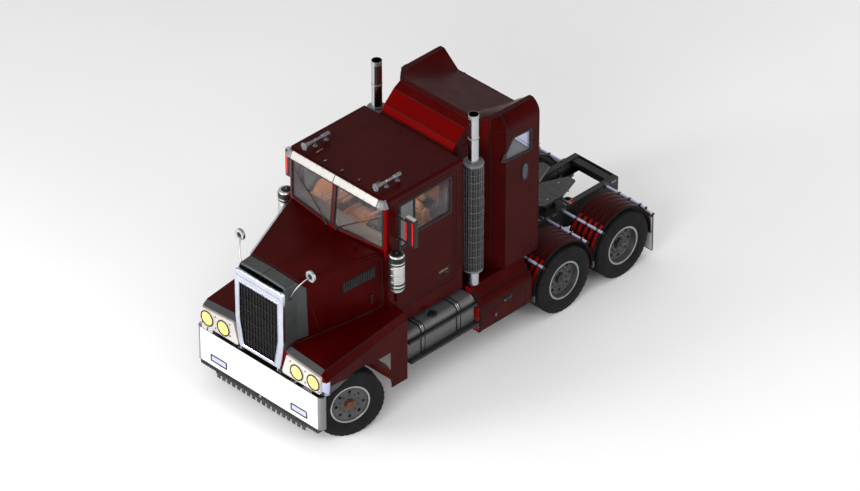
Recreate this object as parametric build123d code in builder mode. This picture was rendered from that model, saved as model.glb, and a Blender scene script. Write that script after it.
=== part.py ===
from build123d import *
import math
import os

# Conventional tractor unit, millimetres. X points to the truck's left, Y to its rear, Z up.
# Stations along Y are measured from the front axle; save() moves each finished piece so that
# the origin lies on the ground under the middle of the overall length.

# ---------------------------------------------------------------- overall
OVERALL_LENGTH = 6745
FRONT_OVERHANG = 745
WHEELBASE = 4090
TANDEM_SPREAD = 1210
PIN_CLEARANCE = 0.08
SEAT_CLEARANCE = 0.2

FRONT_FACE_Y = -FRONT_OVERHANG
REAR_END_Y = OVERALL_LENGTH - FRONT_OVERHANG
DRIVE_AXLES_Y = (WHEELBASE, WHEELBASE + TANDEM_SPREAD)
TANDEM_MID_Y = WHEELBASE + TANDEM_SPREAD / 2

# ---------------------------------------------------------------- wheels and tyres
TYRE_RADIUS = 520
AXLE_Z = TYRE_RADIUS
FRONT_TYRE_WIDTH = 280
DRIVE_TYRE_WIDTH = 270
TYRE_SIDES = 28
TREAD_INSET = 20
SHOULDER_INSET = 8
SHOULDER_DROP = 17
BEAD_STEP = 4
TWIN_SPACING = 330
RIM_SEAT_RADIUS = 286
RIM_WALL = 12
RIM_FLANGE_RADIUS = 300
RIM_HALF_WIDTH = 114
RIM_FLANGE_WIDTH = 9
FRONT_TYRE_X = 1060
OUTER_TWIN_X = 1085
FRONT_DISC_OFFSET = 96
TWIN_DISC_OFFSET = 20
DISC_THICKNESS = 14
DISC_HOLE_RADIUS = 24
DISC_HOLE_CIRCLE = 205
DISC_HOLES = 8
HUB_RADIUS = 80
HUB_CAP_RADIUS = 62
HUB_CAP_LENGTH = 38
DRUM_RADIUS = 206
DRUM_LENGTH = 110

# ---------------------------------------------------------------- steering
KINGPIN_X = 860
KINGPIN_RADIUS = 24
STEER_AT_REST = -20
SPINDLE_RADIUS = 40
STEER_ARM_LENGTH = 200
TIE_ROD_RADIUS = 22
BALL_STUD_RADIUS = 14

# ---------------------------------------------------------------- frame
RAIL_HALF_SPAN = 430
RAIL_TOP_Z = 1000
RAIL_HEIGHT = 266
RAIL_FLANGE = 90
RAIL_THICKNESS = 9
RAIL_FRONT_Y = -640
# station and top of each crossmember
CROSSMEMBERS = ((-560, 815), (900, 815), (2300, 985), (3420, 985), (4695, 985), (5900, 985))
CROSSMEMBER_HEIGHT = 63
CROSSMEMBER_LENGTH = 120
RAIL_BOTTOM_Z = RAIL_TOP_Z - RAIL_HEIGHT
RAIL_MID_X = RAIL_HALF_SPAN - RAIL_FLANGE / 2

# ---------------------------------------------------------------- bumper
BUMPER_HALF_WIDTH = 1240
BUMPER_BOTTOM_Z = 430
BUMPER_TOP_Z = 985
BUMPER_CORNER_RADIUS = 70
BUMPER_THICKNESS = 6
BUMPER_WRAP = 95

# ---------------------------------------------------------------- hood
HOOD_WALL = 8
PANEL_GAP = 8
HOOD_PIVOT_Y = -700
HOOD_PIVOT_Z = 1000
HOOD_PIN_RADIUS = 12
HOOD_LUG_RADIUS = 24
LUG_THICKNESS = 14
HOOD_CREASE_RADIUS = 45
HOOD_BASE_Z = 1360
# station, crease half width, crease height, centre height, base half width
HOOD_SECTIONS = (
    (-668, 446, 2345, 2358, 470),
    (-630, 454, 2396, 2412, 472),
    (-440, 464, 2408, 2424, 476),
    (800, 930, 2540, 2550, 945),
)
# station, inner edge half width, inner edge height, crease height, lower crease height
FENDER_SECTIONS = (
    (-668, 474, 1378, 1318, 1190),
    (-594, 478, 1430, 1373, 1222),
    (920, 960, 1620, 1576, 1480),
)
FENDER_CORNER_RADIUS = 85
# side outline (y, z) of the joint between the grille shell and the hood, top to bottom
SHELL_JOINT = ((-445, 2600), (-445, 2405), (-306, 2268), (-286, 1300))
FENDER_HALF_WIDTH = 1240
FENDER_CREASE_X = 1180
FENDER_EDGE_Z = 1085
FENDER_TAIL_FRONT_Y = 600
FENDER_TAIL_Z = 475
FENDER_TAIL_RETURN = 60
ARCH_RADIUS = 615
LINER_RADIUS = 642
LINER_INNER_X = 660

# ---------------------------------------------------------------- cab
CAB_HALF_WIDTH = 965
CAB_WALL = 45
CAB_FRONT_Y = 800
CAB_REAR_Y = 2270
CAB_SILL_Z = 1200
CAB_BELT_Z = 2530
CAB_ROOF_Z = 3370
CAB_NOSE_AT_BELT = 120
CAB_NOSE_AT_ROOF = 26
CAB_CORNER_RADIUS = 60
CAB_ROOF_RADIUS = 45
FLOOR_Z = 1500
FLOOR_THICKNESS = 60
GLASS_THICKNESS = 6
GLASS_INSET = 14
DOORWAY_BACK_X = 550
DOORWAY_TOP_Z = 3080

# windshield panes, measured on the front
SHIELD_BOTTOM_Z = 2575
SHIELD_TOP_Z = 3235
SHIELD_HALF_WIDTH = 890
SHIELD_POST = 56
SHIELD_CORNER_RADIUS = 55

# ---------------------------------------------------------------- doors
DOOR_FRONT_Y = 970
DOOR_REAR_Y = 2140
DOOR_BOTTOM_Z = 1450
DOOR_TOP_Z = 3275
DOOR_CORNER_RADIUS = 70
DOOR_HINGE_OUT = 14
HINGE_RADIUS = 12
HINGE_HEIGHT = 90
HINGES_Z = (1650, 2380)
HINGE_PIN_RADIUS = 6
HINGE_LUG_RADIUS = 10
HINGE_LUG_HEIGHT = 14
HINGE_LUG_GAP = 2
HINGE_LUG_BACK = 25
DOOR_HINGE_X = CAB_HALF_WIDTH + DOOR_HINGE_OUT
WINDOW_FRONT_Y = 1050
WINDOW_REAR_Y = 2040
WINDOW_BOTTOM_Z = 2600
WINDOW_DIP_Z = 2470
WINDOW_DIP_Y = 1300
WINDOW_TOP_Z = 3185
WINDOW_CORNER_RADIUS = 35
HANDLE_Y = 1900
HANDLE_Z = 1657
HANDLE_LENGTH = 190
HANDLE_HEIGHT = 120

# ---------------------------------------------------------------- door mirrors
MIRROR_INNER_X = 1085
MIRROR_OUTER_X = 1275
MIRROR_Y = 1025
MIRROR_DEPTH = 70
MIRROR_BOTTOM_Z = 2620
MIRROR_TOP_Z = 3080
MIRROR_ARM_RADIUS = 13
MIRROR_ARM_Y = 1010

# ---------------------------------------------------------------- sleeper
SLEEPER_HALF_WIDTH = 1030
SLEEPER_NECK_HALF_WIDTH = 700
SLEEPER_NECK_Y = 2710
SLEEPER_CHEEK = (860, 2890)
SLEEPER_SIDE_Y = 3060
SLEEPER_REAR_Y = 3720
SLEEPER_BOTTOM_Z = 1170
SHOULDER_Z = 3490
CREST_X = 900
CREST_Z = 3690
SLEEPER_CEILING_Z = 3380
# side outline of the roof fairing, front to top
FAIRING_POINTS = ((2275, 3290), (2340, 3335), (2400, 3430), (2590, 3610), (2730, 3690))
DISH_FRONT_Y = 2780
DISH_DEPTH = 235
DISH_TOP_HALF_WIDTH = 840
DISH_FLOOR_HALF_WIDTH = 560
# side window corners (y, z)
BUNK_WINDOW = ((2970, 2990), (3200, 3310), (3560, 3290), (3560, 2940))
BUNK_WINDOW_RADIUS = 30

# ---------------------------------------------------------------- trim on the cab
VISOR_TOP = (770, 3376)
VISOR_BOTTOM = (706, 3262)
VISOR_THICKNESS = 10
VISOR_HALF_WIDTH = 870
VISOR_CAP_Y = 826
VISOR_CAP_ARC = 88
HORN_X = 700
HORN_FRONT_Y = 850
HORN_LENGTH = 470
HORN_Z = 3462
HORN_BELL_RADIUS = 56
HORN_PIPE_RADIUS = 20
CLEANER_X = 1090
CLEANER_Y = 866
CLEANER_RADIUS = 116
CLEANER_BOTTOM_Z = 1950
CLEANER_TOP_Z = 2490
CLEANER_CAP_HEIGHT = 60
STACK_X = 947
STACK_Y = 2500
STACK_RADIUS = 76
STACK_WALL = 4
STACK_TOP_Z = 4000
SHIELD_RADIUS = 144
SHIELD_WALL = 6
SHIELD_LOW_Z = 1410
SHIELD_HIGH_Z = 3210

# ---------------------------------------------------------------- tanks, boxes, fenders
TANK_FRONT_Y = 1025
TANK_REAR_Y = 2350
TANK_INNER_X = 520
TANK_OUTER_X = 1130
TANK_BOTTOM_Z = 610
TANK_TOP_Z = 1100
TANK_RADIUS = 90
TANK_STRAPS_Y = (1330, 2030)
STRAP_WIDTH = 60
STRAP_THICKNESS = 5
# outer edge x, top z, depth in x and height of each running board
RUNNING_BOARDS = ((1184, 1000, 46, 36), (1222, 690, 84, 40))
BOX_FRONT_Y = 2400
BOX_REAR_Y = 3425
BOX_BOTTOM_Z = 460
BOX_OUTER_X = 1200
BOX_SHOULDER_Z = 870
BOX_LEDGE = (1105, 1020)
DRIVE_FENDER_RADIUS = 598
DRIVE_FENDER_THICKNESS = 5
DRIVE_FENDER_INNER_X = 650
DRIVE_FENDER_OUTER_X = 1172
FENDER_RIB_HEIGHT = 7
FENDER_RIBS = 5
FENDER_END_Z = 450
FENDER_BAR_RADIUS = 21
FENDER_BAR_ANGLE = 45
FENDER_BAR_OUTER_X = 1222
FLAP_Y = 5915
FLAP_INNER_X = 650
FLAP_OUTER_X = 1200
FLAP_TOP_Z = 745
FLAP_BOTTOM_Z = 120
FLAP_THICKNESS = 10

# ---------------------------------------------------------------- fifth wheel
FIFTH_WHEEL_Y = TANDEM_MID_Y
FIFTH_WHEEL_TOP_Z = 1270
FIFTH_WHEEL_PIVOT_Z = 1140
FIFTH_WHEEL_HALF_WIDTH = 460
FIFTH_WHEEL_FRONT = 420
FIFTH_WHEEL_REAR = 520
FIFTH_WHEEL_THICKNESS = 34
KINGPIN_JAW_RADIUS = 25.4
THROAT_HALF_WIDTH = 190
FIFTH_WHEEL_PIN_RADIUS = 28
BASE_THICKNESS = 20

ORIGIN_SHIFT = Location((0, FRONT_OVERHANG - OVERALL_LENGTH / 2, 0))


def save(node, part):
    """Label a finished piece, move it to the origin on the ground and write its file."""
    placed = part.moved(ORIGIN_SHIFT)
    placed.label = node
    export_step(placed, f"parts/{node}.step")


def block(x0, x1, y0, y1, z0, z1):
    """Add a box between two corners to the current part."""
    with Locations(((x0 + x1) / 2, (y0 + y1) / 2, (z0 + z1) / 2)):
        return Box(abs(x1 - x0), abs(y1 - y0), abs(z1 - z0))


def cut_block(x0, x1, y0, y1, z0, z1):
    """Cut a box between two corners out of the current part."""
    with Locations(((x0 + x1) / 2, (y0 + y1) / 2, (z0 + z1) / 2)):
        Box(abs(x1 - x0), abs(y1 - y0), abs(z1 - z0), mode=Mode.SUBTRACT)


def rod(start, end, radius, mode=Mode.ADD):
    """Add a round bar from start to end to the current part."""
    run = Vector(end) - Vector(start)
    with BuildSketch(Plane(origin=start, z_dir=run)) as section:
        Circle(radius)
    extrude(section.sketch, amount=run.length, mode=mode)


def mirrored(part):
    """The same piece on the truck's right side."""
    return mirror(part, about=Plane.YZ)


os.makedirs("parts", exist_ok=True)

# ================================================================ frame
HORN_PLATE_X = (RAIL_HALF_SPAN - RAIL_FLANGE / 2, RAIL_HALF_SPAN)
BUMPER_BACK_Y = FRONT_FACE_Y + BUMPER_THICKNESS

with BuildPart() as frame:
    with BuildSketch(Plane.XZ.offset(-RAIL_FRONT_Y)):
        with Locations((RAIL_MID_X, RAIL_TOP_Z - RAIL_HEIGHT / 2)):
            Rectangle(RAIL_FLANGE, RAIL_HEIGHT)
        with Locations((RAIL_MID_X - RAIL_THICKNESS, RAIL_TOP_Z - RAIL_HEIGHT / 2)):
            Rectangle(RAIL_FLANGE, RAIL_HEIGHT - 2 * RAIL_THICKNESS, mode=Mode.SUBTRACT)
    extrude(amount=-(REAR_END_Y - RAIL_FRONT_Y))
    # front horn plate that carries the bumper and the hood's pivot
    block(*HORN_PLATE_X, BUMPER_BACK_Y, RAIL_FRONT_Y + 10, RAIL_BOTTOM_Z, HOOD_PIVOT_Z - 20)
    rod(
        (HORN_PLATE_X[0], HOOD_PIVOT_Y, HOOD_PIVOT_Z),
        (HORN_PLATE_X[1], HOOD_PIVOT_Y, HOOD_PIVOT_Z),
        HOOD_PIN_RADIUS * 1.8,
    )
    rod(
        (HORN_PLATE_X[0] - 55, HOOD_PIVOT_Y, HOOD_PIVOT_Z),
        (HORN_PLATE_X[0] + 5, HOOD_PIVOT_Y, HOOD_PIVOT_Z),
        HOOD_PIN_RADIUS,
    )
    # cab and sleeper mounts up to the underside of the floors
    for mount_y in (1020, 2150, 2820, 3560):
        block(
            RAIL_MID_X - 40,
            RAIL_MID_X + 40,
            mount_y - 60,
            mount_y + 60,
            RAIL_TOP_Z,
            FLOOR_Z - FLOOR_THICKNESS,
        )
    mirror(about=Plane.YZ)
    for member_y, top_z in CROSSMEMBERS:
        block(
            -RAIL_HALF_SPAN + RAIL_THICKNESS,
            RAIL_HALF_SPAN - RAIL_THICKNESS,
            member_y - CROSSMEMBER_LENGTH / 2,
            member_y + CROSSMEMBER_LENGTH / 2,
            top_z - CROSSMEMBER_HEIGHT,
            top_z,
        )
    # rear end member between the rails
    block(
        -RAIL_HALF_SPAN + RAIL_THICKNESS,
        RAIL_HALF_SPAN - RAIL_THICKNESS,
        REAR_END_Y - 12,
        REAR_END_Y,
        RAIL_BOTTOM_Z,
        RAIL_TOP_Z,
    )
save("frame", frame.part)

# ================================================================ front axle and steering
BEAM_HALF_WIDTH = 60
BEAM_BOTTOM_Z = AXLE_Z - 130
BEAM_TOP_Z = AXLE_Z - 20
BEAM_DROP_X = 560
BEAM_EYE_X = KINGPIN_X - 75
KINGPIN_EYE_RADIUS = 48
KINGPIN_EYE_HALF_HEIGHT = 55
YOKE_GAP = 3
YOKE_HEIGHT = 36
YOKE_RADIUS = 45

with BuildPart() as front_axle:
    with BuildSketch(Plane.XZ.offset(-BEAM_HALF_WIDTH)):
        with BuildLine():
            Polyline(
                (0, BEAM_BOTTOM_Z),
                (BEAM_DROP_X, BEAM_BOTTOM_Z),
                (BEAM_EYE_X, AXLE_Z - KINGPIN_EYE_HALF_HEIGHT),
                (KINGPIN_X - 20, AXLE_Z - KINGPIN_EYE_HALF_HEIGHT),
                (KINGPIN_X - 20, AXLE_Z + KINGPIN_EYE_HALF_HEIGHT),
                (BEAM_EYE_X, AXLE_Z + KINGPIN_EYE_HALF_HEIGHT),
                (BEAM_DROP_X - 20, BEAM_TOP_Z),
                (0, BEAM_TOP_Z),
                close=True,
            )
        make_face()
    extrude(amount=2 * BEAM_HALF_WIDTH)
    # the webs of the forged I section
    for side in (-1, 1):
        cut_block(
            -1,
            BEAM_DROP_X - 60,
            side * 18,
            side * (BEAM_HALF_WIDTH + 1),
            BEAM_BOTTOM_Z + 22,
            BEAM_TOP_Z - 22,
        )
    eye_foot = (KINGPIN_X, 0, AXLE_Z - KINGPIN_EYE_HALF_HEIGHT)
    eye_head = (KINGPIN_X, 0, AXLE_Z + KINGPIN_EYE_HALF_HEIGHT)
    rod(eye_foot, eye_head, KINGPIN_EYE_RADIUS)
    rod(
        (KINGPIN_X, 0, AXLE_Z - KINGPIN_EYE_HALF_HEIGHT - YOKE_GAP - YOKE_HEIGHT),
        (KINGPIN_X, 0, AXLE_Z + KINGPIN_EYE_HALF_HEIGHT + YOKE_GAP + YOKE_HEIGHT),
        KINGPIN_RADIUS,
    )
    mirror(about=Plane.YZ)
save("front_axle", front_axle.part)

# A knuckle in its own frame: the kingpin is the origin, X points out along the spindle.
HUB_BACK = 66
KNUCKLE_PLATE_X = 60
SPINDLE_END = FRONT_TYRE_X + FRONT_DISC_OFFSET - KINGPIN_X + 10
YOKE_Z = KINGPIN_EYE_HALF_HEIGHT + YOKE_GAP
YOKE_BACK_X = KINGPIN_EYE_RADIUS + 4

with BuildPart() as knuckle:
    for face in (-1, 1):
        z0 = face * YOKE_Z
        z1 = face * (YOKE_Z + YOKE_HEIGHT)
        rod((0, 0, z0), (0, 0, z1), YOKE_RADIUS)
        block(0, YOKE_BACK_X + 4, -YOKE_RADIUS, YOKE_RADIUS, z0, z1)
    block(
        YOKE_BACK_X,
        KNUCKLE_PLATE_X,
        -YOKE_RADIUS - 25,
        YOKE_RADIUS + 25,
        -YOKE_Z - YOKE_HEIGHT,
        YOKE_Z + YOKE_HEIGHT,
    )
    rod((YOKE_BACK_X, 0, 0), (SPINDLE_END, 0, 0), SPINDLE_RADIUS)
    # steering arm behind the axle with its ball stud
    block(
        -YOKE_RADIUS / 2,
        YOKE_RADIUS / 2,
        0,
        STEER_ARM_LENGTH,
        -YOKE_Z - YOKE_HEIGHT,
        -YOKE_Z - YOKE_HEIGHT / 4,
    )
    rod(
        (0, STEER_ARM_LENGTH, -YOKE_Z - YOKE_HEIGHT),
        (0, STEER_ARM_LENGTH, -YOKE_Z - YOKE_HEIGHT / 4),
        YOKE_RADIUS / 2,
    )
    rod(
        (0, STEER_ARM_LENGTH, -YOKE_Z - YOKE_HEIGHT),
        (0, STEER_ARM_LENGTH, -YOKE_Z - YOKE_HEIGHT - 60),
        BALL_STUD_RADIUS,
    )
    rod(
        (0, 0, -YOKE_Z - YOKE_HEIGHT - 1),
        (0, 0, YOKE_Z + YOKE_HEIGHT + 1),
        KINGPIN_RADIUS + PIN_CLEARANCE,
        mode=Mode.SUBTRACT,
    )


def knuckle_spot(side):
    """Place of a knuckle at rest: side is 1 on the left and -1 on the right."""
    return Location((side * KINGPIN_X, 0, AXLE_Z), (0, 0, STEER_AT_REST))


def steering_arm_end(side):
    """Centre of the ball stud of a knuckle at rest, in the truck's frame."""
    turn = math.radians(STEER_AT_REST)
    return (
        side * KINGPIN_X - STEER_ARM_LENGTH * math.sin(turn),
        STEER_ARM_LENGTH * math.cos(turn),
        AXLE_Z - YOKE_Z - YOKE_HEIGHT - 34,
    )


# the right knuckle's arm also points to the rear, so it is the left one seen in a mirror
save("knuckle_left", knuckle.part.moved(knuckle_spot(1)))
save("knuckle_right", mirrored(knuckle.part).moved(knuckle_spot(-1)))

with BuildPart() as tie_rod:
    left_ball = steering_arm_end(1)
    right_ball = steering_arm_end(-1)
    rod(right_ball, left_ball, TIE_ROD_RADIUS)
    for ball in (left_ball, right_ball):
        top = (ball[0], ball[1], ball[2] + TIE_ROD_RADIUS + 5)
        foot = (ball[0], ball[1], ball[2] - TIE_ROD_RADIUS - 5)
        rod(foot, top, TIE_ROD_RADIUS + 8)
    for ball in (left_ball, right_ball):
        top = (ball[0], ball[1], ball[2] + 4 * TIE_ROD_RADIUS)
        foot = (ball[0], ball[1], ball[2] - 4 * TIE_ROD_RADIUS)
        rod(foot, top, BALL_STUD_RADIUS + PIN_CLEARANCE, mode=Mode.SUBTRACT)
save("tie_rod", tie_rod.part)

# ================================================================ wheels
# Every wheel is made about its own axle line with X pointing out of the truck.


def tyre_polygon(x, radius):
    """The tyre's outline across the axle at x, with a flat at the ground."""
    with BuildSketch(Plane.YZ.offset(x)) as outline:
        RegularPolygon(radius, TYRE_SIDES, major_radius=False, rotation=180 / TYRE_SIDES)
    return outline.sketch


def tyre_ring(centre, width):
    """A tyre of flat facets whose mid-plane stands at x = centre."""
    half = width / 2
    bead = RIM_HALF_WIDTH - RIM_FLANGE_WIDTH - 1
    bead_radius = RIM_FLANGE_RADIUS + BEAD_STEP
    shoulder_radius = TYRE_RADIUS - SHOULDER_DROP
    # offset from the mid-plane, radius
    half_section = (
        (half - TREAD_INSET, TYRE_RADIUS),
        (half - SHOULDER_INSET, shoulder_radius),
        (half, (bead_radius + shoulder_radius) / 2),
        (bead, bead_radius),
    )
    inner_side = [tyre_polygon(centre - offset, radius) for offset, radius in reversed(half_section)]
    outer_side = [tyre_polygon(centre + offset, radius) for offset, radius in half_section]
    loft(sections=[*inner_side, *outer_side], ruled=True)
    extrude(tyre_polygon(centre - bead, RIM_SEAT_RADIUS), amount=2 * bead, mode=Mode.SUBTRACT)


def rim_barrel(centre):
    """A rim whose mid-plane stands at x = centre, with its two flanges."""
    seat = RIM_SEAT_RADIUS - SEAT_CLEARANCE
    with BuildSketch(Plane.XY) as section:
        with BuildLine():
            Polyline(
                (centre - RIM_HALF_WIDTH, seat - RIM_WALL),
                (centre + RIM_HALF_WIDTH, seat - RIM_WALL),
                (centre + RIM_HALF_WIDTH, RIM_FLANGE_RADIUS),
                (centre + RIM_HALF_WIDTH - RIM_FLANGE_WIDTH, RIM_FLANGE_RADIUS),
                (centre + RIM_HALF_WIDTH - RIM_FLANGE_WIDTH, seat),
                (centre - RIM_HALF_WIDTH + RIM_FLANGE_WIDTH, seat),
                (centre - RIM_HALF_WIDTH + RIM_FLANGE_WIDTH, RIM_FLANGE_RADIUS),
                (centre - RIM_HALF_WIDTH, RIM_FLANGE_RADIUS),
                close=True,
            )
        make_face()
    revolve(section.sketch, axis=Axis.X)


def wheel_disc(outer_x):
    """The pressed disc with its hand holes; its outer face stands at outer_x."""
    rod((outer_x - DISC_THICKNESS, 0, 0), (outer_x, 0, 0), RIM_SEAT_RADIUS - RIM_WALL / 2)
    with BuildSketch(Plane.YZ.offset(outer_x + 1)) as holes:
        with PolarLocations(DISC_HOLE_CIRCLE, DISC_HOLES):
            Circle(DISC_HOLE_RADIUS)
    extrude(holes.sketch, amount=-DISC_THICKNESS - 2, mode=Mode.SUBTRACT)


def facing(part, side):
    """The same piece facing out of the left side (1) or of the right side (-1)."""
    return part if side == 1 else mirrored(part)


with BuildPart() as front_tyre:
    tyre_ring(FRONT_TYRE_X - KINGPIN_X, FRONT_TYRE_WIDTH)

with BuildPart() as front_rim:
    disc_x = FRONT_TYRE_X - KINGPIN_X + FRONT_DISC_OFFSET
    rim_barrel(FRONT_TYRE_X - KINGPIN_X)
    wheel_disc(disc_x)
    rod((HUB_BACK, 0, 0), (disc_x + 20, 0, 0), HUB_RADIUS)
    rod((HUB_BACK, 0, 0), (HUB_BACK + DRUM_LENGTH, 0, 0), DRUM_RADIUS)
    rod((disc_x, 0, 0), (disc_x + HUB_CAP_LENGTH, 0, 0), HUB_CAP_RADIUS)
    rod((0, 0, 0), (SPINDLE_END + 2, 0, 0), SPINDLE_RADIUS + PIN_CLEARANCE, mode=Mode.SUBTRACT)

for side, name in ((1, "left"), (-1, "right")):
    save(f"tyre_front_{name}", facing(front_tyre.part, side).moved(knuckle_spot(side)))
    save(f"rim_front_{name}", facing(front_rim.part, side).moved(knuckle_spot(side)))

# ================================================================ drive axles
INNER_TWIN_X = OUTER_TWIN_X - TWIN_SPACING
AXLE_TUBE_RADIUS = 72
AXLE_TUBE_END_X = INNER_TWIN_X - 130
DRIVE_SPINDLE_RADIUS = 52
DRIVE_SPINDLE_END_X = OUTER_TWIN_X + TWIN_DISC_OFFSET - 20
BANJO_RADIUS = 205
BANJO_HALF_WIDTH = 150
PAD_TOP_Z = AXLE_Z + AXLE_TUBE_RADIUS + 14
SHAFT_RADIUS = 52

with BuildPart() as drive_tyres:
    tyre_ring(OUTER_TWIN_X, DRIVE_TYRE_WIDTH)
    tyre_ring(INNER_TWIN_X, DRIVE_TYRE_WIDTH)

with BuildPart() as drive_rims:
    twin_disc_x = OUTER_TWIN_X + TWIN_DISC_OFFSET
    inner_disc_x = INNER_TWIN_X + TWIN_DISC_OFFSET
    rim_barrel(OUTER_TWIN_X)
    rim_barrel(INNER_TWIN_X)
    wheel_disc(twin_disc_x)
    wheel_disc(inner_disc_x)
    rod((AXLE_TUBE_END_X + 8, 0, 0), (AXLE_TUBE_END_X + 8 + DRUM_LENGTH, 0, 0), DRUM_RADIUS)
    rod((AXLE_TUBE_END_X + 8, 0, 0), (twin_disc_x + 20, 0, 0), HUB_RADIUS)
    rod((twin_disc_x, 0, 0), (twin_disc_x + HUB_CAP_LENGTH, 0, 0), HUB_CAP_RADIUS)
    rod(
        (AXLE_TUBE_END_X, 0, 0),
        (DRIVE_SPINDLE_END_X + 2, 0, 0),
        DRIVE_SPINDLE_RADIUS + PIN_CLEARANCE,
        mode=Mode.SUBTRACT,
    )

for side, name in ((1, "left"), (-1, "right")):
    for number, axle_y in enumerate(DRIVE_AXLES_Y, start=1):
        spot = Location((0, axle_y, AXLE_Z))
        save(f"tyres_drive_{name}_{number}", facing(drive_tyres.part, side).moved(spot))
        save(f"rims_drive_{name}_{number}", facing(drive_rims.part, side).moved(spot))

with BuildPart() as drive_axles:
    for axle_y in DRIVE_AXLES_Y:
        rod((0, axle_y, AXLE_Z), (AXLE_TUBE_END_X, axle_y, AXLE_Z), AXLE_TUBE_RADIUS)
        rod((0, axle_y, AXLE_Z), (DRIVE_SPINDLE_END_X, axle_y, AXLE_Z), DRIVE_SPINDLE_RADIUS)
        rod((0, axle_y, AXLE_Z), (BANJO_HALF_WIDTH, axle_y, AXLE_Z), BANJO_RADIUS - 30)
        block(
            RAIL_MID_X - 55,
            RAIL_MID_X + 55,
            axle_y - 70,
            axle_y + 70,
            AXLE_Z,
            PAD_TOP_Z,
        )
    mirror(about=Plane.YZ)
    for axle_y in DRIVE_AXLES_Y:
        # differential case in front of the banjo
        rod((0, axle_y - 260, AXLE_Z + 20), (0, axle_y, AXLE_Z + 20), 95)
save("drive_axles", drive_axles.part)

# ================================================================ springs
LEAF_WIDTH = 76
LEAF_PACK_HEIGHT = 78
LEAF_END_HEIGHT = 24
FRONT_SPRING_HALF = 640
DRIVE_SPRING_HALF = 560
HANGER_LENGTH = 70


def leaf_pack(centre_y, bottom_z, half_length, rise):
    """A pack of leaves: thick in the middle, with its thin ends lifted by rise."""
    top_z = bottom_z + LEAF_PACK_HEIGHT
    with BuildSketch(Plane.YZ.offset(RAIL_MID_X - LEAF_WIDTH / 2)) as side:
        with BuildLine():
            Polyline(
                (centre_y - half_length, bottom_z + rise + LEAF_PACK_HEIGHT - LEAF_END_HEIGHT),
                (centre_y - 90, bottom_z),
                (centre_y + 90, bottom_z),
                (centre_y + half_length, bottom_z + rise + LEAF_PACK_HEIGHT - LEAF_END_HEIGHT),
                (centre_y + half_length, top_z + rise),
                (centre_y + 90, top_z),
                (centre_y - 90, top_z),
                (centre_y - half_length, top_z + rise),
                close=True,
            )
        make_face()
    extrude(side.sketch, amount=LEAF_WIDTH)
    # hangers from the ends up to the rail
    for end in (-1, 1):
        y = centre_y + end * half_length
        block(
            RAIL_MID_X - LEAF_WIDTH / 2,
            RAIL_MID_X + LEAF_WIDTH / 2,
            y - HANGER_LENGTH / 2,
            y + HANGER_LENGTH / 2,
            top_z + rise - LEAF_END_HEIGHT,
            RAIL_BOTTOM_Z,
        )


with BuildPart() as suspension:
    leaf_pack(0, BEAM_TOP_Z, FRONT_SPRING_HALF - 60, 40)
    for axle_y in DRIVE_AXLES_Y:
        leaf_pack(axle_y, PAD_TOP_Z, DRIVE_SPRING_HALF, 20)
    mirror(about=Plane.YZ)
save("suspension", suspension.part)

# ================================================================ engine and drive line
ENGINE_HALF_WIDTH = 325
ENGINE_FRONT_Y = -180
ENGINE_REAR_Y = 640
ENGINE_BOTTOM_Z = 800
ENGINE_TOP_Z = 1900
GEARBOX_REAR_Y = 1500
GEARBOX_HALF_WIDTH = 210
GEARBOX_BOTTOM_Z = 840
GEARBOX_TOP_Z = 1250
SHAFT_FRONT_Z = 940

with BuildPart() as engine_block:
    block(
        -ENGINE_HALF_WIDTH,
        ENGINE_HALF_WIDTH,
        ENGINE_FRONT_Y,
        ENGINE_REAR_Y,
        ENGINE_BOTTOM_Z,
        ENGINE_TOP_Z,
    )
    block(
        -GEARBOX_HALF_WIDTH,
        GEARBOX_HALF_WIDTH,
        ENGINE_REAR_Y - 20,
        GEARBOX_REAR_Y,
        GEARBOX_BOTTOM_Z,
        GEARBOX_TOP_Z,
    )
    for foot_y in (ENGINE_FRONT_Y + 120, ENGINE_REAR_Y - 120):
        block(
            -RAIL_HALF_SPAN + 20,
            RAIL_HALF_SPAN - 20,
            foot_y - 50,
            foot_y + 50,
            RAIL_TOP_Z,
            RAIL_TOP_Z + 50,
        )
save("engine_block", engine_block.part)

# propeller shafts: gearbox to first axle, first axle to second
CASE_NOSE = 260
with BuildPart() as propeller_shafts:
    first_nose = (0, DRIVE_AXLES_Y[0] - CASE_NOSE, AXLE_Z + 20)
    second_nose = (0, DRIVE_AXLES_Y[1] - CASE_NOSE, AXLE_Z + 20)
    rod((0, GEARBOX_REAR_Y - 20, SHAFT_FRONT_Z), first_nose, SHAFT_RADIUS)
    rod((0, DRIVE_AXLES_Y[0] + BANJO_RADIUS - 30, AXLE_Z + 20), second_nose, SHAFT_RADIUS)
    # trimmed square to the gearbox and to the noses of the two differential cases
    reach = 3 * SHAFT_RADIUS
    cut_block(-reach, reach, 0, GEARBOX_REAR_Y, 0, 2 * SHAFT_FRONT_Z)
    cut_block(-reach, reach, first_nose[1], DRIVE_AXLES_Y[0], 0, 2 * AXLE_Z)
save("propeller_shafts", propeller_shafts.part)

RADIATOR_HALF_WIDTH = 400
RADIATOR_FRONT_Y = -560
RADIATOR_REAR_Y = -470
RADIATOR_TOP_Z = 2220

with BuildPart() as radiator:
    block(
        -RADIATOR_HALF_WIDTH,
        RADIATOR_HALF_WIDTH,
        RADIATOR_FRONT_Y,
        RADIATOR_REAR_Y,
        RAIL_TOP_Z,
        RADIATOR_TOP_Z,
    )
save("radiator", radiator.part)

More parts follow.
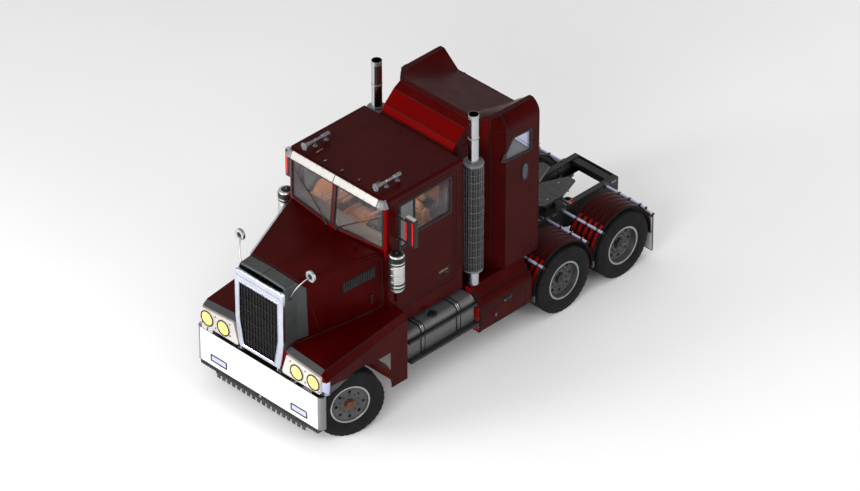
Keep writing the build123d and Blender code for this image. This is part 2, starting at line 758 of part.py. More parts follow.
# ================================================================ bumper and steps
STEP_TOP_Z = BUMPER_BOTTOM_Z
STEP_BOTTOM_Z = 362
STEP_HALF_GAP = 45
STEP_OUTER_X = 1170
STEP_DEPTH = 120
STEP_RIB_PITCH = 45
STEP_RIB_DEPTH = 10
COMB_HALF_WIDTH = 900
COMB_Y = -712
COMB_THICKNESS = 10
COMB_TOP_Z = 335
COMB_BOTTOM_Z = 245
COMB_PITCH = 100
COMB_TOOTH = 60
FOG_X = 800
FOG_Z = 565
FOG_WIDTH = 300
FOG_HEIGHT = 90
FOG_DEPTH = 40

with BuildPart() as bumper:
    with BuildSketch(Plane.XY.offset(BUMPER_BOTTOM_Z)):
        with Locations((0, FRONT_FACE_Y + BUMPER_WRAP)):
            Rectangle(2 * BUMPER_HALF_WIDTH, 2 * BUMPER_WRAP)
        fillet(vertices(), radius=BUMPER_CORNER_RADIUS)
        offset(amount=-BUMPER_THICKNESS, mode=Mode.SUBTRACT)
        with Locations((0, FRONT_FACE_Y + 1.5 * BUMPER_WRAP)):
            Rectangle(3 * BUMPER_HALF_WIDTH, BUMPER_WRAP, mode=Mode.SUBTRACT)
    extrude(amount=BUMPER_TOP_Z - BUMPER_BOTTOM_Z)
    with Locations((FOG_X, FRONT_FACE_Y, FOG_Z), (-FOG_X, FRONT_FACE_Y, FOG_Z)):
        Box(FOG_WIDTH, 4 * BUMPER_THICKNESS, FOG_HEIGHT, mode=Mode.SUBTRACT)
save("bumper", bumper.part)

with BuildPart() as fog_lamps:
    lamp_y = FRONT_FACE_Y + FOG_DEPTH / 2 + 2
    with Locations((FOG_X, lamp_y, FOG_Z), (-FOG_X, lamp_y, FOG_Z)):
        Box(FOG_WIDTH - 2 * SEAT_CLEARANCE, FOG_DEPTH, FOG_HEIGHT - 2 * SEAT_CLEARANCE)
save("fog_lamps", fog_lamps.part)

with BuildPart() as steps:
    block(
        STEP_HALF_GAP,
        STEP_OUTER_X,
        FRONT_FACE_Y,
        FRONT_FACE_Y + STEP_DEPTH,
        STEP_BOTTOM_Z,
        STEP_TOP_Z,
    )
    rib_count = int((STEP_OUTER_X - STEP_HALF_GAP) / STEP_RIB_PITCH)
    for rib in range(rib_count):
        x = STEP_HALF_GAP + (rib + 0.5) * STEP_RIB_PITCH
        cut_block(
            x - STEP_RIB_PITCH / 4,
            x + STEP_RIB_PITCH / 4,
            FRONT_FACE_Y - 1,
            FRONT_FACE_Y + STEP_RIB_DEPTH,
            STEP_BOTTOM_Z - 1,
            STEP_TOP_Z - 12,
        )
    # toothed bar under the step
    block(0, COMB_HALF_WIDTH, COMB_Y, COMB_Y + COMB_THICKNESS, COMB_TOP_Z - 35, COMB_TOP_Z)
    for tooth in range(int(COMB_HALF_WIDTH / COMB_PITCH)):
        x = (tooth + 0.5) * COMB_PITCH
        block(
            x - COMB_TOOTH / 2,
            x + COMB_TOOTH / 2,
            COMB_Y,
            COMB_Y + COMB_THICKNESS,
            COMB_BOTTOM_Z,
            COMB_TOP_Z - 30,
        )
    block(
        STEP_HALF_GAP,
        STEP_HALF_GAP + 60,
        COMB_Y,
        COMB_Y + COMB_THICKNESS,
        COMB_TOP_Z - 10,
        STEP_BOTTOM_Z,
    )
    block(
        COMB_HALF_WIDTH - 60,
        COMB_HALF_WIDTH,
        COMB_Y,
        COMB_Y + COMB_THICKNESS,
        COMB_TOP_Z - 10,
        STEP_BOTTOM_Z,
    )
    # running boards along the tanks
    for outer_x, top_z, depth, height in RUNNING_BOARDS:
        block(outer_x - depth, outer_x, TANK_FRONT_Y, TANK_REAR_Y, top_z - height, top_z)
    # their brackets, which stand on the tank's straps
    for bracket_y in TANK_STRAPS_Y:
        for outer_x, top_z, depth, height in RUNNING_BOARDS:
            block(
                TANK_OUTER_X - TANK_RADIUS / 2,
                outer_x - 10,
                bracket_y - STRAP_WIDTH / 2,
                bracket_y + STRAP_WIDTH / 2,
                top_z - height - 10,
                top_z - height + 4,
            )
    strap_reach = STRAP_THICKNESS + SEAT_CLEARANCE
    with BuildSketch(Plane.XZ.offset(-TANK_FRONT_Y)) as strap_outside:
        with Locations(((TANK_INNER_X + TANK_OUTER_X) / 2, (TANK_BOTTOM_Z + TANK_TOP_Z) / 2)):
            RectangleRounded(
                TANK_OUTER_X - TANK_INNER_X + 2 * strap_reach,
                TANK_TOP_Z - TANK_BOTTOM_Z + 2 * strap_reach,
                TANK_RADIUS + strap_reach,
            )
    extrude(strap_outside.sketch, amount=TANK_FRONT_Y - TANK_REAR_Y, mode=Mode.SUBTRACT)
    mirror(about=Plane.YZ)
save("steps", steps.part)

# ================================================================ tanks and boxes
with BuildPart() as fuel_tanks:
    tank_mid = ((TANK_INNER_X + TANK_OUTER_X) / 2, (TANK_BOTTOM_Z + TANK_TOP_Z) / 2)
    tank_size = (TANK_OUTER_X - TANK_INNER_X, TANK_TOP_Z - TANK_BOTTOM_Z)
    with BuildSketch(Plane.XZ.offset(-TANK_FRONT_Y)):
        with Locations(tank_mid):
            RectangleRounded(*tank_size, TANK_RADIUS)
    extrude(amount=-(TANK_REAR_Y - TANK_FRONT_Y))
    fillet(faces().filter_by(Axis.Y).edges(), radius=18)
    for strap_y in TANK_STRAPS_Y:
        with BuildSketch(Plane.XZ.offset(-strap_y + STRAP_WIDTH / 2)):
            with Locations(tank_mid):
                RectangleRounded(
                    tank_size[0] + 2 * STRAP_THICKNESS,
                    tank_size[1] + 2 * STRAP_THICKNESS,
                    TANK_RADIUS + STRAP_THICKNESS,
                )
        extrude(amount=-STRAP_WIDTH)
        # bracket to the rail
        block(
            RAIL_HALF_SPAN,
            TANK_INNER_X + 30,
            strap_y - STRAP_WIDTH,
            strap_y + STRAP_WIDTH,
            RAIL_BOTTOM_Z + 10,
            RAIL_TOP_Z - 30,
        )
    mirror(about=Plane.YZ)
save("fuel_tanks", fuel_tanks.part)

BOX_CORNER_RADIUS = 50
with BuildPart() as side_boxes:
    with BuildSketch(Plane.XZ.offset(-BOX_FRONT_Y)):
        with BuildLine():
            Polyline(
                (BOX_LEDGE[0], BOX_LEDGE[1]),
                (SLEEPER_HALF_WIDTH - 10, SLEEPER_BOTTOM_Z - SEAT_CLEARANCE),
                (RAIL_HALF_SPAN, SLEEPER_BOTTOM_Z - SEAT_CLEARANCE),
                (RAIL_HALF_SPAN, BOX_BOTTOM_Z),
                (BOX_OUTER_X - BOX_CORNER_RADIUS, BOX_BOTTOM_Z),
            )
            ThreePointArc(
                (BOX_OUTER_X - BOX_CORNER_RADIUS, BOX_BOTTOM_Z),
                (BOX_OUTER_X - BOX_CORNER_RADIUS * 0.293, BOX_BOTTOM_Z + BOX_CORNER_RADIUS * 0.293),
                (BOX_OUTER_X, BOX_BOTTOM_Z + BOX_CORNER_RADIUS),
            )
            Line((BOX_OUTER_X, BOX_BOTTOM_Z + BOX_CORNER_RADIUS), (BOX_OUTER_X, BOX_SHOULDER_Z))
            ThreePointArc(
                (BOX_OUTER_X, BOX_SHOULDER_Z),
                (BOX_OUTER_X - 22, BOX_SHOULDER_Z + 92),
                (BOX_LEDGE[0], BOX_LEDGE[1]),
            )
        make_face()
    extrude(amount=-(BOX_REAR_Y - BOX_FRONT_Y))
    mirror(about=Plane.YZ)
save("side_boxes", side_boxes.part)

# ================================================================ hood
CAB_SIDE_CLEAR_X = CAB_HALF_WIDTH + PANEL_GAP
NOSE_DROP = 150
NOSE_ROOM_X = 440
NOSE_ROOM_FRONT_Y = -620
NOSE_ROOM_REAR_Y = 700


def nose_face(row, inset):
    """Cross-section of the hood's upper body; a positive inset moves it inwards."""
    station, crease_x, crease_z, centre_z, base_x = row
    with BuildSketch(Plane.XZ.offset(-station)) as face:
        with BuildLine():
            Polyline(
                (-base_x, HOOD_BASE_Z),
                (-crease_x, crease_z),
                (0, centre_z),
                (crease_x, crease_z),
                (base_x, HOOD_BASE_Z),
                close=True,
            )
        make_face()
        fillet(vertices().sort_by(Axis.Y)[2:4], radius=HOOD_CREASE_RADIUS)
        if inset:
            offset(amount=-inset, mode=Mode.REPLACE)
    return face.sketch


def fender_face(row, inset):
    """Cross-section of the two fenders and the flat between them."""
    station, inner_x, inner_z, crease_z, lower_z = row
    with BuildSketch(Plane.XZ.offset(-station)) as face:
        with BuildLine():
            Polyline(
                (-FENDER_HALF_WIDTH, FENDER_EDGE_Z),
                (-FENDER_HALF_WIDTH, lower_z),
                (-FENDER_CREASE_X, crease_z),
                (-inner_x, inner_z),
                (inner_x, inner_z),
                (FENDER_CREASE_X, crease_z),
                (FENDER_HALF_WIDTH, lower_z),
                (FENDER_HALF_WIDTH, FENDER_EDGE_Z),
                close=True,
            )
        make_face()
        if inset:
            offset(amount=-inset, mode=Mode.REPLACE)
    return face.sketch


def rows_between(rows, inset):
    """The same stations with the end ones moved, so that an inset body pierces both ends."""
    if not inset:
        return rows
    first = (rows[0][0] - 20,) + rows[0][1:]
    last = (rows[-1][0] + 20,) + rows[-1][1:]
    return (first,) + rows[1:-1] + (last,)


def nose_body(inset=0):
    rows = rows_between(HOOD_SECTIONS, inset)
    with BuildPart() as body:
        loft([nose_face(row, inset) for row in rows], ruled=True)
    return body.part


def fender_plan(inset):
    """Plan outline of the front corners as a tall prism."""
    with BuildPart() as prism:
        with BuildSketch(Plane.XY.offset(HOOD_BASE_Z - 600)):
            front = FENDER_SECTIONS[0][0] + inset
            rear = FENDER_SECTIONS[-1][0] + 300
            half = FENDER_HALF_WIDTH - inset
            with Locations((0, (front + rear) / 2)):
                RectangleRounded(2 * half, rear - front, FENDER_CORNER_RADIUS - inset)
        extrude(amount=1200)
    return prism.part


def fender_body(inset=0):
    with BuildPart() as body:
        loft([fender_face(row, inset) for row in FENDER_SECTIONS], ruled=True)
        if inset:
            # opens the tail end and the floor
            block(
                -FENDER_HALF_WIDTH + inset,
                FENDER_HALF_WIDTH - inset,
                FENDER_SECTIONS[0][0],
                FENDER_SECTIONS[-1][0] + 1,
                FENDER_EDGE_Z - 1,
                FENDER_EDGE_Z + inset + 1,
            )
        add(fender_plan(inset), mode=Mode.INTERSECT)
    return body.part


with BuildPart() as shell_zone:
    with BuildSketch(Plane.YZ.offset(-FENDER_HALF_WIDTH)):
        with BuildLine():
            Polyline(*SHELL_JOINT, (-900, 1300), (-900, 2600), close=True)
        make_face()
    extrude(amount=2 * FENDER_HALF_WIDTH)

# everything behind the V-shaped cab front, with the panel gap
with BuildPart() as cab_zone:
    with BuildSketch(Plane.XY.offset(FENDER_TAIL_Z - 10)):
        with BuildLine():
            Polyline(
                (-CAB_SIDE_CLEAR_X, CAB_FRONT_Y - PANEL_GAP),
                (0, CAB_FRONT_Y - CAB_NOSE_AT_BELT - PANEL_GAP),
                (CAB_SIDE_CLEAR_X, CAB_FRONT_Y - PANEL_GAP),
                (CAB_SIDE_CLEAR_X, CAB_FRONT_Y + 800),
                (-CAB_SIDE_CLEAR_X, CAB_FRONT_Y + 800),
                close=True,
            )
        make_face()
    extrude(amount=2500)

GRILLE_OPENING_TOP_Z = 2130
GRILLE_OPENING_HALF_WIDTH = 377
GRILLE_KNEE_Z = 1525
GRILLE_OPENING_FOOT_Z = 1110
GRILLE_FOOT_HALF_WIDTH = 300
FRAME_TOP_Z = 2335
FRAME_HALF_WIDTH = 474
FRAME_FOOT_HALF_WIDTH = 396
FRAME_FOOT_Z = 1040
FRAME_FACE_Y = -720
FRAME_CORNER_RADIUS = 62


def grille_outline(half_width, foot_half_width, knee_z, foot_z, top_z, corner):
    """Front outline of the grille: straight sides that curve in below the knee."""
    middle = (half_width - (half_width - foot_half_width) * 0.32, (knee_z + foot_z) / 2)
    with BuildLine() as outline:
        Line((-half_width, top_z), (half_width, top_z))
        Line((half_width, top_z), (half_width, knee_z))
        ThreePointArc((half_width, knee_z), middle, (foot_half_width, foot_z))
        Line((foot_half_width, foot_z), (-foot_half_width, foot_z))
        ThreePointArc((-foot_half_width, foot_z), (-middle[0], middle[1]), (-half_width, knee_z))
        Line((-half_width, knee_z), (-half_width, top_z))
    make_face(outline.edges())
    fillet(vertices().group_by(Axis.Y)[-1], radius=corner)


FENDER_FRONT_Y = FENDER_SECTIONS[0][0]
TAIL_REAR_Y = FENDER_SECTIONS[-1][0]

nose_outside = nose_body()
nose_inside = nose_body(HOOD_WALL)
fender_outside = fender_body()
fender_inside = fender_body(HOOD_WALL)

with BuildPart() as hood:
    add(nose_outside)
    add(shell_zone.part, mode=Mode.SUBTRACT)
    add(fender_outside)
    # tail panels behind the wheels
    for side in (-1, 1):
        block(
            side * (FENDER_HALF_WIDTH - FENDER_TAIL_RETURN),
            side * FENDER_HALF_WIDTH,
            FENDER_TAIL_FRONT_Y,
            TAIL_REAR_Y,
            FENDER_TAIL_Z,
            FENDER_EDGE_Z + HOOD_WALL,
        )
    add(nose_inside, mode=Mode.SUBTRACT)
    add(fender_inside, mode=Mode.SUBTRACT)
    # hollow of the nose down into the fender body, and of the tail panels
    cut_block(
        -NOSE_ROOM_X,
        NOSE_ROOM_X,
        NOSE_ROOM_FRONT_Y,
        NOSE_ROOM_REAR_Y,
        HOOD_BASE_Z - NOSE_DROP,
        HOOD_BASE_Z + 60,
    )
    for side in (-1, 1):
        cut_block(
            side * (FENDER_HALF_WIDTH - FENDER_TAIL_RETURN - 1),
            side * (FENDER_HALF_WIDTH - HOOD_WALL),
            FENDER_TAIL_FRONT_Y - 1,
            TAIL_REAR_Y - HOOD_WALL,
            FENDER_TAIL_Z - 1,
            FENDER_EDGE_Z + HOOD_WALL + 1,
        )
    # grille opening in the front wall
    with BuildSketch(Plane.XZ.offset(-FENDER_FRONT_Y + 5)):
        grille_outline(
            GRILLE_OPENING_HALF_WIDTH,
            GRILLE_FOOT_HALF_WIDTH,
            GRILLE_KNEE_Z,
            GRILLE_OPENING_FOOT_Z,
            GRILLE_OPENING_TOP_Z,
            10,
        )
    extrude(amount=-60, mode=Mode.SUBTRACT)
    # wheel arches through the sides, then the liners inside them
    with BuildSketch(Plane.YZ.offset(-FENDER_HALF_WIDTH - 5)):
        with Locations((0, AXLE_Z)):
            Circle(ARCH_RADIUS)
    extrude(amount=2 * FENDER_HALF_WIDTH + 10, mode=Mode.SUBTRACT)
    for side in (-1, 1):
        with BuildSketch(Plane.YZ.offset(side * LINER_INNER_X)) as liner:
            with Locations((0, AXLE_Z)):
                Circle(LINER_RADIUS + HOOD_WALL)
                Circle(LINER_RADIUS, mode=Mode.SUBTRACT)
            with Locations((0, FENDER_EDGE_Z - 1000)):
                Rectangle(2000, 2000, align=(Align.MAX, Align.CENTER), mode=Mode.SUBTRACT)
            with Locations((0, FENDER_TAIL_Z + 100 - 1000)):
                Rectangle(2000, 2000, align=(Align.MIN, Align.CENTER), mode=Mode.SUBTRACT)
        extrude(
            liner.sketch,
            amount=side * (FENDER_HALF_WIDTH - HOOD_WALL / 2 - LINER_INNER_X),
        )
    add(cab_zone.part, mode=Mode.SUBTRACT)
save("hood", hood.part)

with BuildPart() as grille_shell:
    add(nose_outside)
    add(shell_zone.part, mode=Mode.INTERSECT)
    add(nose_inside, mode=Mode.SUBTRACT)
    add(fender_outside, mode=Mode.SUBTRACT)
save("grille_shell", grille_shell.part)

# ================================================================ grille and headlights
SHELL_BACK_Y = FENDER_FRONT_Y
BAR_PITCH = 58
BAR_WIDTH = 14
CROSS_BAR_PITCH = 170
CROSS_BAR_WIDTH = 10
BARS_FRONT_Y = -700
BARS_DEPTH = 14

GRILLE_GROOVE_Z = 2236
GRILLE_GROOVE_WIDTH = 10
with BuildPart() as grille_frame:
    with BuildSketch(Plane.XZ.offset(-SHELL_BACK_Y)):
        grille_outline(
            FRAME_HALF_WIDTH,
            FRAME_FOOT_HALF_WIDTH,
            GRILLE_KNEE_Z,
            FRAME_FOOT_Z,
            FRAME_TOP_Z,
            FRAME_CORNER_RADIUS,
        )
    extrude(amount=SHELL_BACK_Y - FRAME_FACE_Y)
    fillet(faces().sort_by(Axis.Y)[0].edges(), radius=14)
    with BuildSketch(Plane.XZ.offset(-SHELL_BACK_Y - 1)):
        grille_outline(
            GRILLE_OPENING_HALF_WIDTH,
            GRILLE_FOOT_HALF_WIDTH,
            GRILLE_KNEE_Z,
            GRILLE_OPENING_FOOT_Z,
            GRILLE_OPENING_TOP_Z,
            10,
        )
    extrude(amount=SHELL_BACK_Y - FRAME_FACE_Y + 2, mode=Mode.SUBTRACT)
    # groove between the two bands of the top bar
    cut_block(
        -FRAME_HALF_WIDTH,
        FRAME_HALF_WIDTH,
        FRAME_FACE_Y - 1,
        FRAME_FACE_Y + 10,
        GRILLE_GROOVE_Z,
        GRILLE_GROOVE_Z + GRILLE_GROOVE_WIDTH,
    )
    # lugs round the two pivot pins
    for side in (-1, 1):
        lug_x = side * (HORN_PLATE_X[0] - 12)
        block(
            lug_x,
            lug_x - side * LUG_THICKNESS,
            HOOD_PIVOT_Y - HOOD_LUG_RADIUS,
            HOOD_PIVOT_Y + HOOD_LUG_RADIUS,
            HOOD_PIVOT_Z,
            FRAME_FOOT_Z + 5,
        )
        rod(
            (lug_x, HOOD_PIVOT_Y, HOOD_PIVOT_Z),
            (lug_x - side * LUG_THICKNESS, HOOD_PIVOT_Y, HOOD_PIVOT_Z),
            HOOD_LUG_RADIUS,
        )
        rod(
            (lug_x + side * 5, HOOD_PIVOT_Y, HOOD_PIVOT_Z),
            (lug_x - side * (LUG_THICKNESS + 5), HOOD_PIVOT_Y, HOOD_PIVOT_Z),
            HOOD_PIN_RADIUS + PIN_CLEARANCE,
            mode=Mode.SUBTRACT,
        )
save("grille_frame", grille_frame.part)

with BuildPart() as grille_bars:
    with BuildSketch(Plane.XZ.offset(-BARS_FRONT_Y - BARS_DEPTH)) as bars:
        grille_outline(
            GRILLE_OPENING_HALF_WIDTH - SEAT_CLEARANCE,
            GRILLE_FOOT_HALF_WIDTH - SEAT_CLEARANCE,
            GRILLE_KNEE_Z,
            GRILLE_OPENING_FOOT_Z + SEAT_CLEARANCE,
            GRILLE_OPENING_TOP_Z - SEAT_CLEARANCE,
            10,
        )
        columns = int(2 * GRILLE_OPENING_HALF_WIDTH / BAR_PITCH) + 1
        levels = int((GRILLE_OPENING_TOP_Z - GRILLE_OPENING_FOOT_Z) / CROSS_BAR_PITCH) + 1
        middle_z = (GRILLE_OPENING_TOP_Z + GRILLE_OPENING_FOOT_Z) / 2
        with Locations((0, middle_z)):
            with GridLocations(BAR_PITCH, CROSS_BAR_PITCH, columns, levels):
                Rectangle(
                    BAR_PITCH - BAR_WIDTH, CROSS_BAR_PITCH - CROSS_BAR_WIDTH, mode=Mode.SUBTRACT
                )
    extrude(amount=BARS_DEPTH)
save("grille_bars", grille_bars.part)

LAMP_X = (730, 1056)
LAMP_Z = 1160
LAMP_RADIUS = 108
LAMP_RING_RADIUS = 130
LAMP_RING_THICKNESS = 8
BEZEL_FRONT_Y = -706
# bezel corners (x, z), from the grille's foot round to the fender
BEZEL_CORNERS = ((448, 1012), (440, 1060), (530, 1352), (1188, 1296), (1180, 1012))
BEZEL_RADIUS = 18

with BuildPart() as headlight_bezels:
    with BuildSketch(Plane.XZ.offset(-SHELL_BACK_Y)):
        with BuildLine():
            Polyline(*BEZEL_CORNERS, close=True)
        make_face()
        fillet(vertices(), radius=BEZEL_RADIUS)
    extrude(amount=SHELL_BACK_Y - BEZEL_FRONT_Y)
    with BuildSketch(Plane.XZ.offset(-BEZEL_FRONT_Y)):
        with Locations(*[(x, LAMP_Z) for x in LAMP_X]):
            Circle(LAMP_RING_RADIUS)
    extrude(amount=LAMP_RING_THICKNESS)
    with BuildSketch(Plane.XZ.offset(-SHELL_BACK_Y - 1)):
        with Locations(*[(x, LAMP_Z) for x in LAMP_X]):
            Circle(LAMP_RADIUS)
    extrude(amount=SHELL_BACK_Y - BEZEL_FRONT_Y + LAMP_RING_THICKNESS + 2, mode=Mode.SUBTRACT)
    add(grille_frame.part, mode=Mode.SUBTRACT)
    mirror(about=Plane.YZ)
save("headlight_bezels", headlight_bezels.part)

LENS_DEPTH = 34
LENS_EDGE_RADIUS = 12
with BuildPart() as headlight_lenses:
    for x in LAMP_X:
        rod(
            (x, SHELL_BACK_Y, LAMP_Z),
            (x, SHELL_BACK_Y - LENS_DEPTH, LAMP_Z),
            LAMP_RADIUS - SEAT_CLEARANCE,
        )
    fillet(edges().group_by(Axis.Y)[0], radius=LENS_EDGE_RADIUS)
    mirror(about=Plane.YZ)
save("headlight_lenses", headlight_lenses.part)

# round mirrors on curved stalks, standing on the sides of the grille shell
HOOD_MIRROR_BASE = (458, -554, 2190)
HOOD_MIRROR_KNEE = (560, -520, 2400)
HOOD_MIRROR_HEAD = (700, -370, 2600)
HOOD_MIRROR_RADIUS = 84
HOOD_MIRROR_DEPTH = 34
STALK_RADIUS = 8

with BuildPart() as hood_mirrors:
    with BuildLine() as stalk:
        ThreePointArc(HOOD_MIRROR_BASE, HOOD_MIRROR_KNEE, HOOD_MIRROR_HEAD)
    with BuildSketch(Plane(origin=stalk.line @ 0, z_dir=stalk.line % 0)):
        Circle(STALK_RADIUS)
    sweep(path=stalk.line)
    rod(
        (HOOD_MIRROR_HEAD[0], HOOD_MIRROR_HEAD[1] - HOOD_MIRROR_DEPTH, HOOD_MIRROR_HEAD[2]),
        (HOOD_MIRROR_HEAD[0], HOOD_MIRROR_HEAD[1] + 6, HOOD_MIRROR_HEAD[2]),
        HOOD_MIRROR_RADIUS,
    )
    add(nose_outside, mode=Mode.SUBTRACT)
    mirror(about=Plane.YZ)
save("hood_mirrors", hood_mirrors.part)

# ================================================================ cab
def cab_face(z, inset, nose_depth):
    """Plan of the cab at height z, with its shallow V front."""
    side = CAB_HALF_WIDTH - inset
    corner_y = CAB_FRONT_Y + inset
    with BuildSketch(Plane.XY.offset(z)) as face:
        with BuildLine():
            Polyline(
                (-side, CAB_REAR_Y - inset),
                (-side, corner_y),
                (0, corner_y - nose_depth),
                (side, corner_y),
                (side, CAB_REAR_Y - inset),
                close=True,
            )
        make_face()
        fillet(
            vertices().group_by(Axis.Y)[1],
            radius=CAB_CORNER_RADIUS - inset if inset < CAB_CORNER_RADIUS else 5,
        )
    return face.sketch


def cab_body(inset, floor_z):
    """The cab's outside (inset 0) or a parallel body inside it, standing on floor_z."""
    roof_z = CAB_ROOF_Z - inset
    slope = (CAB_NOSE_AT_BELT - CAB_NOSE_AT_ROOF) / (CAB_ROOF_Z - CAB_BELT_Z)
    nose_at_roof = CAB_NOSE_AT_ROOF + slope * inset
    with BuildPart() as body:
        loft(
            [
                cab_face(CAB_BELT_Z, inset, CAB_NOSE_AT_BELT),
                cab_face(roof_z, inset, nose_at_roof),
            ],
            ruled=True,
        )
        if not inset:
            fillet(body.faces().sort_by(Axis.Z)[-1].edges(), radius=CAB_ROOF_RADIUS)
        with BuildSketch(Plane.XY) as plan:
            add(cab_face(0, inset, CAB_NOSE_AT_BELT))
        extrude(plan.sketch.moved(Location((0, 0, floor_z))), amount=CAB_BELT_Z - floor_z)
    return body.part


def side_prism(corners, radius, inner_x, outer_x):
    """A prism along X on the left side, from its (y, z) corners."""
    with BuildPart() as prism:
        with BuildSketch(Plane.YZ.offset(inner_x)):
            with BuildLine():
                Polyline(*corners, close=True)
            make_face()
            fillet(vertices(), radius=radius)
        extrude(amount=outer_x - inner_x)
    return prism.part


def grown(corners_box, gap):
    """A (y0, y1, z0, z1) box of corners, grown by gap."""
    y0, y1, z0, z1 = corners_box
    return (
        (y0 - gap, z0 - gap),
        (y1 + gap, z0 - gap),
        (y1 + gap, z1 + gap),
        (y0 - gap, z1 + gap),
    )


DOOR_BOX = (DOOR_FRONT_Y, DOOR_REAR_Y, DOOR_BOTTOM_Z, DOOR_TOP_Z)
WINDOW_CORNERS = (
    (WINDOW_FRONT_Y, WINDOW_DIP_Z),
    (WINDOW_DIP_Y - 90, WINDOW_DIP_Z),
    (WINDOW_DIP_Y, WINDOW_BOTTOM_Z),
    (WINDOW_REAR_Y, WINDOW_BOTTOM_Z),
    (WINDOW_REAR_Y, WINDOW_TOP_Z),
    (WINDOW_FRONT_Y, WINDOW_TOP_Z),
)

cab_outside = cab_body(0, CAB_SILL_Z)
cab_inside = cab_body(CAB_WALL, FLOOR_Z)

with BuildPart() as shield_openings:
    with BuildSketch(Plane.XZ.offset(-CAB_FRONT_Y - 150)):
        with Locations(
            (
                (SHIELD_HALF_WIDTH + SHIELD_POST / 2) / 2,
                (SHIELD_BOTTOM_Z + SHIELD_TOP_Z) / 2,
            )
        ):
            RectangleRounded(
                SHIELD_HALF_WIDTH - SHIELD_POST / 2,
                SHIELD_TOP_Z - SHIELD_BOTTOM_Z,
                SHIELD_CORNER_RADIUS,
            )
    extrude(amount=400)
    mirror(about=Plane.YZ)

with BuildPart() as cab_shell:
    add(cab_outside)
    add(cab_inside, mode=Mode.SUBTRACT)
    # the open space under the floor, between the sills
    cut_block(
        -CAB_HALF_WIDTH + CAB_WALL,
        CAB_HALF_WIDTH - CAB_WALL,
        CAB_FRONT_Y - CAB_NOSE_AT_BELT - 1,
        CAB_REAR_Y + 1,
        CAB_SILL_Z - 1,
        FLOOR_Z - FLOOR_THICKNESS,
    )
    add(shield_openings.part, mode=Mode.SUBTRACT)
    for side in (1, -1):
        opening = side_prism(
            grown(DOOR_BOX, PANEL_GAP),
            DOOR_CORNER_RADIUS + PANEL_GAP,
            CAB_HALF_WIDTH - CAB_WALL - PANEL_GAP,
            CAB_HALF_WIDTH + 10,
        )
        add(facing(opening, side), mode=Mode.SUBTRACT)
    # way through to the sleeper
    cut_block(
        -DOORWAY_BACK_X,
        DOORWAY_BACK_X,
        CAB_REAR_Y - CAB_WALL - 1,
        CAB_REAR_Y + 1,
        FLOOR_Z,
        DOORWAY_TOP_Z,
    )
    # hinge lugs and pins of the doors
    for side in (1, -1):
        for hinge_z in HINGES_Z:
            low_lug_z = hinge_z - HINGE_LUG_GAP - HINGE_LUG_HEIGHT
            high_lug_z = hinge_z + HINGE_HEIGHT + HINGE_LUG_GAP
            for lug_z in (low_lug_z, high_lug_z):
                block(
                    side * (CAB_HALF_WIDTH - 5),
                    side * DOOR_HINGE_X,
                    DOOR_FRONT_Y - HINGE_LUG_BACK,
                    DOOR_FRONT_Y - HINGE_LUG_RADIUS / 2,
                    lug_z,
                    lug_z + HINGE_LUG_HEIGHT,
                )
                rod(
                    (side * DOOR_HINGE_X, DOOR_FRONT_Y, lug_z),
                    (side * DOOR_HINGE_X, DOOR_FRONT_Y, lug_z + HINGE_LUG_HEIGHT),
                    HINGE_LUG_RADIUS,
                )
            rod(
                (side * DOOR_HINGE_X, DOOR_FRONT_Y, low_lug_z),
                (side * DOOR_HINGE_X, DOOR_FRONT_Y, high_lug_z + HINGE_LUG_HEIGHT),
                HINGE_PIN_RADIUS,
            )
save("cab_shell", cab_shell.part)

# ================================================================ doors
GLASS_OUTER_X = CAB_HALF_WIDTH - GLASS_INSET

door_plate = side_prism(
    grown(DOOR_BOX, 0),
    DOOR_CORNER_RADIUS,
    CAB_HALF_WIDTH - CAB_WALL,
    CAB_HALF_WIDTH,
)
window_hole = side_prism(
    WINDOW_CORNERS, WINDOW_CORNER_RADIUS, CAB_HALF_WIDTH - 2 * CAB_WALL, CAB_HALF_WIDTH + 10
)

with BuildPart() as door:
    add(door_plate)
    add(window_hole, mode=Mode.SUBTRACT)
    # hinge leaves and barrels at the front edge
    for hinge_z in HINGES_Z:
        rod(
            (DOOR_HINGE_X, DOOR_FRONT_Y, hinge_z),
            (DOOR_HINGE_X, DOOR_FRONT_Y, hinge_z + HINGE_HEIGHT),
            HINGE_RADIUS,
        )
        block(
            CAB_HALF_WIDTH - 2,
            DOOR_HINGE_X,
            DOOR_FRONT_Y,
            DOOR_FRONT_Y + 60,
            hinge_z,
            hinge_z + HINGE_HEIGHT,
        )
        rod(
            (DOOR_HINGE_X, DOOR_FRONT_Y, hinge_z - 1),
            (DOOR_HINGE_X, DOOR_FRONT_Y, hinge_z + HINGE_HEIGHT + 1),
            HINGE_PIN_RADIUS + PIN_CLEARANCE,
            mode=Mode.SUBTRACT,
        )
    # recessed handle
    with Locations((CAB_HALF_WIDTH, HANDLE_Y, HANDLE_Z)):
        Box(24, HANDLE_LENGTH, HANDLE_HEIGHT, mode=Mode.SUBTRACT)
        Box(16, HANDLE_LENGTH + 2, HANDLE_HEIGHT / 4)

with BuildPart() as door_glass:
    add(window_hole)
    with Locations((GLASS_OUTER_X - GLASS_THICKNESS / 2, (WINDOW_FRONT_Y + WINDOW_REAR_Y) / 2, 2800)):
        Box(GLASS_THICKNESS, 3000, 3000, mode=Mode.INTERSECT)

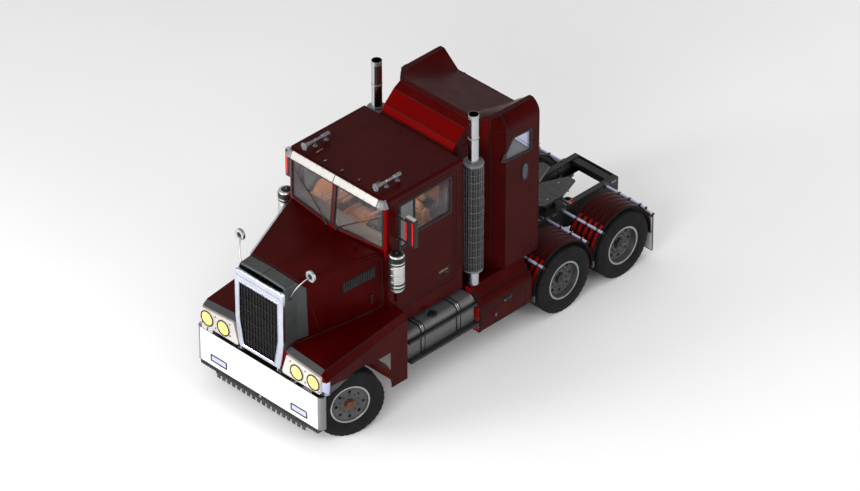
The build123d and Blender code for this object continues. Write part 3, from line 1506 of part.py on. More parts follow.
with BuildPart() as door_mirror:
    block(
        MIRROR_INNER_X,
        MIRROR_OUTER_X,
        MIRROR_Y,
        MIRROR_Y + MIRROR_DEPTH,
        MIRROR_BOTTOM_Z,
        MIRROR_TOP_Z,
    )
    fillet(edges().filter_by(Axis.Y), radius=28)
    fillet(faces().sort_by(Axis.Y)[0].edges(), radius=18)
    for arm_z in (MIRROR_BOTTOM_Z + 60, MIRROR_TOP_Z - 50):
        rod(
            (CAB_HALF_WIDTH, MIRROR_ARM_Y, arm_z),
            (MIRROR_INNER_X + 40, MIRROR_ARM_Y, arm_z),
            MIRROR_ARM_RADIUS,
        )
        rod(
            (MIRROR_INNER_X + 30, MIRROR_ARM_Y, arm_z),
            (MIRROR_INNER_X + 30, MIRROR_Y + 20, arm_z),
            MIRROR_ARM_RADIUS,
        )

for side, name in ((1, "left"), (-1, "right")):
    save(f"door_{name}", facing(door.part, side))
    save(f"door_glass_{name}", facing(door_glass.part, side))
    save(f"door_mirror_{name}", facing(door_mirror.part, side))

# ================================================================ sleeper
def sleeper_body(inset, bottom_z):
    """The sleeper's outside (inset 0) or a parallel body inside it."""
    with BuildPart() as body:
        with BuildSketch(Plane.XY.offset(bottom_z)):
            with BuildLine():
                Polyline(
                    (0, CAB_REAR_Y + SEAT_CLEARANCE + inset),
                    (SLEEPER_NECK_HALF_WIDTH - inset, CAB_REAR_Y + SEAT_CLEARANCE + inset),
                    (SLEEPER_NECK_HALF_WIDTH - inset, SLEEPER_NECK_Y + inset / 2),
                    (SLEEPER_CHEEK[0] - inset / 2, SLEEPER_CHEEK[1] + inset / 2),
                    (SLEEPER_HALF_WIDTH - inset, SLEEPER_SIDE_Y + inset / 2),
                    (SLEEPER_HALF_WIDTH - inset, SLEEPER_REAR_Y - inset),
                    (0, SLEEPER_REAR_Y - inset),
                    close=True,
                )
            make_face()
            mirror(about=Plane.YZ)
        extrude(amount=CREST_Z + 200 - bottom_z)
        # roof and fairing, seen from the side
        with BuildSketch(Plane.YZ.offset(-2 * SLEEPER_HALF_WIDTH)) as side_view:
            with BuildLine():
                Polyline(
                    (CAB_REAR_Y - 100, bottom_z),
                    (CAB_REAR_Y - 100 + inset, FAIRING_POINTS[0][1] - inset),
                    *((y + inset, z - inset) for y, z in FAIRING_POINTS),
                    (SLEEPER_REAR_Y + 100, CREST_Z - inset),
                    (SLEEPER_REAR_Y + 100, bottom_z),
                    close=True,
                )
            make_face()
        extrude(side_view.sketch, amount=4 * SLEEPER_HALF_WIDTH, mode=Mode.INTERSECT)
        # shoulders, seen from the front
        with BuildSketch(Plane.XZ.offset(-CAB_REAR_Y + 100)) as front_view:
            with BuildLine():
                half = SLEEPER_HALF_WIDTH - inset
                crest = (CREST_X - inset / 2, CREST_Z - inset)
                shoulder = (half, SHOULDER_Z - inset / 2)
                Line((-half, bottom_z), (half, bottom_z))
                Line((half, bottom_z), shoulder)
                ThreePointArc(
                    shoulder,
                    (half - 38, SHOULDER_Z + 120 - inset),
                    crest,
                )
                Line(crest, (-crest[0], crest[1]))
                ThreePointArc(
                    (-crest[0], crest[1]),
                    (-half + 38, SHOULDER_Z + 120 - inset),
                    (-half, SHOULDER_Z - inset / 2),
                )
                Line((-half, SHOULDER_Z - inset / 2), (-half, bottom_z))
            make_face()
        extrude(front_view.sketch, amount=-(SLEEPER_REAR_Y + 300 - CAB_REAR_Y), mode=Mode.INTERSECT)
    return body.part


def dish_face(station, depth):
    """Trapezoid that the roof's dish has at a station."""
    with BuildSketch(Plane.XZ.offset(-station)) as face:
        with BuildLine():
            Polyline(
                (-DISH_FLOOR_HALF_WIDTH, CREST_Z - depth),
                (DISH_FLOOR_HALF_WIDTH, CREST_Z - depth),
                (DISH_TOP_HALF_WIDTH, CREST_Z + 5),
                (-DISH_TOP_HALF_WIDTH, CREST_Z + 5),
                close=True,
            )
        make_face()
    return face.sketch


with BuildPart() as roof_dish:
    slope = DISH_DEPTH / (SLEEPER_REAR_Y - DISH_FRONT_Y)
    loft(
        [
            dish_face(DISH_FRONT_Y, 0),
            dish_face(SLEEPER_REAR_Y + 100, DISH_DEPTH + 100 * slope),
        ],
        ruled=True,
    )

bunk_window_hole = side_prism(
    BUNK_WINDOW, BUNK_WINDOW_RADIUS, SLEEPER_HALF_WIDTH - 2 * CAB_WALL, SLEEPER_HALF_WIDTH + 10
)
sleeper_outside = sleeper_body(0, SLEEPER_BOTTOM_Z)
sleeper_inside = sleeper_body(CAB_WALL, FLOOR_Z)

with BuildPart() as sleeper_shell:
    add(sleeper_outside)
    add(roof_dish.part, mode=Mode.SUBTRACT)
    with BuildPart(mode=Mode.PRIVATE) as room:
        add(sleeper_inside)
        with Locations((0, SLEEPER_SIDE_Y, SLEEPER_CEILING_Z - 2000)):
            Box(4000, 4000, 4000, mode=Mode.INTERSECT)
    add(room.part, mode=Mode.SUBTRACT)
    cut_block(
        -SLEEPER_NECK_HALF_WIDTH + CAB_WALL,
        SLEEPER_NECK_HALF_WIDTH - CAB_WALL,
        CAB_REAR_Y,
        SLEEPER_REAR_Y - CAB_WALL,
        SLEEPER_BOTTOM_Z - 1,
        FLOOR_Z - FLOOR_THICKNESS,
    )
    # way through to the cab
    cut_block(
        -DOORWAY_BACK_X,
        DOORWAY_BACK_X,
        CAB_REAR_Y - 1,
        CAB_REAR_Y + CAB_WALL + 2,
        FLOOR_Z,
        DOORWAY_TOP_Z,
    )
    for side in (1, -1):
        add(facing(bunk_window_hole, side), mode=Mode.SUBTRACT)
save("sleeper_shell", sleeper_shell.part)

# ================================================================ fixed glass
GLASS_BACK = GLASS_INSET + GLASS_THICKNESS
with BuildPart() as fixed_glass:
    with BuildPart(mode=Mode.PRIVATE) as shield:
        add(cab_body(GLASS_INSET, CAB_SILL_Z))
        add(cab_body(GLASS_BACK, CAB_SILL_Z - 1), mode=Mode.SUBTRACT)
        add(shield_openings.part, mode=Mode.INTERSECT)
    add(shield.part)
    with BuildPart(mode=Mode.PRIVATE) as bunk_pane:
        add(bunk_window_hole)
        with Locations((SLEEPER_HALF_WIDTH - GLASS_INSET - GLASS_THICKNESS / 2, SLEEPER_SIDE_Y, 3000)):
            Box(GLASS_THICKNESS, 3000, 3000, mode=Mode.INTERSECT)
    for side in (1, -1):
        add(facing(bunk_pane.part, side))
save("fixed_glass", fixed_glass.part)

# ================================================================ visor
with BuildPart() as visor:
    slant = Vector(VISOR_TOP[0] - VISOR_BOTTOM[0], VISOR_TOP[1] - VISOR_BOTTOM[1])
    across = Vector(slant.Y, -slant.X).normalized() * VISOR_THICKNESS
    with BuildSketch(Plane.YZ) as profile:
        with BuildLine():
            Polyline(
                VISOR_BOTTOM,
                VISOR_TOP,
                (VISOR_TOP[0] + across.X, VISOR_TOP[1] + across.Y),
                (VISOR_BOTTOM[0] + across.X, VISOR_BOTTOM[1] + across.Y),
                close=True,
            )
        make_face()
    extrude(profile.sketch, amount=VISOR_HALF_WIDTH)
    revolve(
        profile.sketch.moved(Location((VISOR_HALF_WIDTH, 0, 0))),
        axis=Axis((VISOR_HALF_WIDTH, VISOR_CAP_Y, 0), (0, 0, 1)),
        revolution_arc=VISOR_CAP_ARC,
    )
    # brackets back to the cab's front
    for bracket_x in (VISOR_HALF_WIDTH * 0.35, VISOR_HALF_WIDTH * 0.9):
        block(
            bracket_x - 12,
            bracket_x + 12,
            VISOR_TOP[0] - 18,
            CAB_FRONT_Y + 30,
            VISOR_TOP[1] - 70,
            VISOR_TOP[1] - 30,
        )
    mirror(about=Plane.YZ)
    add(cab_outside, mode=Mode.SUBTRACT)
save("visor", visor.part)

# ================================================================ horns, cleaners, stacks
HORN_NECK = 0.35
HORN_FEET = (0.45, 0.9)
with BuildPart() as horns:
    with BuildSketch(Plane.XY.offset(HORN_Z).move(Location((HORN_X, HORN_FRONT_Y, 0)))) as bell:
        with BuildLine():
            Polyline(
                (0, 0),
                (HORN_BELL_RADIUS, 0),
                (HORN_BELL_RADIUS * 0.62, HORN_LENGTH * 0.06),
                (HORN_PIPE_RADIUS, HORN_LENGTH * HORN_NECK),
                (HORN_PIPE_RADIUS, HORN_LENGTH * 0.72),
                (HORN_PIPE_RADIUS * 1.5, HORN_LENGTH * 0.74),
                (HORN_PIPE_RADIUS * 1.5, HORN_LENGTH),
                (0, HORN_LENGTH),
                close=True,
            )
        make_face()
    revolve(bell.sketch, axis=Axis((HORN_X, HORN_FRONT_Y, HORN_Z), (0, 1, 0)))
    for foot in HORN_FEET:
        foot_y = HORN_FRONT_Y + HORN_LENGTH * foot
        rod((HORN_X, foot_y, CAB_ROOF_Z), (HORN_X, foot_y, HORN_Z), HORN_PIPE_RADIUS * 0.6)
    mirror(about=Plane.YZ)
save("horns", horns.part)

CLEANER_BANDS_Z = (2010, 2070, 2420)
CLEANER_BAND_HEIGHT = 22
CLEANER_STEP = 4
CLEANER_FOOT_HEIGHT = 40


def cleaner_disc(low_z, high_z, radius):
    """A round slice of the left air cleaner."""
    rod((CLEANER_X, CLEANER_Y, low_z), (CLEANER_X, CLEANER_Y, high_z), radius)


with BuildPart() as air_cleaners:
    cleaner_disc(CLEANER_BOTTOM_Z + CLEANER_FOOT_HEIGHT, CLEANER_TOP_Z, CLEANER_RADIUS)
    cleaner_disc(CLEANER_BOTTOM_Z, CLEANER_BOTTOM_Z + CLEANER_FOOT_HEIGHT + 10, CLEANER_RADIUS * 0.8)
    cleaner_disc(CLEANER_TOP_Z - 5, CLEANER_TOP_Z + CLEANER_CAP_HEIGHT, CLEANER_RADIUS - CLEANER_STEP)
    fillet(edges().sort_by(Axis.Z)[-1], radius=22)
    for band_z in CLEANER_BANDS_Z:
        cleaner_disc(band_z, band_z + CLEANER_BAND_HEIGHT, CLEANER_RADIUS + CLEANER_STEP)
    # pad on the cab's side
    block(
        CAB_HALF_WIDTH,
        CLEANER_X,
        CAB_FRONT_Y + CAB_CORNER_RADIUS + 10,
        CAB_FRONT_Y + CAB_CORNER_RADIUS + 60,
        CLEANER_BOTTOM_Z + 180,
        CLEANER_BOTTOM_Z + 320,
    )
    mirror(about=Plane.YZ)
save("air_cleaners", air_cleaners.part)

CAGE_BARS = 12
CAGE_RINGS = 7
CAGE_BAR_WIDTH = 34
STUB_RADIUS = 92
STACK_BORE_DEPTH = 600
with BuildPart() as exhaust_stacks:
    rod((STACK_X, STACK_Y, SHIELD_LOW_Z), (STACK_X, STACK_Y, STACK_TOP_Z), STACK_RADIUS)
    rod((STACK_X, STACK_Y, SLEEPER_BOTTOM_Z), (STACK_X, STACK_Y, SHIELD_LOW_Z + 60), STUB_RADIUS)
    rod(
        (STACK_X, STACK_Y, STACK_TOP_Z - STACK_BORE_DEPTH),
        (STACK_X, STACK_Y, STACK_TOP_Z + 1),
        STACK_RADIUS - STACK_WALL,
        mode=Mode.SUBTRACT,
    )
    # bars and rings of the heat shield
    with BuildSketch(Plane.XY.offset(SHIELD_LOW_Z + 20)) as cage:
        with Locations((STACK_X, STACK_Y)):
            with PolarLocations(SHIELD_RADIUS - SHIELD_WALL / 2, CAGE_BARS):
                Rectangle(SHIELD_WALL, CAGE_BAR_WIDTH)
    extrude(cage.sketch, amount=SHIELD_HIGH_Z - SHIELD_LOW_Z - 40)
    ring_pitch = (SHIELD_HIGH_Z - SHIELD_LOW_Z - 80) / (CAGE_RINGS - 1)
    for ring in range(CAGE_RINGS):
        ring_z = SHIELD_LOW_Z + 30 + ring * ring_pitch
        with BuildSketch(Plane.XY.offset(ring_z)) as hoop:
            with Locations((STACK_X, STACK_Y)):
                Circle(SHIELD_RADIUS)
                Circle(SHIELD_RADIUS - SHIELD_WALL, mode=Mode.SUBTRACT)
        extrude(hoop.sketch, amount=20)
    # end rings that close the shield on to the pipe
    for end_z, thickness in ((SHIELD_LOW_Z, 70), (SHIELD_HIGH_Z - 70, 70)):
        with BuildSketch(Plane.XY.offset(end_z)) as collar:
            with Locations((STACK_X, STACK_Y)):
                Circle(SHIELD_RADIUS + 3)
                Circle(STACK_RADIUS - STACK_WALL / 2, mode=Mode.SUBTRACT)
        extrude(collar.sketch, amount=thickness)
    mirror(about=Plane.YZ)
save("exhaust_stacks", exhaust_stacks.part)

# ================================================================ drive fenders
with BuildPart() as drive_fenders:
    for axle_y in DRIVE_AXLES_Y:
        with BuildSketch(Plane.YZ.offset(DRIVE_FENDER_INNER_X)) as arc:
            with Locations((axle_y, AXLE_Z)):
                Circle(DRIVE_FENDER_RADIUS)
                Circle(DRIVE_FENDER_RADIUS - DRIVE_FENDER_THICKNESS, mode=Mode.SUBTRACT)
                Rectangle(
                    4 * DRIVE_FENDER_RADIUS,
                    2 * DRIVE_FENDER_RADIUS,
                    align=(Align.CENTER, Align.MAX),
                    mode=Mode.SUBTRACT,
                )
        extrude(arc.sketch, amount=DRIVE_FENDER_OUTER_X - DRIVE_FENDER_INNER_X)
        rib_pitch = (DRIVE_FENDER_OUTER_X - DRIVE_FENDER_INNER_X) / FENDER_RIBS
        for rib in range(FENDER_RIBS):
            rib_x = DRIVE_FENDER_INNER_X + (rib + 0.5) * rib_pitch
            with BuildSketch(Plane.YZ.offset(rib_x - rib_pitch / 4)) as raised:
                with Locations((axle_y, AXLE_Z)):
                    Circle(DRIVE_FENDER_RADIUS + FENDER_RIB_HEIGHT)
                    Circle(DRIVE_FENDER_RADIUS - 1, mode=Mode.SUBTRACT)
                    Rectangle(
                        4 * DRIVE_FENDER_RADIUS,
                        2 * DRIVE_FENDER_RADIUS,
                        align=(Align.CENTER, Align.MAX),
                        mode=Mode.SUBTRACT,
                    )
            extrude(raised.sketch, amount=rib_pitch / 2)
        # straight ends below the axle's height
        for end in (-1, 1):
            y = axle_y + end * (DRIVE_FENDER_RADIUS - DRIVE_FENDER_THICKNESS / 2)
            block(
                DRIVE_FENDER_INNER_X,
                DRIVE_FENDER_OUTER_X,
                y - DRIVE_FENDER_THICKNESS / 2,
                y + DRIVE_FENDER_THICKNESS / 2,
                FENDER_END_Z,
                AXLE_Z + 1,
            )
    mirror(about=Plane.YZ)
save("drive_fenders", drive_fenders.part)

BAR_REACH = DRIVE_FENDER_RADIUS + FENDER_RIB_HEIGHT + FENDER_BAR_RADIUS + SEAT_CLEARANCE
with BuildPart() as fender_bars:
    for axle_y in DRIVE_AXLES_Y:
        for end in (-1, 1):
            angle = math.radians(FENDER_BAR_ANGLE)
            bar_y = axle_y + end * BAR_REACH * math.sin(angle)
            bar_z = AXLE_Z + BAR_REACH * math.cos(angle)
            rod((RAIL_HALF_SPAN, bar_y, bar_z), (FENDER_BAR_OUTER_X, bar_y, bar_z), FENDER_BAR_RADIUS)
    mirror(about=Plane.YZ)
save("fender_bars", fender_bars.part)

HANGER_RADIUS = 18
with BuildPart() as mud_flaps:
    block(
        FLAP_INNER_X,
        FLAP_OUTER_X,
        FLAP_Y,
        FLAP_Y + FLAP_THICKNESS,
        FLAP_BOTTOM_Z,
        FLAP_TOP_Z + HANGER_RADIUS,
    )
    rod(
        (RAIL_HALF_SPAN, FLAP_Y + FLAP_THICKNESS / 2, FLAP_TOP_Z + HANGER_RADIUS),
        (FLAP_OUTER_X, FLAP_Y + FLAP_THICKNESS / 2, FLAP_TOP_Z + HANGER_RADIUS),
        HANGER_RADIUS,
    )
    mirror(about=Plane.YZ)
save("mud_flaps", mud_flaps.part)

# ================================================================ inside the cab
SEAT_X = 455
SEAT_FRONT_Y = 1420
SEAT_LENGTH = 520
SEAT_WIDTH = 520
SEAT_BASE_Z = 1860
SEAT_TOP_Z = 2010
SEAT_BACK_TOP_Z = 2800
SEAT_BACK_THICKNESS = 130
DASH_REAR_Y = 1180
DASH_BOTTOM_Z = 1950
DASH_TOP_Z = 2500
WHEEL_RADIUS = 225
WHEEL_RIM_RADIUS = 15
WHEEL_CENTRE = (SEAT_X, 1300, 2330)
WHEEL_TILT = 35

with BuildPart() as seats:
    block(SEAT_X - 170, SEAT_X + 170, SEAT_FRONT_Y + 80, SEAT_FRONT_Y + 440, FLOOR_Z, SEAT_BASE_Z)
    block(
        SEAT_X - SEAT_WIDTH / 2,
        SEAT_X + SEAT_WIDTH / 2,
        SEAT_FRONT_Y,
        SEAT_FRONT_Y + SEAT_LENGTH,
        SEAT_BASE_Z,
        SEAT_TOP_Z,
    )
    block(
        SEAT_X - SEAT_WIDTH / 2 + 20,
        SEAT_X + SEAT_WIDTH / 2 - 20,
        SEAT_FRONT_Y + SEAT_LENGTH - SEAT_BACK_THICKNESS,
        SEAT_FRONT_Y + SEAT_LENGTH,
        SEAT_TOP_Z,
        SEAT_BACK_TOP_Z,
    )
    fillet(edges().filter_by(Axis.Y).group_by(Axis.Z)[-1], radius=60)
    mirror(about=Plane.YZ)
save("seats", seats.part)

with BuildPart() as dashboard:
    with BuildSketch(Plane.YZ.offset(-CAB_HALF_WIDTH)) as dash_side:
        with BuildLine():
            Polyline(
                (CAB_FRONT_Y - CAB_NOSE_AT_BELT, DASH_BOTTOM_Z + 100),
                (DASH_REAR_Y - 120, DASH_BOTTOM_Z),
                (DASH_REAR_Y, DASH_TOP_Z - 180),
                (DASH_REAR_Y - 90, DASH_TOP_Z),
                (CAB_FRONT_Y - CAB_NOSE_AT_BELT, DASH_TOP_Z - 30),
                close=True,
            )
        make_face()
    extrude(dash_side.sketch, amount=2 * CAB_HALF_WIDTH)
    add(cab_body(CAB_WALL + SEAT_CLEARANCE, FLOOR_Z), mode=Mode.INTERSECT)
    # steering column and wheel
    tilt = math.radians(WHEEL_TILT)
    wheel_plane = Plane(
        origin=WHEEL_CENTRE, x_dir=(1, 0, 0), z_dir=(0, math.sin(tilt), math.cos(tilt))
    )
    rod((SEAT_X, DASH_REAR_Y - 80, DASH_TOP_Z - 380), WHEEL_CENTRE, 28)
    with BuildSketch(Plane(origin=WHEEL_CENTRE, x_dir=(1, 0, 0), z_dir=wheel_plane.y_dir)) as rim:
        with Locations((WHEEL_RADIUS, 0)):
            Circle(WHEEL_RIM_RADIUS)
    revolve(rim.sketch, axis=Axis(WHEEL_CENTRE, wheel_plane.z_dir))
    with BuildSketch(wheel_plane) as spokes:
        for angle in (0, 120, 240):
            with Locations(Rotation(0, 0, angle) * Location((0, -WHEEL_RADIUS / 2))):
                Rectangle(26, WHEEL_RADIUS)
        Circle(52)
    extrude(spokes.sketch, amount=8, both=True)
save("dashboard", dashboard.part)

BUNK_FRONT_Y = 2950
BUNK_TOP_Z = 2080
with BuildPart() as bunk:
    block(
        -SLEEPER_HALF_WIDTH + CAB_WALL + 10,
        SLEEPER_HALF_WIDTH - CAB_WALL - 10,
        BUNK_FRONT_Y + 200,
        SLEEPER_REAR_Y - CAB_WALL - SEAT_CLEARANCE,
        FLOOR_Z,
        BUNK_TOP_Z,
    )
    fillet(edges().filter_by(Axis.X).sort_by(Axis.Z)[-2:], radius=50)
save("bunk", bunk.part)

# ================================================================ fifth wheel
EAR_INNER_X = 250
EAR_THICKNESS = 45
EAR_GAP = 6
LUG_INNER_X = EAR_INNER_X - EAR_GAP - EAR_THICKNESS

with BuildPart() as fifth_wheel_base:
    block(
        -RAIL_HALF_SPAN,
        RAIL_HALF_SPAN,
        FIFTH_WHEEL_Y - 340,
        FIFTH_WHEEL_Y + 340,
        RAIL_TOP_Z,
        RAIL_TOP_Z + BASE_THICKNESS,
    )
    for side in (-1, 1):
        with BuildSketch(Plane.YZ.offset(side * EAR_INNER_X)) as ear:
            with BuildLine() as ear_outline:
                Polyline(
                    (FIFTH_WHEEL_Y - 150, RAIL_TOP_Z + BASE_THICKNESS - 1),
                    (FIFTH_WHEEL_Y + 150, RAIL_TOP_Z + BASE_THICKNESS - 1),
                    (FIFTH_WHEEL_Y + 50, FIFTH_WHEEL_PIVOT_Z),
                    (FIFTH_WHEEL_Y - 50, FIFTH_WHEEL_PIVOT_Z),
                    close=True,
                )
            make_face()
            with Locations((FIFTH_WHEEL_Y, FIFTH_WHEEL_PIVOT_Z)):
                Circle(50)
        extrude(ear.sketch, amount=side * EAR_THICKNESS)
        rod(
            (side * (LUG_INNER_X - 6), FIFTH_WHEEL_Y, FIFTH_WHEEL_PIVOT_Z),
            (side * (EAR_INNER_X + 5), FIFTH_WHEEL_Y, FIFTH_WHEEL_PIVOT_Z),
            FIFTH_WHEEL_PIN_RADIUS,
        )
save("fifth_wheel_base", fifth_wheel_base.part)

with BuildPart() as fifth_wheel_plate:
    with BuildSketch(Plane.XY.offset(FIFTH_WHEEL_TOP_Z - FIFTH_WHEEL_THICKNESS)):
        with BuildLine():
            Polyline(
                (-FIFTH_WHEEL_HALF_WIDTH, FIFTH_WHEEL_Y - FIFTH_WHEEL_FRONT + 160),
                (-FIFTH_WHEEL_HALF_WIDTH + 150, FIFTH_WHEEL_Y - FIFTH_WHEEL_FRONT),
                (FIFTH_WHEEL_HALF_WIDTH - 150, FIFTH_WHEEL_Y - FIFTH_WHEEL_FRONT),
                (FIFTH_WHEEL_HALF_WIDTH, FIFTH_WHEEL_Y - FIFTH_WHEEL_FRONT + 160),
                (FIFTH_WHEEL_HALF_WIDTH, FIFTH_WHEEL_Y + 120),
                (THROAT_HALF_WIDTH + 130, FIFTH_WHEEL_Y + FIFTH_WHEEL_REAR),
                (THROAT_HALF_WIDTH, FIFTH_WHEEL_Y + FIFTH_WHEEL_REAR),
                (KINGPIN_JAW_RADIUS, FIFTH_WHEEL_Y + 140),
                (KINGPIN_JAW_RADIUS, FIFTH_WHEEL_Y),
                (-KINGPIN_JAW_RADIUS, FIFTH_WHEEL_Y),
                (-KINGPIN_JAW_RADIUS, FIFTH_WHEEL_Y + 140),
                (-THROAT_HALF_WIDTH, FIFTH_WHEEL_Y + FIFTH_WHEEL_REAR),
                (-THROAT_HALF_WIDTH - 130, FIFTH_WHEEL_Y + FIFTH_WHEEL_REAR),
                (-FIFTH_WHEEL_HALF_WIDTH, FIFTH_WHEEL_Y + 120),
                close=True,
            )
        make_face()
        with Locations((0, FIFTH_WHEEL_Y)):
            Circle(KINGPIN_JAW_RADIUS, mode=Mode.SUBTRACT)
    extrude(amount=FIFTH_WHEEL_THICKNESS)
    # pivot lugs under the plate
    for side in (-1, 1):
        block(
            side * LUG_INNER_X,
            side * (LUG_INNER_X + EAR_THICKNESS),
            FIFTH_WHEEL_Y - 50,
            FIFTH_WHEEL_Y + 50,
            FIFTH_WHEEL_PIVOT_Z,
            FIFTH_WHEEL_TOP_Z - FIFTH_WHEEL_THICKNESS + 2,
        )
        rod(
            (side * LUG_INNER_X, FIFTH_WHEEL_Y, FIFTH_WHEEL_PIVOT_Z),
            (side * (LUG_INNER_X + EAR_THICKNESS), FIFTH_WHEEL_Y, FIFTH_WHEEL_PIVOT_Z),
            50,
        )
    rod(
        (-EAR_INNER_X, FIFTH_WHEEL_Y, FIFTH_WHEEL_PIVOT_Z),
        (EAR_INNER_X, FIFTH_WHEEL_Y, FIFTH_WHEEL_PIVOT_Z),
        FIFTH_WHEEL_PIN_RADIUS + PIN_CLEARANCE,
        mode=Mode.SUBTRACT,
    )
save("fifth_wheel_plate", fifth_wheel_plate.part)
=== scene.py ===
import math
import random

import bmesh
import bpy
from mathutils import Matrix, Vector, noise
from mathutils.bvhtree import BVHTree


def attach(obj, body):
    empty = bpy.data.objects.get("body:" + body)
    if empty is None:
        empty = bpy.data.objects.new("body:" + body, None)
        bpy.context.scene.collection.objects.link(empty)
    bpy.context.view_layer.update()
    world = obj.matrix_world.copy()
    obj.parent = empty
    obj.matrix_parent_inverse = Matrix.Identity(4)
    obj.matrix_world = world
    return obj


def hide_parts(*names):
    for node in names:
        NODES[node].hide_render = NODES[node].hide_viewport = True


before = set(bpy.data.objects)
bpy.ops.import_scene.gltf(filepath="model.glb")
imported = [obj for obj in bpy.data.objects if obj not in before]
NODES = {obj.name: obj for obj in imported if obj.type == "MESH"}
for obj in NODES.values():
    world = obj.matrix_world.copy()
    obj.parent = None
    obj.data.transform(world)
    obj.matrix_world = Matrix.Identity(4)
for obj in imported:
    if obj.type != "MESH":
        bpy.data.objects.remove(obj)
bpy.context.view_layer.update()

SCENE = bpy.context.scene
random.seed(7)

# the front axle's y in metres; stations are measured from it
AXLE_Y = -2.6275
# millimetres: the drive axles' stations, the wheels' height, the sleeper's rear wall and its flank
DRIVE_AXLES = (4090, 5300)
AXLE_HEIGHT = 520
REAR_WALL = 3720
FLANK_X = 1030

SIDES = ((1, "left"), (-1, "right"))
FRONT = (0, -1, 0)
BACK = (0, 1, 0)
UP = (0, 0, 1)


def st(station):
    """y of a station, in metres."""
    return station + AXLE_Y


def P(x, y, z):
    """A point given in millimetres, with y as a station from the front axle."""
    return Vector((x / 1000, st(y / 1000), z / 1000))


# ------------------------------------------------------------------ materials
class Graph:
    """A short way to lay nodes in one material."""

    def __init__(self, name):
        self.material = bpy.data.materials.new(name)
        self.material.use_nodes = True
        self.tree = self.material.node_tree
        self.shader = self.tree.nodes["Principled BSDF"]
        place = self.add("ShaderNodeTexCoord")
        self.coords = place.outputs["Object"]
        self.normals = place.outputs["Normal"]

    def add(self, kind, **values):
        node = self.tree.nodes.new(kind)
        for key, value in values.items():
            if hasattr(node, key):
                setattr(node, key, value)
            else:
                node.inputs[key.replace("_", " ")].default_value = value
        return node

    def link(self, a, b):
        self.tree.links.new(a, b)

    def noise(self, scale, detail=3.0, stretch=(1, 1, 1)):
        mapping = self.add("ShaderNodeMapping")
        mapping.inputs["Scale"].default_value = stretch
        self.link(self.coords, mapping.inputs["Vector"])
        node = self.add("ShaderNodeTexNoise", Scale=scale, Detail=detail, Roughness=0.5)
        self.link(mapping.outputs["Vector"], node.inputs["Vector"])
        return node.outputs["Fac"]

    def ramp(self, source, low, high, values=(0.0, 1.0)):
        node = self.add(
            "ShaderNodeMapRange", From_Min=low, From_Max=high, To_Min=values[0], To_Max=values[1]
        )
        self.link(source, node.inputs["Value"])
        return node.outputs["Result"]

    def mix(self, factor, a, b):
        node = self.add("ShaderNodeMix", data_type="RGBA", blend_type="MIX")
        for value, name in ((factor, "Factor"), (a, "A"), (b, "B")):
            socket = [s for s in node.inputs if s.name == name and s.enabled][0]
            if isinstance(value, bpy.types.NodeSocket):
                self.link(value, socket)
            elif name == "Factor":
                socket.default_value = value
            else:
                socket.default_value = (*value[:3], 1.0)
        return [s for s in node.outputs if s.enabled][0]

    def math(self, operation, a, b=0.0, clamp=False):
        node = self.add("ShaderNodeMath", operation=operation, use_clamp=clamp)
        for value, socket in ((a, node.inputs[0]), (b, node.inputs[1])):
            if isinstance(value, bpy.types.NodeSocket):
                self.link(value, socket)
            else:
                socket.default_value = value
        return node.outputs[0]

    def axis(self, name):
        node = self.add("ShaderNodeSeparateXYZ")
        self.link(self.coords, node.inputs[0])
        return node.outputs[name]

    def bump(self, height, strength, distance):
        node = self.add("ShaderNodeBump", Strength=strength, Distance=distance)
        self.link(height, node.inputs["Height"])
        self.link(node.outputs["Normal"], self.shader.inputs["Normal"])
        return node

    def edges(self, low=0.505, high=0.56):
        """Bright where the surface turns outward, such as along a worn edge."""
        return self.ramp(self.add("ShaderNodeNewGeometry").outputs["Pointiness"], low, high)

    def grime(self, top, bottom):
        """1 near the road, 0 above top."""
        height = self.ramp(self.axis("Z"), bottom, top, (1.0, 0.0))
        return self.math("MULTIPLY", height, self.ramp(self.noise(3.0, 6.0), 0.35, 0.7), clamp=True)

    def put(self, name, value):
        socket = self.shader.inputs[name]
        if isinstance(value, bpy.types.NodeSocket):
            self.link(value, socket)
        else:
            socket.default_value = value


DUST = (0.16, 0.135, 0.11)


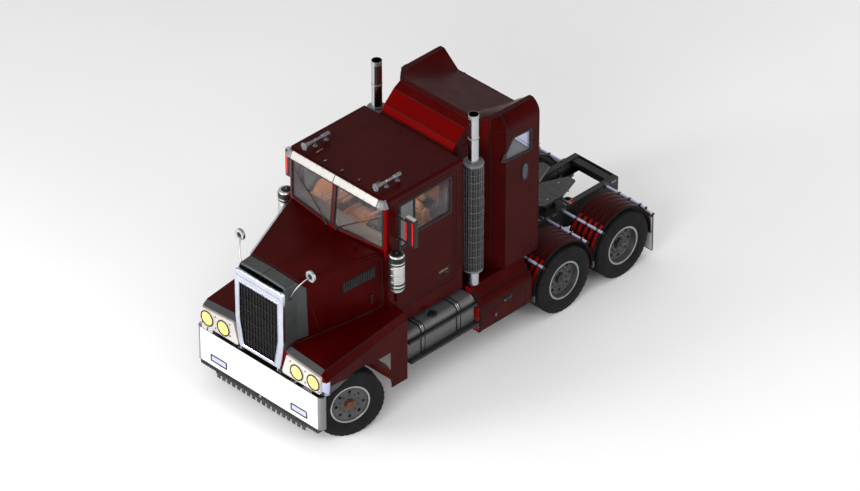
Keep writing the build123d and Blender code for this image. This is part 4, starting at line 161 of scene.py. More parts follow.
def coated(
    name, colour, roughness=0.3, coat=0.5, metallic=0.0, speckle=0.06, peel=0.15, wear=None, dirt=0.25,
    specular=0.4, sheen=(1.0, 1.0, 1.0), painted_front_light=None
):
    """Paint with slow colour drift, orange peel, worn edges, dust low down, and painted light:
    forward-facing faces brighter.
    """
    g = Graph(name)
    dark = tuple(c * (1 - speckle * 2) for c in colour)
    light = tuple(min(1.0, c * (1 + speckle * 2) + speckle * 0.01) for c in colour)
    base = g.mix(g.ramp(g.noise(1.7, 5.0), 0.35, 0.65), dark, light)
    if painted_front_light:
        # painted light: faces turned forward on the fairing and on the cab's front, high and low, are mixed
        # toward a brighter red
        split = g.add("ShaderNodeSeparateXYZ")
        g.link(g.normals, split.inputs[0])
        facing = g.ramp(split.outputs["Y"], -0.86, -0.42, (1.0, 0.0))
        height = g.axis("Z")
        inboard = g.ramp(g.math("ABSOLUTE", g.axis("X")), 0.84, 0.88, (1.0, 0.0))
        fairing = g.math("MULTIPLY", g.ramp(height, 3.2, 3.35), inboard)
        heights = g.math("MAXIMUM", g.ramp(height, 2.38, 2.45), g.ramp(height, 1.4, 1.5, (1.0, 0.0)))
        cab = g.math("MULTIPLY", heights, g.ramp(g.axis("Y"), st(1.0), st(1.2), (1.0, 0.0)))
        painted_light_zone = g.math("MAXIMUM", fairing, cab)
        base = g.mix(g.math("MULTIPLY", facing, painted_light_zone), base, painted_front_light)
    if wear:
        worn = g.math("MULTIPLY", g.edges(0.53, 0.6), g.ramp(g.noise(38.0, 6.0), 0.45, 0.62))
        base = g.mix(g.math("MULTIPLY", worn, 0.55), base, wear)
    if dirt:
        base = g.mix(g.math("MULTIPLY", g.grime(1.2, 0.1), dirt), base, DUST)
    g.put("Base Color", base)
    g.put("Roughness", g.ramp(g.noise(6.0, 6.0), 0.3, 0.75, (roughness * 0.8, roughness * 1.35)))
    g.put("Metallic", metallic)
    g.shader.inputs["Specular IOR Level"].default_value = specular
    g.shader.inputs["Specular Tint"].default_value = (*sheen, 1.0)
    g.shader.inputs["Coat Weight"].default_value = coat
    g.shader.inputs["Coat Roughness"].default_value = 0.06
    g.bump(g.noise(190.0, 2.0), peel, 0.0004)
    return g.material


def bright(name, colour, roughness=0.12, brushed=None, bump=0.08, smudge=0.1):
    """Bare or plated metal; brushed gives the stretch of its grain."""
    g = Graph(name)
    dull = tuple(c * 0.72 for c in colour)
    g.put("Base Color", g.mix(g.ramp(g.noise(4.0, 6.0), 0.3, 0.72), dull, colour))
    g.put("Metallic", 1.0)
    streak = g.noise(60.0, 4.0, brushed or (1, 1, 1))
    g.put("Roughness", g.ramp(streak, 0.25, 0.75, (roughness, roughness + smudge)))
    g.bump(streak, bump, 0.0006)
    return g.material


def moulded(name, colour, roughness=0.55, grain=420.0, bump=0.25, speckle=0.08, dirt=0.2):
    """Plastic or rubber with a fine grain and dust in it."""
    g = Graph(name)
    fine = g.noise(grain, 3.0)
    base = g.mix(
        g.ramp(g.noise(5.0, 5.0), 0.3, 0.7), tuple(c * (1 - speckle) for c in colour),
        tuple(min(1.0, c * (1 + speckle) + 0.004) for c in colour)
    )
    if dirt:
        base = g.mix(g.math("MULTIPLY", g.grime(1.1, 0.05), dirt), base, DUST)
    g.put("Base Color", base)
    g.put("Roughness", g.ramp(fine, 0.3, 0.7, (roughness * 0.85, min(1.0, roughness * 1.2))))
    g.shader.inputs["Specular IOR Level"].default_value = 0.25
    g.bump(fine, bump, 0.0006)
    return g.material


def clear(name, colour, alpha):
    """Thin tinted glass or a lens, seen through by its alpha."""
    g = Graph(name)
    smear = g.ramp(g.noise(2.2, 6.0, (1, 1, 2.5)), 0.4, 0.75)
    g.put("Base Color", g.mix(smear, colour, tuple(min(1.0, c * 1.25 + 0.02) for c in colour)))
    g.put("Roughness", g.ramp(g.noise(9.0, 5.0), 0.3, 0.8, (0.03, 0.09)))
    g.put("Alpha", g.math("ADD", g.math("MULTIPLY", smear, 0.08), alpha, clamp=True))
    g.put("Metallic", 0.0)
    g.shader.inputs["Coat Weight"].default_value = 0.6
    g.shader.inputs["Coat Roughness"].default_value = 0.02
    return g.material

# ------------------------------------------------------------------ colours and finishes
PAINT = (0.034, 0.0, 0.0)
# painted light: the last colour is the brighter red laid on forward-facing faces
paint = coated(
    "paint", PAINT, 0.32, 0.0, 0.0, 0.08, 0.06, None, 0.04, 0.09, (1.0, 0.2, 0.2), (0.16, 0.0, 0.0)
)
chassis_black = coated(
    "chassis_black", (0.01, 0.01, 0.011), 0.45, 0.05, 0.0, 0.2, 0.3, (0.06, 0.055, 0.05), 0.3, 0.3
)
satin_black = coated(
    "satin_black", (0.006, 0.006, 0.0065), 0.4, 0.08, 0.0, 0.15, 0.2, (0.04, 0.04, 0.04), 0.12, 0.3
)
shell_grey = coated("shell_grey", (0.034, 0.038, 0.039), 0.36, 0.1, 0.0, 0.06, 0.06, None, 0.05, 0.3)
visor_grey = coated("visor_grey", (0.43, 0.41, 0.38), 0.34, 0.2, 0.0, 0.05, 0.08, None, 0.05)
bumper_white = coated("bumper_white", (0.7, 0.7, 0.69), 0.24, 0.4, 0.0, 0.02, 0.06, None, 0.1, 0.3)
flap_white = moulded("flap_white", (0.66, 0.66, 0.65), 0.55, 300.0, 0.25, 0.04, 0.5)
chrome = bright("chrome", (0.66, 0.69, 0.78), 0.07)
chrome_lilac = bright("chrome_lilac", (0.62, 0.65, 0.86), 0.1)
pipe_steel = bright("pipe_steel", (0.46, 0.47, 0.48), 0.36, (1, 1, 0.15))
bar_lilac = coated("bar_lilac", (0.52, 0.55, 0.76), 0.22, 0.4, 0.15, 0.04, 0.05, None, 0.05)
stainless = bright("stainless", (0.62, 0.62, 0.61), 0.2, (1, 1, 22), 0.12)
cap_steel = coated("cap_steel", (0.16, 0.165, 0.17), 0.4, 0.1, 0.2, 0.05, 0.06, None, 0.05, 0.3)
tank_alloy = coated("tank_alloy", (0.095, 0.095, 0.098), 0.34, 0.1, 0.25, 0.06, 0.1, None, 0.1, 0.4)
horn_metal = coated("horn_metal", (0.16, 0.165, 0.17), 0.3, 0.2, 0.5, 0.06, 0.08, None, 0.05)
rim_grey = coated("rim_grey", (0.055, 0.055, 0.058), 0.36, 0.1, 0.1, 0.08, 0.1, None, 0.15, 0.35)
rim_bright = bright("rim_bright", (0.42, 0.43, 0.44), 0.28, (1, 1, 1), 0.1, 0.2)
hub_brown = bright("hub_brown", (0.2, 0.085, 0.045), 0.35)
wheel_nut = coated("wheel_nut", (0.1, 0.1, 0.105), 0.4, 0.1, 0.2, 0.08, 0.1, None, 0.1, 0.3)
nut_steel = bright("nut_steel", (0.4, 0.41, 0.42), 0.22)
cast_grey = coated("cast_grey", (0.06, 0.06, 0.062), 0.6, 0.0, 0.3, 0.15, 0.8, None, 0.2)
greased = coated("greased", (0.022, 0.021, 0.019), 0.32, 0.3, 0.2, 0.25, 0.5, None, 0.0, 0.4)
tyre_rubber = moulded("tyre_rubber", (0.0025, 0.0025, 0.003), 0.85, 260.0, 0.3, 0.2, 0.035)
black_rubber = moulded("black_rubber", (0.006, 0.006, 0.0062), 0.5, 500.0, 0.3, 0.2, 0.12)
black_plastic = moulded("black_plastic", (0.008, 0.008, 0.0085), 0.34, 600.0, 0.2, 0.2, 0.08)
dash_plastic = moulded("dash_plastic", (0.1, 0.085, 0.075), 0.55, 500.0, 0.3, 0.1, 0.0)
lens_yellow = coated("lens_yellow", (1.0, 0.72, 0.17), 0.12, 1.0, 0.0, 0.04, 0.05, None, 0.0)
lens_lilac = coated("lens_lilac", (0.55, 0.58, 0.86), 0.12, 1.0, 0.3, 0.04, 0.05, None, 0.0)
lens_amber = coated("lens_amber", (0.85, 0.22, 0.015), 0.16, 1.0, 0.0, 0.05, 0.05, None, 0.0)
lens_red = coated("lens_red", (0.55, 0.006, 0.006), 0.16, 1.0, 0.0, 0.05, 0.05, None, 0.0)
# bright red: painted light on the door mirrors' edges, and the real red of the belt buckle's button
lit_edge_and_buckle_red = coated("lit_edge_and_buckle_red", (0.75, 0.0, 0.0), 0.25, 0.6, 0.0, 0.03, 0.06, None, 0.0)
mirror_face = bright("mirror_face", (0.62, 0.62, 0.64), 0.03, None, 0.0, 0.03)
handle_tan = coated("handle_tan", (0.2, 0.085, 0.02), 0.3, 0.4, 0.4, 0.1, 0.1, None, 0.0)
glass = clear("glass", (0.2, 0.21, 0.23), 0.08)
seam_black = moulded("seam_black", (0.003, 0.001, 0.001), 0.7, 300.0, 0.1, 0.2, 0.0)
interior_tan = moulded("interior_tan", (0.5, 0.19, 0.035), 0.75, 350.0, 0.35, 0.1, 0.0)


def leather(name, colour):
    """Grained hide with darker pores and rubbed high places."""
    g = Graph(name)
    cells = g.add("ShaderNodeTexVoronoi", Scale=260.0, feature="DISTANCE_TO_EDGE")
    g.link(g.coords, cells.inputs["Vector"])
    grain = g.ramp(cells.outputs["Distance"], 0.0, 0.25)
    base = g.mix(grain, tuple(c * 0.6 for c in colour), colour)
    rubbed = g.ramp(g.noise(6.0, 4.0), 0.5, 0.8)
    g.put("Base Color", g.mix(rubbed, base, tuple(min(1.0, c * 1.3) for c in colour)))
    g.put("Roughness", g.ramp(grain, 0.0, 1.0, (0.7, 0.45)))
    g.bump(grain, 0.4, 0.0008)
    return g.material


def woven(name, colour, pitch=0.006):
    """Plain weave from two crossed waves."""
    g = Graph(name)
    strands = []
    for direction in ("X", "Y"):
        wave = g.add(
            "ShaderNodeTexWave", bands_direction=direction, Scale=1.0 / pitch / 3.0, Distortion=0.6
        )
        g.link(g.coords, wave.inputs["Vector"])
        strands.append(wave.outputs["Fac"])
    weave = g.math("MAXIMUM", *strands)
    g.put("Base Color", g.mix(weave, tuple(c * 0.55 for c in colour), colour))
    g.put("Roughness", g.ramp(weave, 0.0, 1.0, (0.95, 0.8)))
    g.shader.inputs["Sheen Weight"].default_value = 0.3
    g.bump(weave, 0.5, 0.001)
    return g.material


seat_leather = leather("seat_leather", (0.34, 0.15, 0.05))
bunk_cloth = woven("bunk_cloth", (0.34, 0.2, 0.1))

NODE_FINISH = {
    "frame": chassis_black, "front_axle": chassis_black, "suspension": chassis_black,
    "drive_axles": chassis_black, "propeller_shafts": cast_grey, "engine_block": cast_grey,
    "radiator": satin_black, "bumper": bumper_white, "fog_lamps": lens_lilac, "steps": satin_black,
    "fuel_tanks": tank_alloy, "side_boxes": paint, "cab_shell": paint, "sleeper_shell": paint,
    "fixed_glass": glass, "visor": visor_grey, "dashboard": dash_plastic, "horns": horn_metal,
    "air_cleaners": stainless, "exhaust_stacks": pipe_steel, "drive_fenders": paint,
    "fender_bars": bar_lilac, "mud_flaps": flap_white, "fifth_wheel_base": chassis_black,
    "fifth_wheel_plate": greased, "hood": paint, "grille_shell": shell_grey, "grille_frame": chrome,
    "grille_bars": seam_black, "headlight_bezels": visor_grey, "headlight_lenses": lens_yellow,
    "hood_mirrors": pipe_steel, "knuckle_left": chassis_black, "knuckle_right": chassis_black,
    "tie_rod": chassis_black
}
for side in ("left", "right"):
    NODE_FINISH[f"door_{side}"] = paint
    NODE_FINISH[f"door_glass_{side}"] = glass
    NODE_FINISH[f"door_mirror_{side}"] = black_plastic
    NODE_FINISH[f"rim_front_{side}"] = rim_grey
    NODE_FINISH[f"rims_drive_{side}_1"] = rim_grey
    NODE_FINISH[f"rims_drive_{side}_2"] = rim_grey

for node, material in NODE_FINISH.items():
    NODES[node].data.materials.clear()
    NODES[node].data.materials.append(material)

# ------------------------------------------------------------------ mesh helpers
def finish_mesh(name, bm, material, body="chassis", smooth=True, bevel=0.0, segments=2, angle=40):
    """Turns a bmesh into an object that rides on a body."""
    bmesh.ops.recalc_face_normals(bm, faces=bm.faces)
    mesh = bpy.data.meshes.new(name)
    bm.to_mesh(mesh)
    bm.free()
    for entry in material if isinstance(material, (list, tuple)) else [material]:
        mesh.materials.append(entry)
    piece = bpy.data.objects.new(name, mesh)
    SCENE.collection.objects.link(piece)
    if smooth:
        for face in mesh.polygons:
            face.use_smooth = True
        mesh.set_sharp_from_angle(angle=math.radians(angle))
    if bevel:
        rounding = piece.modifiers.new("bevel", "BEVEL")
        rounding.width = bevel
        rounding.segments = segments
        rounding.limit_method = "ANGLE"
        rounding.angle_limit = math.radians(35)
        rounding.harden_normals = True
    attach(piece, body)
    return piece


def thicken(piece, thickness, offset=-1):
    """Gives an open skin its thickness; offset 1 grows it outwards."""
    skin = piece.modifiers.new("skin", "SOLIDIFY")
    skin.thickness = thickness
    skin.offset = offset


def span(start, stop, count):
    """Evenly spaced numbers from start to stop, both included."""
    return [start + (stop - start) * i / (count - 1) for i in range(count)]


def skin_rows(bm, rows, wrap=False, material=0, loop=False):
    """Quads between neighbouring rows; wrap closes each row, loop joins the last row to the first."""
    pairs = list(zip(rows, rows[1:]))
    if loop:
        pairs.append((rows[-1], rows[0]))
    for a, b in pairs:
        for i in range(len(a) if wrap else len(a) - 1):
            j = (i + 1) % len(a)
            bm.faces.new([a[i], a[j], b[j], b[i]]).material_index = material


def add_box(bm, low, high, material=0, matrix=None):
    """A box between two corners, turned or moved by the matrix."""
    corners = [
        Vector((x, y, z)) for x in (low[0], high[0]) for y in (low[1], high[1]) for z in (low[2], high[2])
    ]
    if matrix:
        corners = [matrix @ c for c in corners]
    v = [bm.verts.new(c) for c in corners]
    for ids in ((0, 1, 3, 2), (4, 6, 7, 5), (0, 4, 5, 1), (2, 3, 7, 6), (0, 2, 6, 4), (1, 5, 7, 3)):
        bm.faces.new([v[i] for i in ids]).material_index = material


def add_turned(bm, profile, origin, axis, steps=24, material=0, closed=False):
    """Revolves (radius, along) points about an axis; radius 0 closes an end."""
    axis = Vector(axis).normalized()
    across = axis.orthogonal().normalized()
    up = axis.cross(across)
    rings = []
    for radius, along in profile:
        centre = Vector(origin) + axis * along
        if radius <= 1e-6:
            rings.append([bm.verts.new(centre)])
            continue
        rings.append(
            [
                bm.verts.new(
                    centre + across * radius * math.cos(
                        2 * math.pi * i / steps
                    ) + up * radius * math.sin(2 * math.pi * i / steps)
                ) for i in range(steps)
            ]
        )
    pairs = list(zip(rings, rings[1:]))
    if closed:
        pairs.append((rings[-1], rings[0]))
    for a, b in pairs:
        for i in range(steps):
            j = (i + 1) % steps
            ring = [a[i % len(a)], a[j % len(a)], b[j % len(b)], b[i % len(b)]]
            ring = list(dict.fromkeys(ring))
            if len(ring) > 2:
                bm.faces.new(ring).material_index = material


def add_tube(bm, points, radius, steps=10, material=0, closed=False):
    """Sweeps a round section along points."""
    points = [Vector(p) for p in points]
    count = len(points)
    rings = []
    guide = None
    for i, point in enumerate(points):
        before = points[i - 1] if i or closed else point
        after = points[(i + 1) % count] if i < count - 1 or closed else point
        tangent = (after - before).normalized()
        if guide is None:
            guide = tangent.orthogonal().normalized()
        guide = (guide - tangent * guide.dot(tangent)).normalized()
        other = tangent.cross(guide)
        size = radius[i] if isinstance(radius, (list, tuple)) else radius
        rings.append(
            [
                bm.verts.new(
                    point + guide * size * math.cos(
                        2 * math.pi * k / steps
                    ) + other * size * math.sin(2 * math.pi * k / steps)
                ) for k in range(steps)
            ]
        )
    skin_rows(bm, rings, True, material, closed)
    if not closed:
        bm.faces.new(rings[0]).material_index = material
        bm.faces.new(rings[-1]).material_index = material


def curve_points(knots, steps=8):
    """Smooth line through the knots."""
    knots = [Vector(k) for k in knots]
    ends = [knots[0] * 2 - knots[1], *knots, knots[-1] * 2 - knots[-2]]
    line = []
    for a, b, c, d in zip(ends, ends[1:], ends[2:], ends[3:]):
        for i in range(steps):
            t = i / steps
            line.append(
                0.5 * (
                    2 * b + (c - a) * t + (
                        2 * a - 5 * b + 4 * c - d
                    ) * t * t + (3 * b - a - 3 * c + d) * t * t * t
                )
            )
    line.append(knots[-1])
    return line


def add_bolt(bm, origin, axis, radius=0.011, height=0.009, material=0):
    """Hexagon head on a washer with a chamfered top."""
    axis = Vector(axis).normalized()
    add_turned(
        bm, [(0, -0.001), (radius * 1.5, -0.001), (radius * 1.5, 0.002), (0, 0.002)], origin, axis, 16,
        material
    )
    top = Vector(origin) + axis * 0.002
    add_turned(
        bm, [(radius, 0), (radius, height * 0.8), (radius * 0.86, height), (0, height)], top, axis, 6,
        material
    )


def rounded_rect(width, height, radius, steps=6):
    """Outline points of a rounded rectangle about the origin."""
    points = []
    for cx, cy, start in (
        (width / 2 - radius, height / 2 - radius, 0), (-width / 2 + radius, height / 2 - radius, 90),
        (-width / 2 + radius, -height / 2 + radius, 180), (width / 2 - radius, -height / 2 + radius, 270)
    ):
        for i in range(steps + 1):
            a = math.radians(start + 90 * i / steps)
            points.append((cx + radius * math.cos(a), cy + radius * math.sin(a)))
    return points


def upright_rect(x, y, z, *size):
    """A rounded rectangle that faces along the truck, round a point in millimetres."""
    return [P(x + a * 1000, y, z + b * 1000) for a, b in rounded_rect(*size)]


def round_corners(corners, radius, steps=5):
    """A polygon's corners rounded; corners are 2D points."""
    result = []
    count = len(corners)
    for i, corner in enumerate(corners):
        c = Vector(corner)
        a = (Vector(corners[i - 1]) - c).normalized()
        b = (Vector(corners[(i + 1) % count]) - c).normalized()
        half = math.acos(max(-1, min(1, a.dot(b)))) / 2
        reach = radius / math.tan(half)
        p, q = c + a * reach, c + b * reach
        for k in range(steps + 1):
            t = k / steps
            result.append(tuple((p * (1 - t) + c * t) * (1 - t) + (c * (1 - t) + q * t) * t))
    return result


def add_plate(bm, outline, lift, thickness, material=0):
    """A flat plate from a closed outline of 3D points, thickened along lift."""
    lift = Vector(lift).normalized() * thickness
    low = [bm.verts.new(Vector(p)) for p in outline]
    high = [bm.verts.new(Vector(p) + lift) for p in outline]
    bm.faces.new(low).material_index = material
    bm.faces.new(high).material_index = material
    for i in range(len(outline)):
        j = (i + 1) % len(outline)
        bm.faces.new([low[i], low[j], high[j], high[i]]).material_index = material


def new_mesh():
    return bmesh.new()

# ------------------------------------------------------------------ floor, light and camera
def stage():
    bm = new_mesh()
    bmesh.ops.create_grid(bm, x_segments=2, y_segments=2, size=140.0)
    mesh = bpy.data.meshes.new("floor")
    bm.to_mesh(mesh)
    bm.free()
    floor = bpy.data.objects.new("floor", mesh)
    SCENE.collection.objects.link(floor)
    g = Graph("floor")
    g.put(
        "Base Color", g.mix(g.ramp(g.noise(0.25, 3.0), 0.3, 0.7), (0.92, 0.92, 0.92), (0.95, 0.95, 0.945))
    )
    g.put("Roughness", 0.85)
    mesh.materials.append(g.material)

    world = bpy.data.worlds.new("studio")
    SCENE.world = world
    world.use_nodes = True
    background = world.node_tree.nodes["Background"]
    background.inputs["Color"].default_value = (1.0, 1.0, 1.0, 1.0)
    background.inputs["Strength"].default_value = 0.62

    for name, place, target, size, power, gloss in (
        ("key", (7.0, -13.0, 10.0), (0, -1.0, 1.5), 8.0, 1000, 1.0),
        ("front", (-6.0, -16.0, 4.0), (0, -1.5, 2.0), 7.0, 2300, 0.8),
        ("side", (14.0, 4.0, 6.0), (0, 1.0, 1.5), 7.0, 420, 0.6),
        ("rear", (5.0, 14.0, 8.0), (0, 2.0, 1.5), 8.0, 260, 0.5)
    ):
        data = bpy.data.lights.new(name, "AREA")
        data.shape = "DISK"
        data.size = size
        data.energy = power
        data.specular_factor = gloss
        lamp = bpy.data.objects.new(name, data)
        SCENE.collection.objects.link(lamp)
        lamp.location = place
        lamp.rotation_mode = "QUATERNION"
        lamp.rotation_quaternion = (Vector(target) - Vector(place)).to_track_quat("-Z", "Y")

    # warm cab lamps, so that the lining shows through the glass
    for name, place, power in (
        ("cab_lamp", (0.0, st(1.65), 3.2), 26), ("sleeper_lamp", (0.0, st(3.0), 3.2), 10)
    ):
        data = bpy.data.lights.new(name, "POINT")
        data.energy = power
        data.color = (1.0, 0.86, 0.68)
        data.shadow_soft_size = 0.15
        lamp = bpy.data.objects.new(name, data)
        SCENE.collection.objects.link(lamp)
        lamp.location = place

    camera = bpy.data.cameras.new("camera")
    camera.type = "PERSP"
    camera.lens = 250.0
    camera.sensor_width = 36.0
    camera.clip_start = 1.0
    camera.clip_end = 400.0
    holder = bpy.data.objects.new("camera", camera)
    SCENE.collection.objects.link(holder)
    azimuth, elevation = math.radians(45), math.radians(35.264)
    back = Vector(
        (
            math.sin(azimuth) * math.cos(elevation), -math.cos(azimuth) * math.cos(elevation),
            math.sin(elevation)
        )
    )
    target = Vector((0.0, st(2.60), 1.27))
    holder.location = target + back * 84.0
    holder.rotation_mode = "QUATERNION"
    holder.rotation_quaternion = (-back).to_track_quat("-Z", "Y")
    SCENE.camera = holder
    SCENE.view_settings.view_transform = "Standard"


stage()

# ------------------------------------------------------------------ tyres and wheels
TYRE_RADIUS = 0.5195
TREAD_STEPS = 144
WHEEL_NUTS = 10
VALVE_ANGLE = 0.35
STEER_AT_REST = -20  # degrees
KINGPIN_X = 860


def tyre_profile(half, tread):
    """Half of a tyre's section as (radius, offset from the middle), bead to crown."""
    return [
        (0.298, half * 0.70), (0.302, half * 0.86), (0.318, half * 0.90), (0.322, half * 0.905),
        (0.345, half * 0.955), (0.349, half * 0.975), (0.356, half * 0.975), (0.360, half * 0.965),
        (0.385, half * 0.99), (0.410, half * 1.0), (0.435, half * 0.985), (0.455, half * 0.955),
        (0.470, half * 0.925), (0.476, half * 0.915), (0.490, half * 0.90), (tread - 0.010, half * 0.875),
        (tread - 0.002, half * 0.835)
    ]


def wheel_turn(axis):
    """The unit axis of a wheel and a function from an angle to the direction outward."""
    axis = Vector(axis).normalized()
    along = axis.cross(Vector(UP)).normalized()
    return axis, lambda angle: along * math.cos(angle) + Vector(UP) * math.sin(angle)


def add_tyre(bm, centre, axis, width, twist=0.0):
    """One radial tyre with ribs, grooves and notched shoulders."""
    half = width / 2
    tread = TYRE_RADIUS
    side_line = tyre_profile(half, tread)
    groove = 0.014
    crown = [
        (tread, 0.80 * half), (tread + 0.0005, 0.51 * half), (tread - groove, 0.495 * half),
        (tread - groove, 0.435 * half), (tread + 0.0005, 0.42 * half), (tread + 0.0005, 0.19 * half),
        (tread - groove, 0.175 * half), (tread - groove, 0.115 * half), (tread + 0.0005, 0.10 * half)
    ]
    line = side_line + crown
    line = line + [(r, -a) for r, a in reversed(line)]
    inner = [(0.292, -half * 0.62), (0.292, half * 0.62)]
    line = line + inner
    axis, outward = wheel_turn(axis)
    steps = TREAD_STEPS
    rings = []
    for i in range(steps):
        angle = 2 * math.pi * (i + twist) / steps
        direction = outward(angle)
        notch = i % 4 == 0
        ring = []
        for radius, offset in line:
            share = abs(offset) / half
            r = radius
            if notch and 0.78 < share < 0.93 and radius > tread - 0.045:
                r = radius - 0.009
            if i % 2 == 0 and radius > tread - 0.001 and share < 0.45:
                r = radius - 0.003
            under_tread = 0.45 < radius < tread - 0.01 and share < 0.5
            shift = 0.004 * math.sin(angle * 36) if under_tread else 0.0
            ring.append(bm.verts.new(Vector(centre) + direction * r + axis * (offset + shift)))
        rings.append(ring)
    skin_rows(bm, rings, True, 0, True)


def add_wheel_fittings(bm, face, axis, circle):
    """Wheel nuts with their washers and studs, in a circle on a wheel disc."""
    axis, outward = wheel_turn(axis)
    for i in range(WHEEL_NUTS):
        angle = 2 * math.pi * (i + 0.5) / WHEEL_NUTS
        spot = Vector(face) + outward(angle) * circle
        add_turned(bm, [(0, 0), (0.024, 0), (0.024, 0.004), (0.0, 0.004)], spot, axis, 16, 1)
        add_turned(bm, [(0.0165, 0.004), (0.0165, 0.024), (0.013, 0.028), (0, 0.028)], spot, axis, 6, 1)
        add_turned(bm, [(0.008, 0.028), (0.008, 0.042), (0, 0.044)], spot, axis, 8, 1)


def add_disc_dressing(bm, hub, axis, disc, lip, cap_material):
    """Lip, hand-hole rims, nuts, hub and valve of one wheel, all along its axis."""
    axis, outward = wheel_turn(axis)
    hub = Vector(hub)
    # rolled lip and the bright barrel inside it
    add_turned(
        bm,
        [
            (0.2734, disc + 0.004), (0.2730, lip - 0.004), (0.2775, lip + 0.0022), (0.2900, lip + 0.0030),
            (0.3005, lip + 0.0012), (0.3022, lip - 0.0030), (0.3022, lip - 0.0085), (0.2990, lip - 0.0085),
            (0.2990, lip - 0.0005), (0.2762, lip - 0.0005), (0.2739, lip - 0.010), (0.2739, disc + 0.004)
        ], hub, axis, 96, closed=True
    )
    # pressed steps of the disc
    ridge = [(0.236, disc - 0.001), (0.243, disc + 0.005), (0.251, disc + 0.005), (0.258, disc - 0.001)]
    add_turned(bm, ridge, hub, axis, 72, 3, closed=True)
    for i in range(8):
        angle = 2 * math.pi * i / 8
        spot = hub + outward(angle) * 0.205
        add_turned(
            bm,
            [
                (0.0236, disc - 0.012), (0.0236, disc + 0.001), (0.0250, disc + 0.0035),
                (0.0275, disc + 0.003), (0.0290, disc - 0.001), (0.0270, disc - 0.012)
            ], spot, axis, 24, 3, closed=True
        )
    add_wheel_fittings(bm, hub + axis * disc, axis, 0.1425)
    # hub flange, cap and its bolts
    add_turned(
        bm,
        [
            (0.0, disc + 0.041), (0.020, disc + 0.041), (0.024, disc + 0.0388), (0.052, disc + 0.0388),
            (0.0632, disc + 0.036), (0.0650, disc + 0.0205), (0.0800, disc + 0.0205),
            (0.0830, disc + 0.016), (0.0830, disc + 0.002), (0.0950, disc + 0.0005), (0.0, disc + 0.0005)
        ], hub, axis, 48, cap_material
    )
    for i in range(6):
        angle = 2 * math.pi * (i + 0.5) / 6
        spot = hub + outward(angle) * 0.042 + axis * (disc + 0.038)
        add_bolt(bm, spot, axis, 0.0055, 0.006, 1)
    # valve stem that points into the open side
    base = hub + outward(VALVE_ANGLE) * 0.262 + axis * (disc + 0.001)
    tip = base - outward(VALVE_ANGLE) * 0.02 + axis * 0.045
    add_tube(bm, [base, base + axis * 0.02, tip], 0.0045, 8, 2)


def dress_wheels():
    """Treads and trim; at rest the front wheels stand steered, as in the photo."""
    turn = math.radians(STEER_AT_REST)
    for side, name in SIDES:
        pin = P(side * KINGPIN_X, 0, AXLE_HEIGHT)
        axis = Vector((side * math.cos(turn), side * math.sin(turn), 0))
        bm = new_mesh()
        add_tyre(bm, pin + axis * 0.200, axis, 0.279)
        tyre = finish_mesh(f"tread_front_{name}", bm, tyre_rubber, f"wheel_front_{name}", angle=28)
        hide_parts(f"tyre_front_{name}")
        bm = new_mesh()
        add_disc_dressing(bm, pin, axis, 0.296, 0.314, 4)
        finish_mesh(
            f"wheel_trim_front_{name}", bm, [rim_bright, wheel_nut, black_rubber, rim_grey, hub_brown],
            f"wheel_front_{name}", angle=32
        )
        for number, station in enumerate(DRIVE_AXLES, start=1):
            hub = P(0, station, AXLE_HEIGHT)
            axis = Vector((side, 0, 0))
            body = f"wheels_drive_{name}_{number}"
            bm = new_mesh()
            add_tyre(bm, hub + axis * 1.085, axis, 0.269)
            add_tyre(bm, hub + axis * 0.755, axis, 0.269, 0.5)
            tyre = finish_mesh(f"tread_drive_{name}_{number}", bm, tyre_rubber, body, angle=28)
            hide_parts(f"tyres_drive_{name}_{number}")
            bm = new_mesh()
            add_disc_dressing(bm, hub, axis, 1.105, 1.199, 4)
            finish_mesh(
                f"wheel_trim_drive_{name}_{number}", bm,
                [rim_bright, wheel_nut, black_rubber, rim_grey, satin_black], body, angle=32
            )


dress_wheels()

# ------------------------------------------------------------------ front end


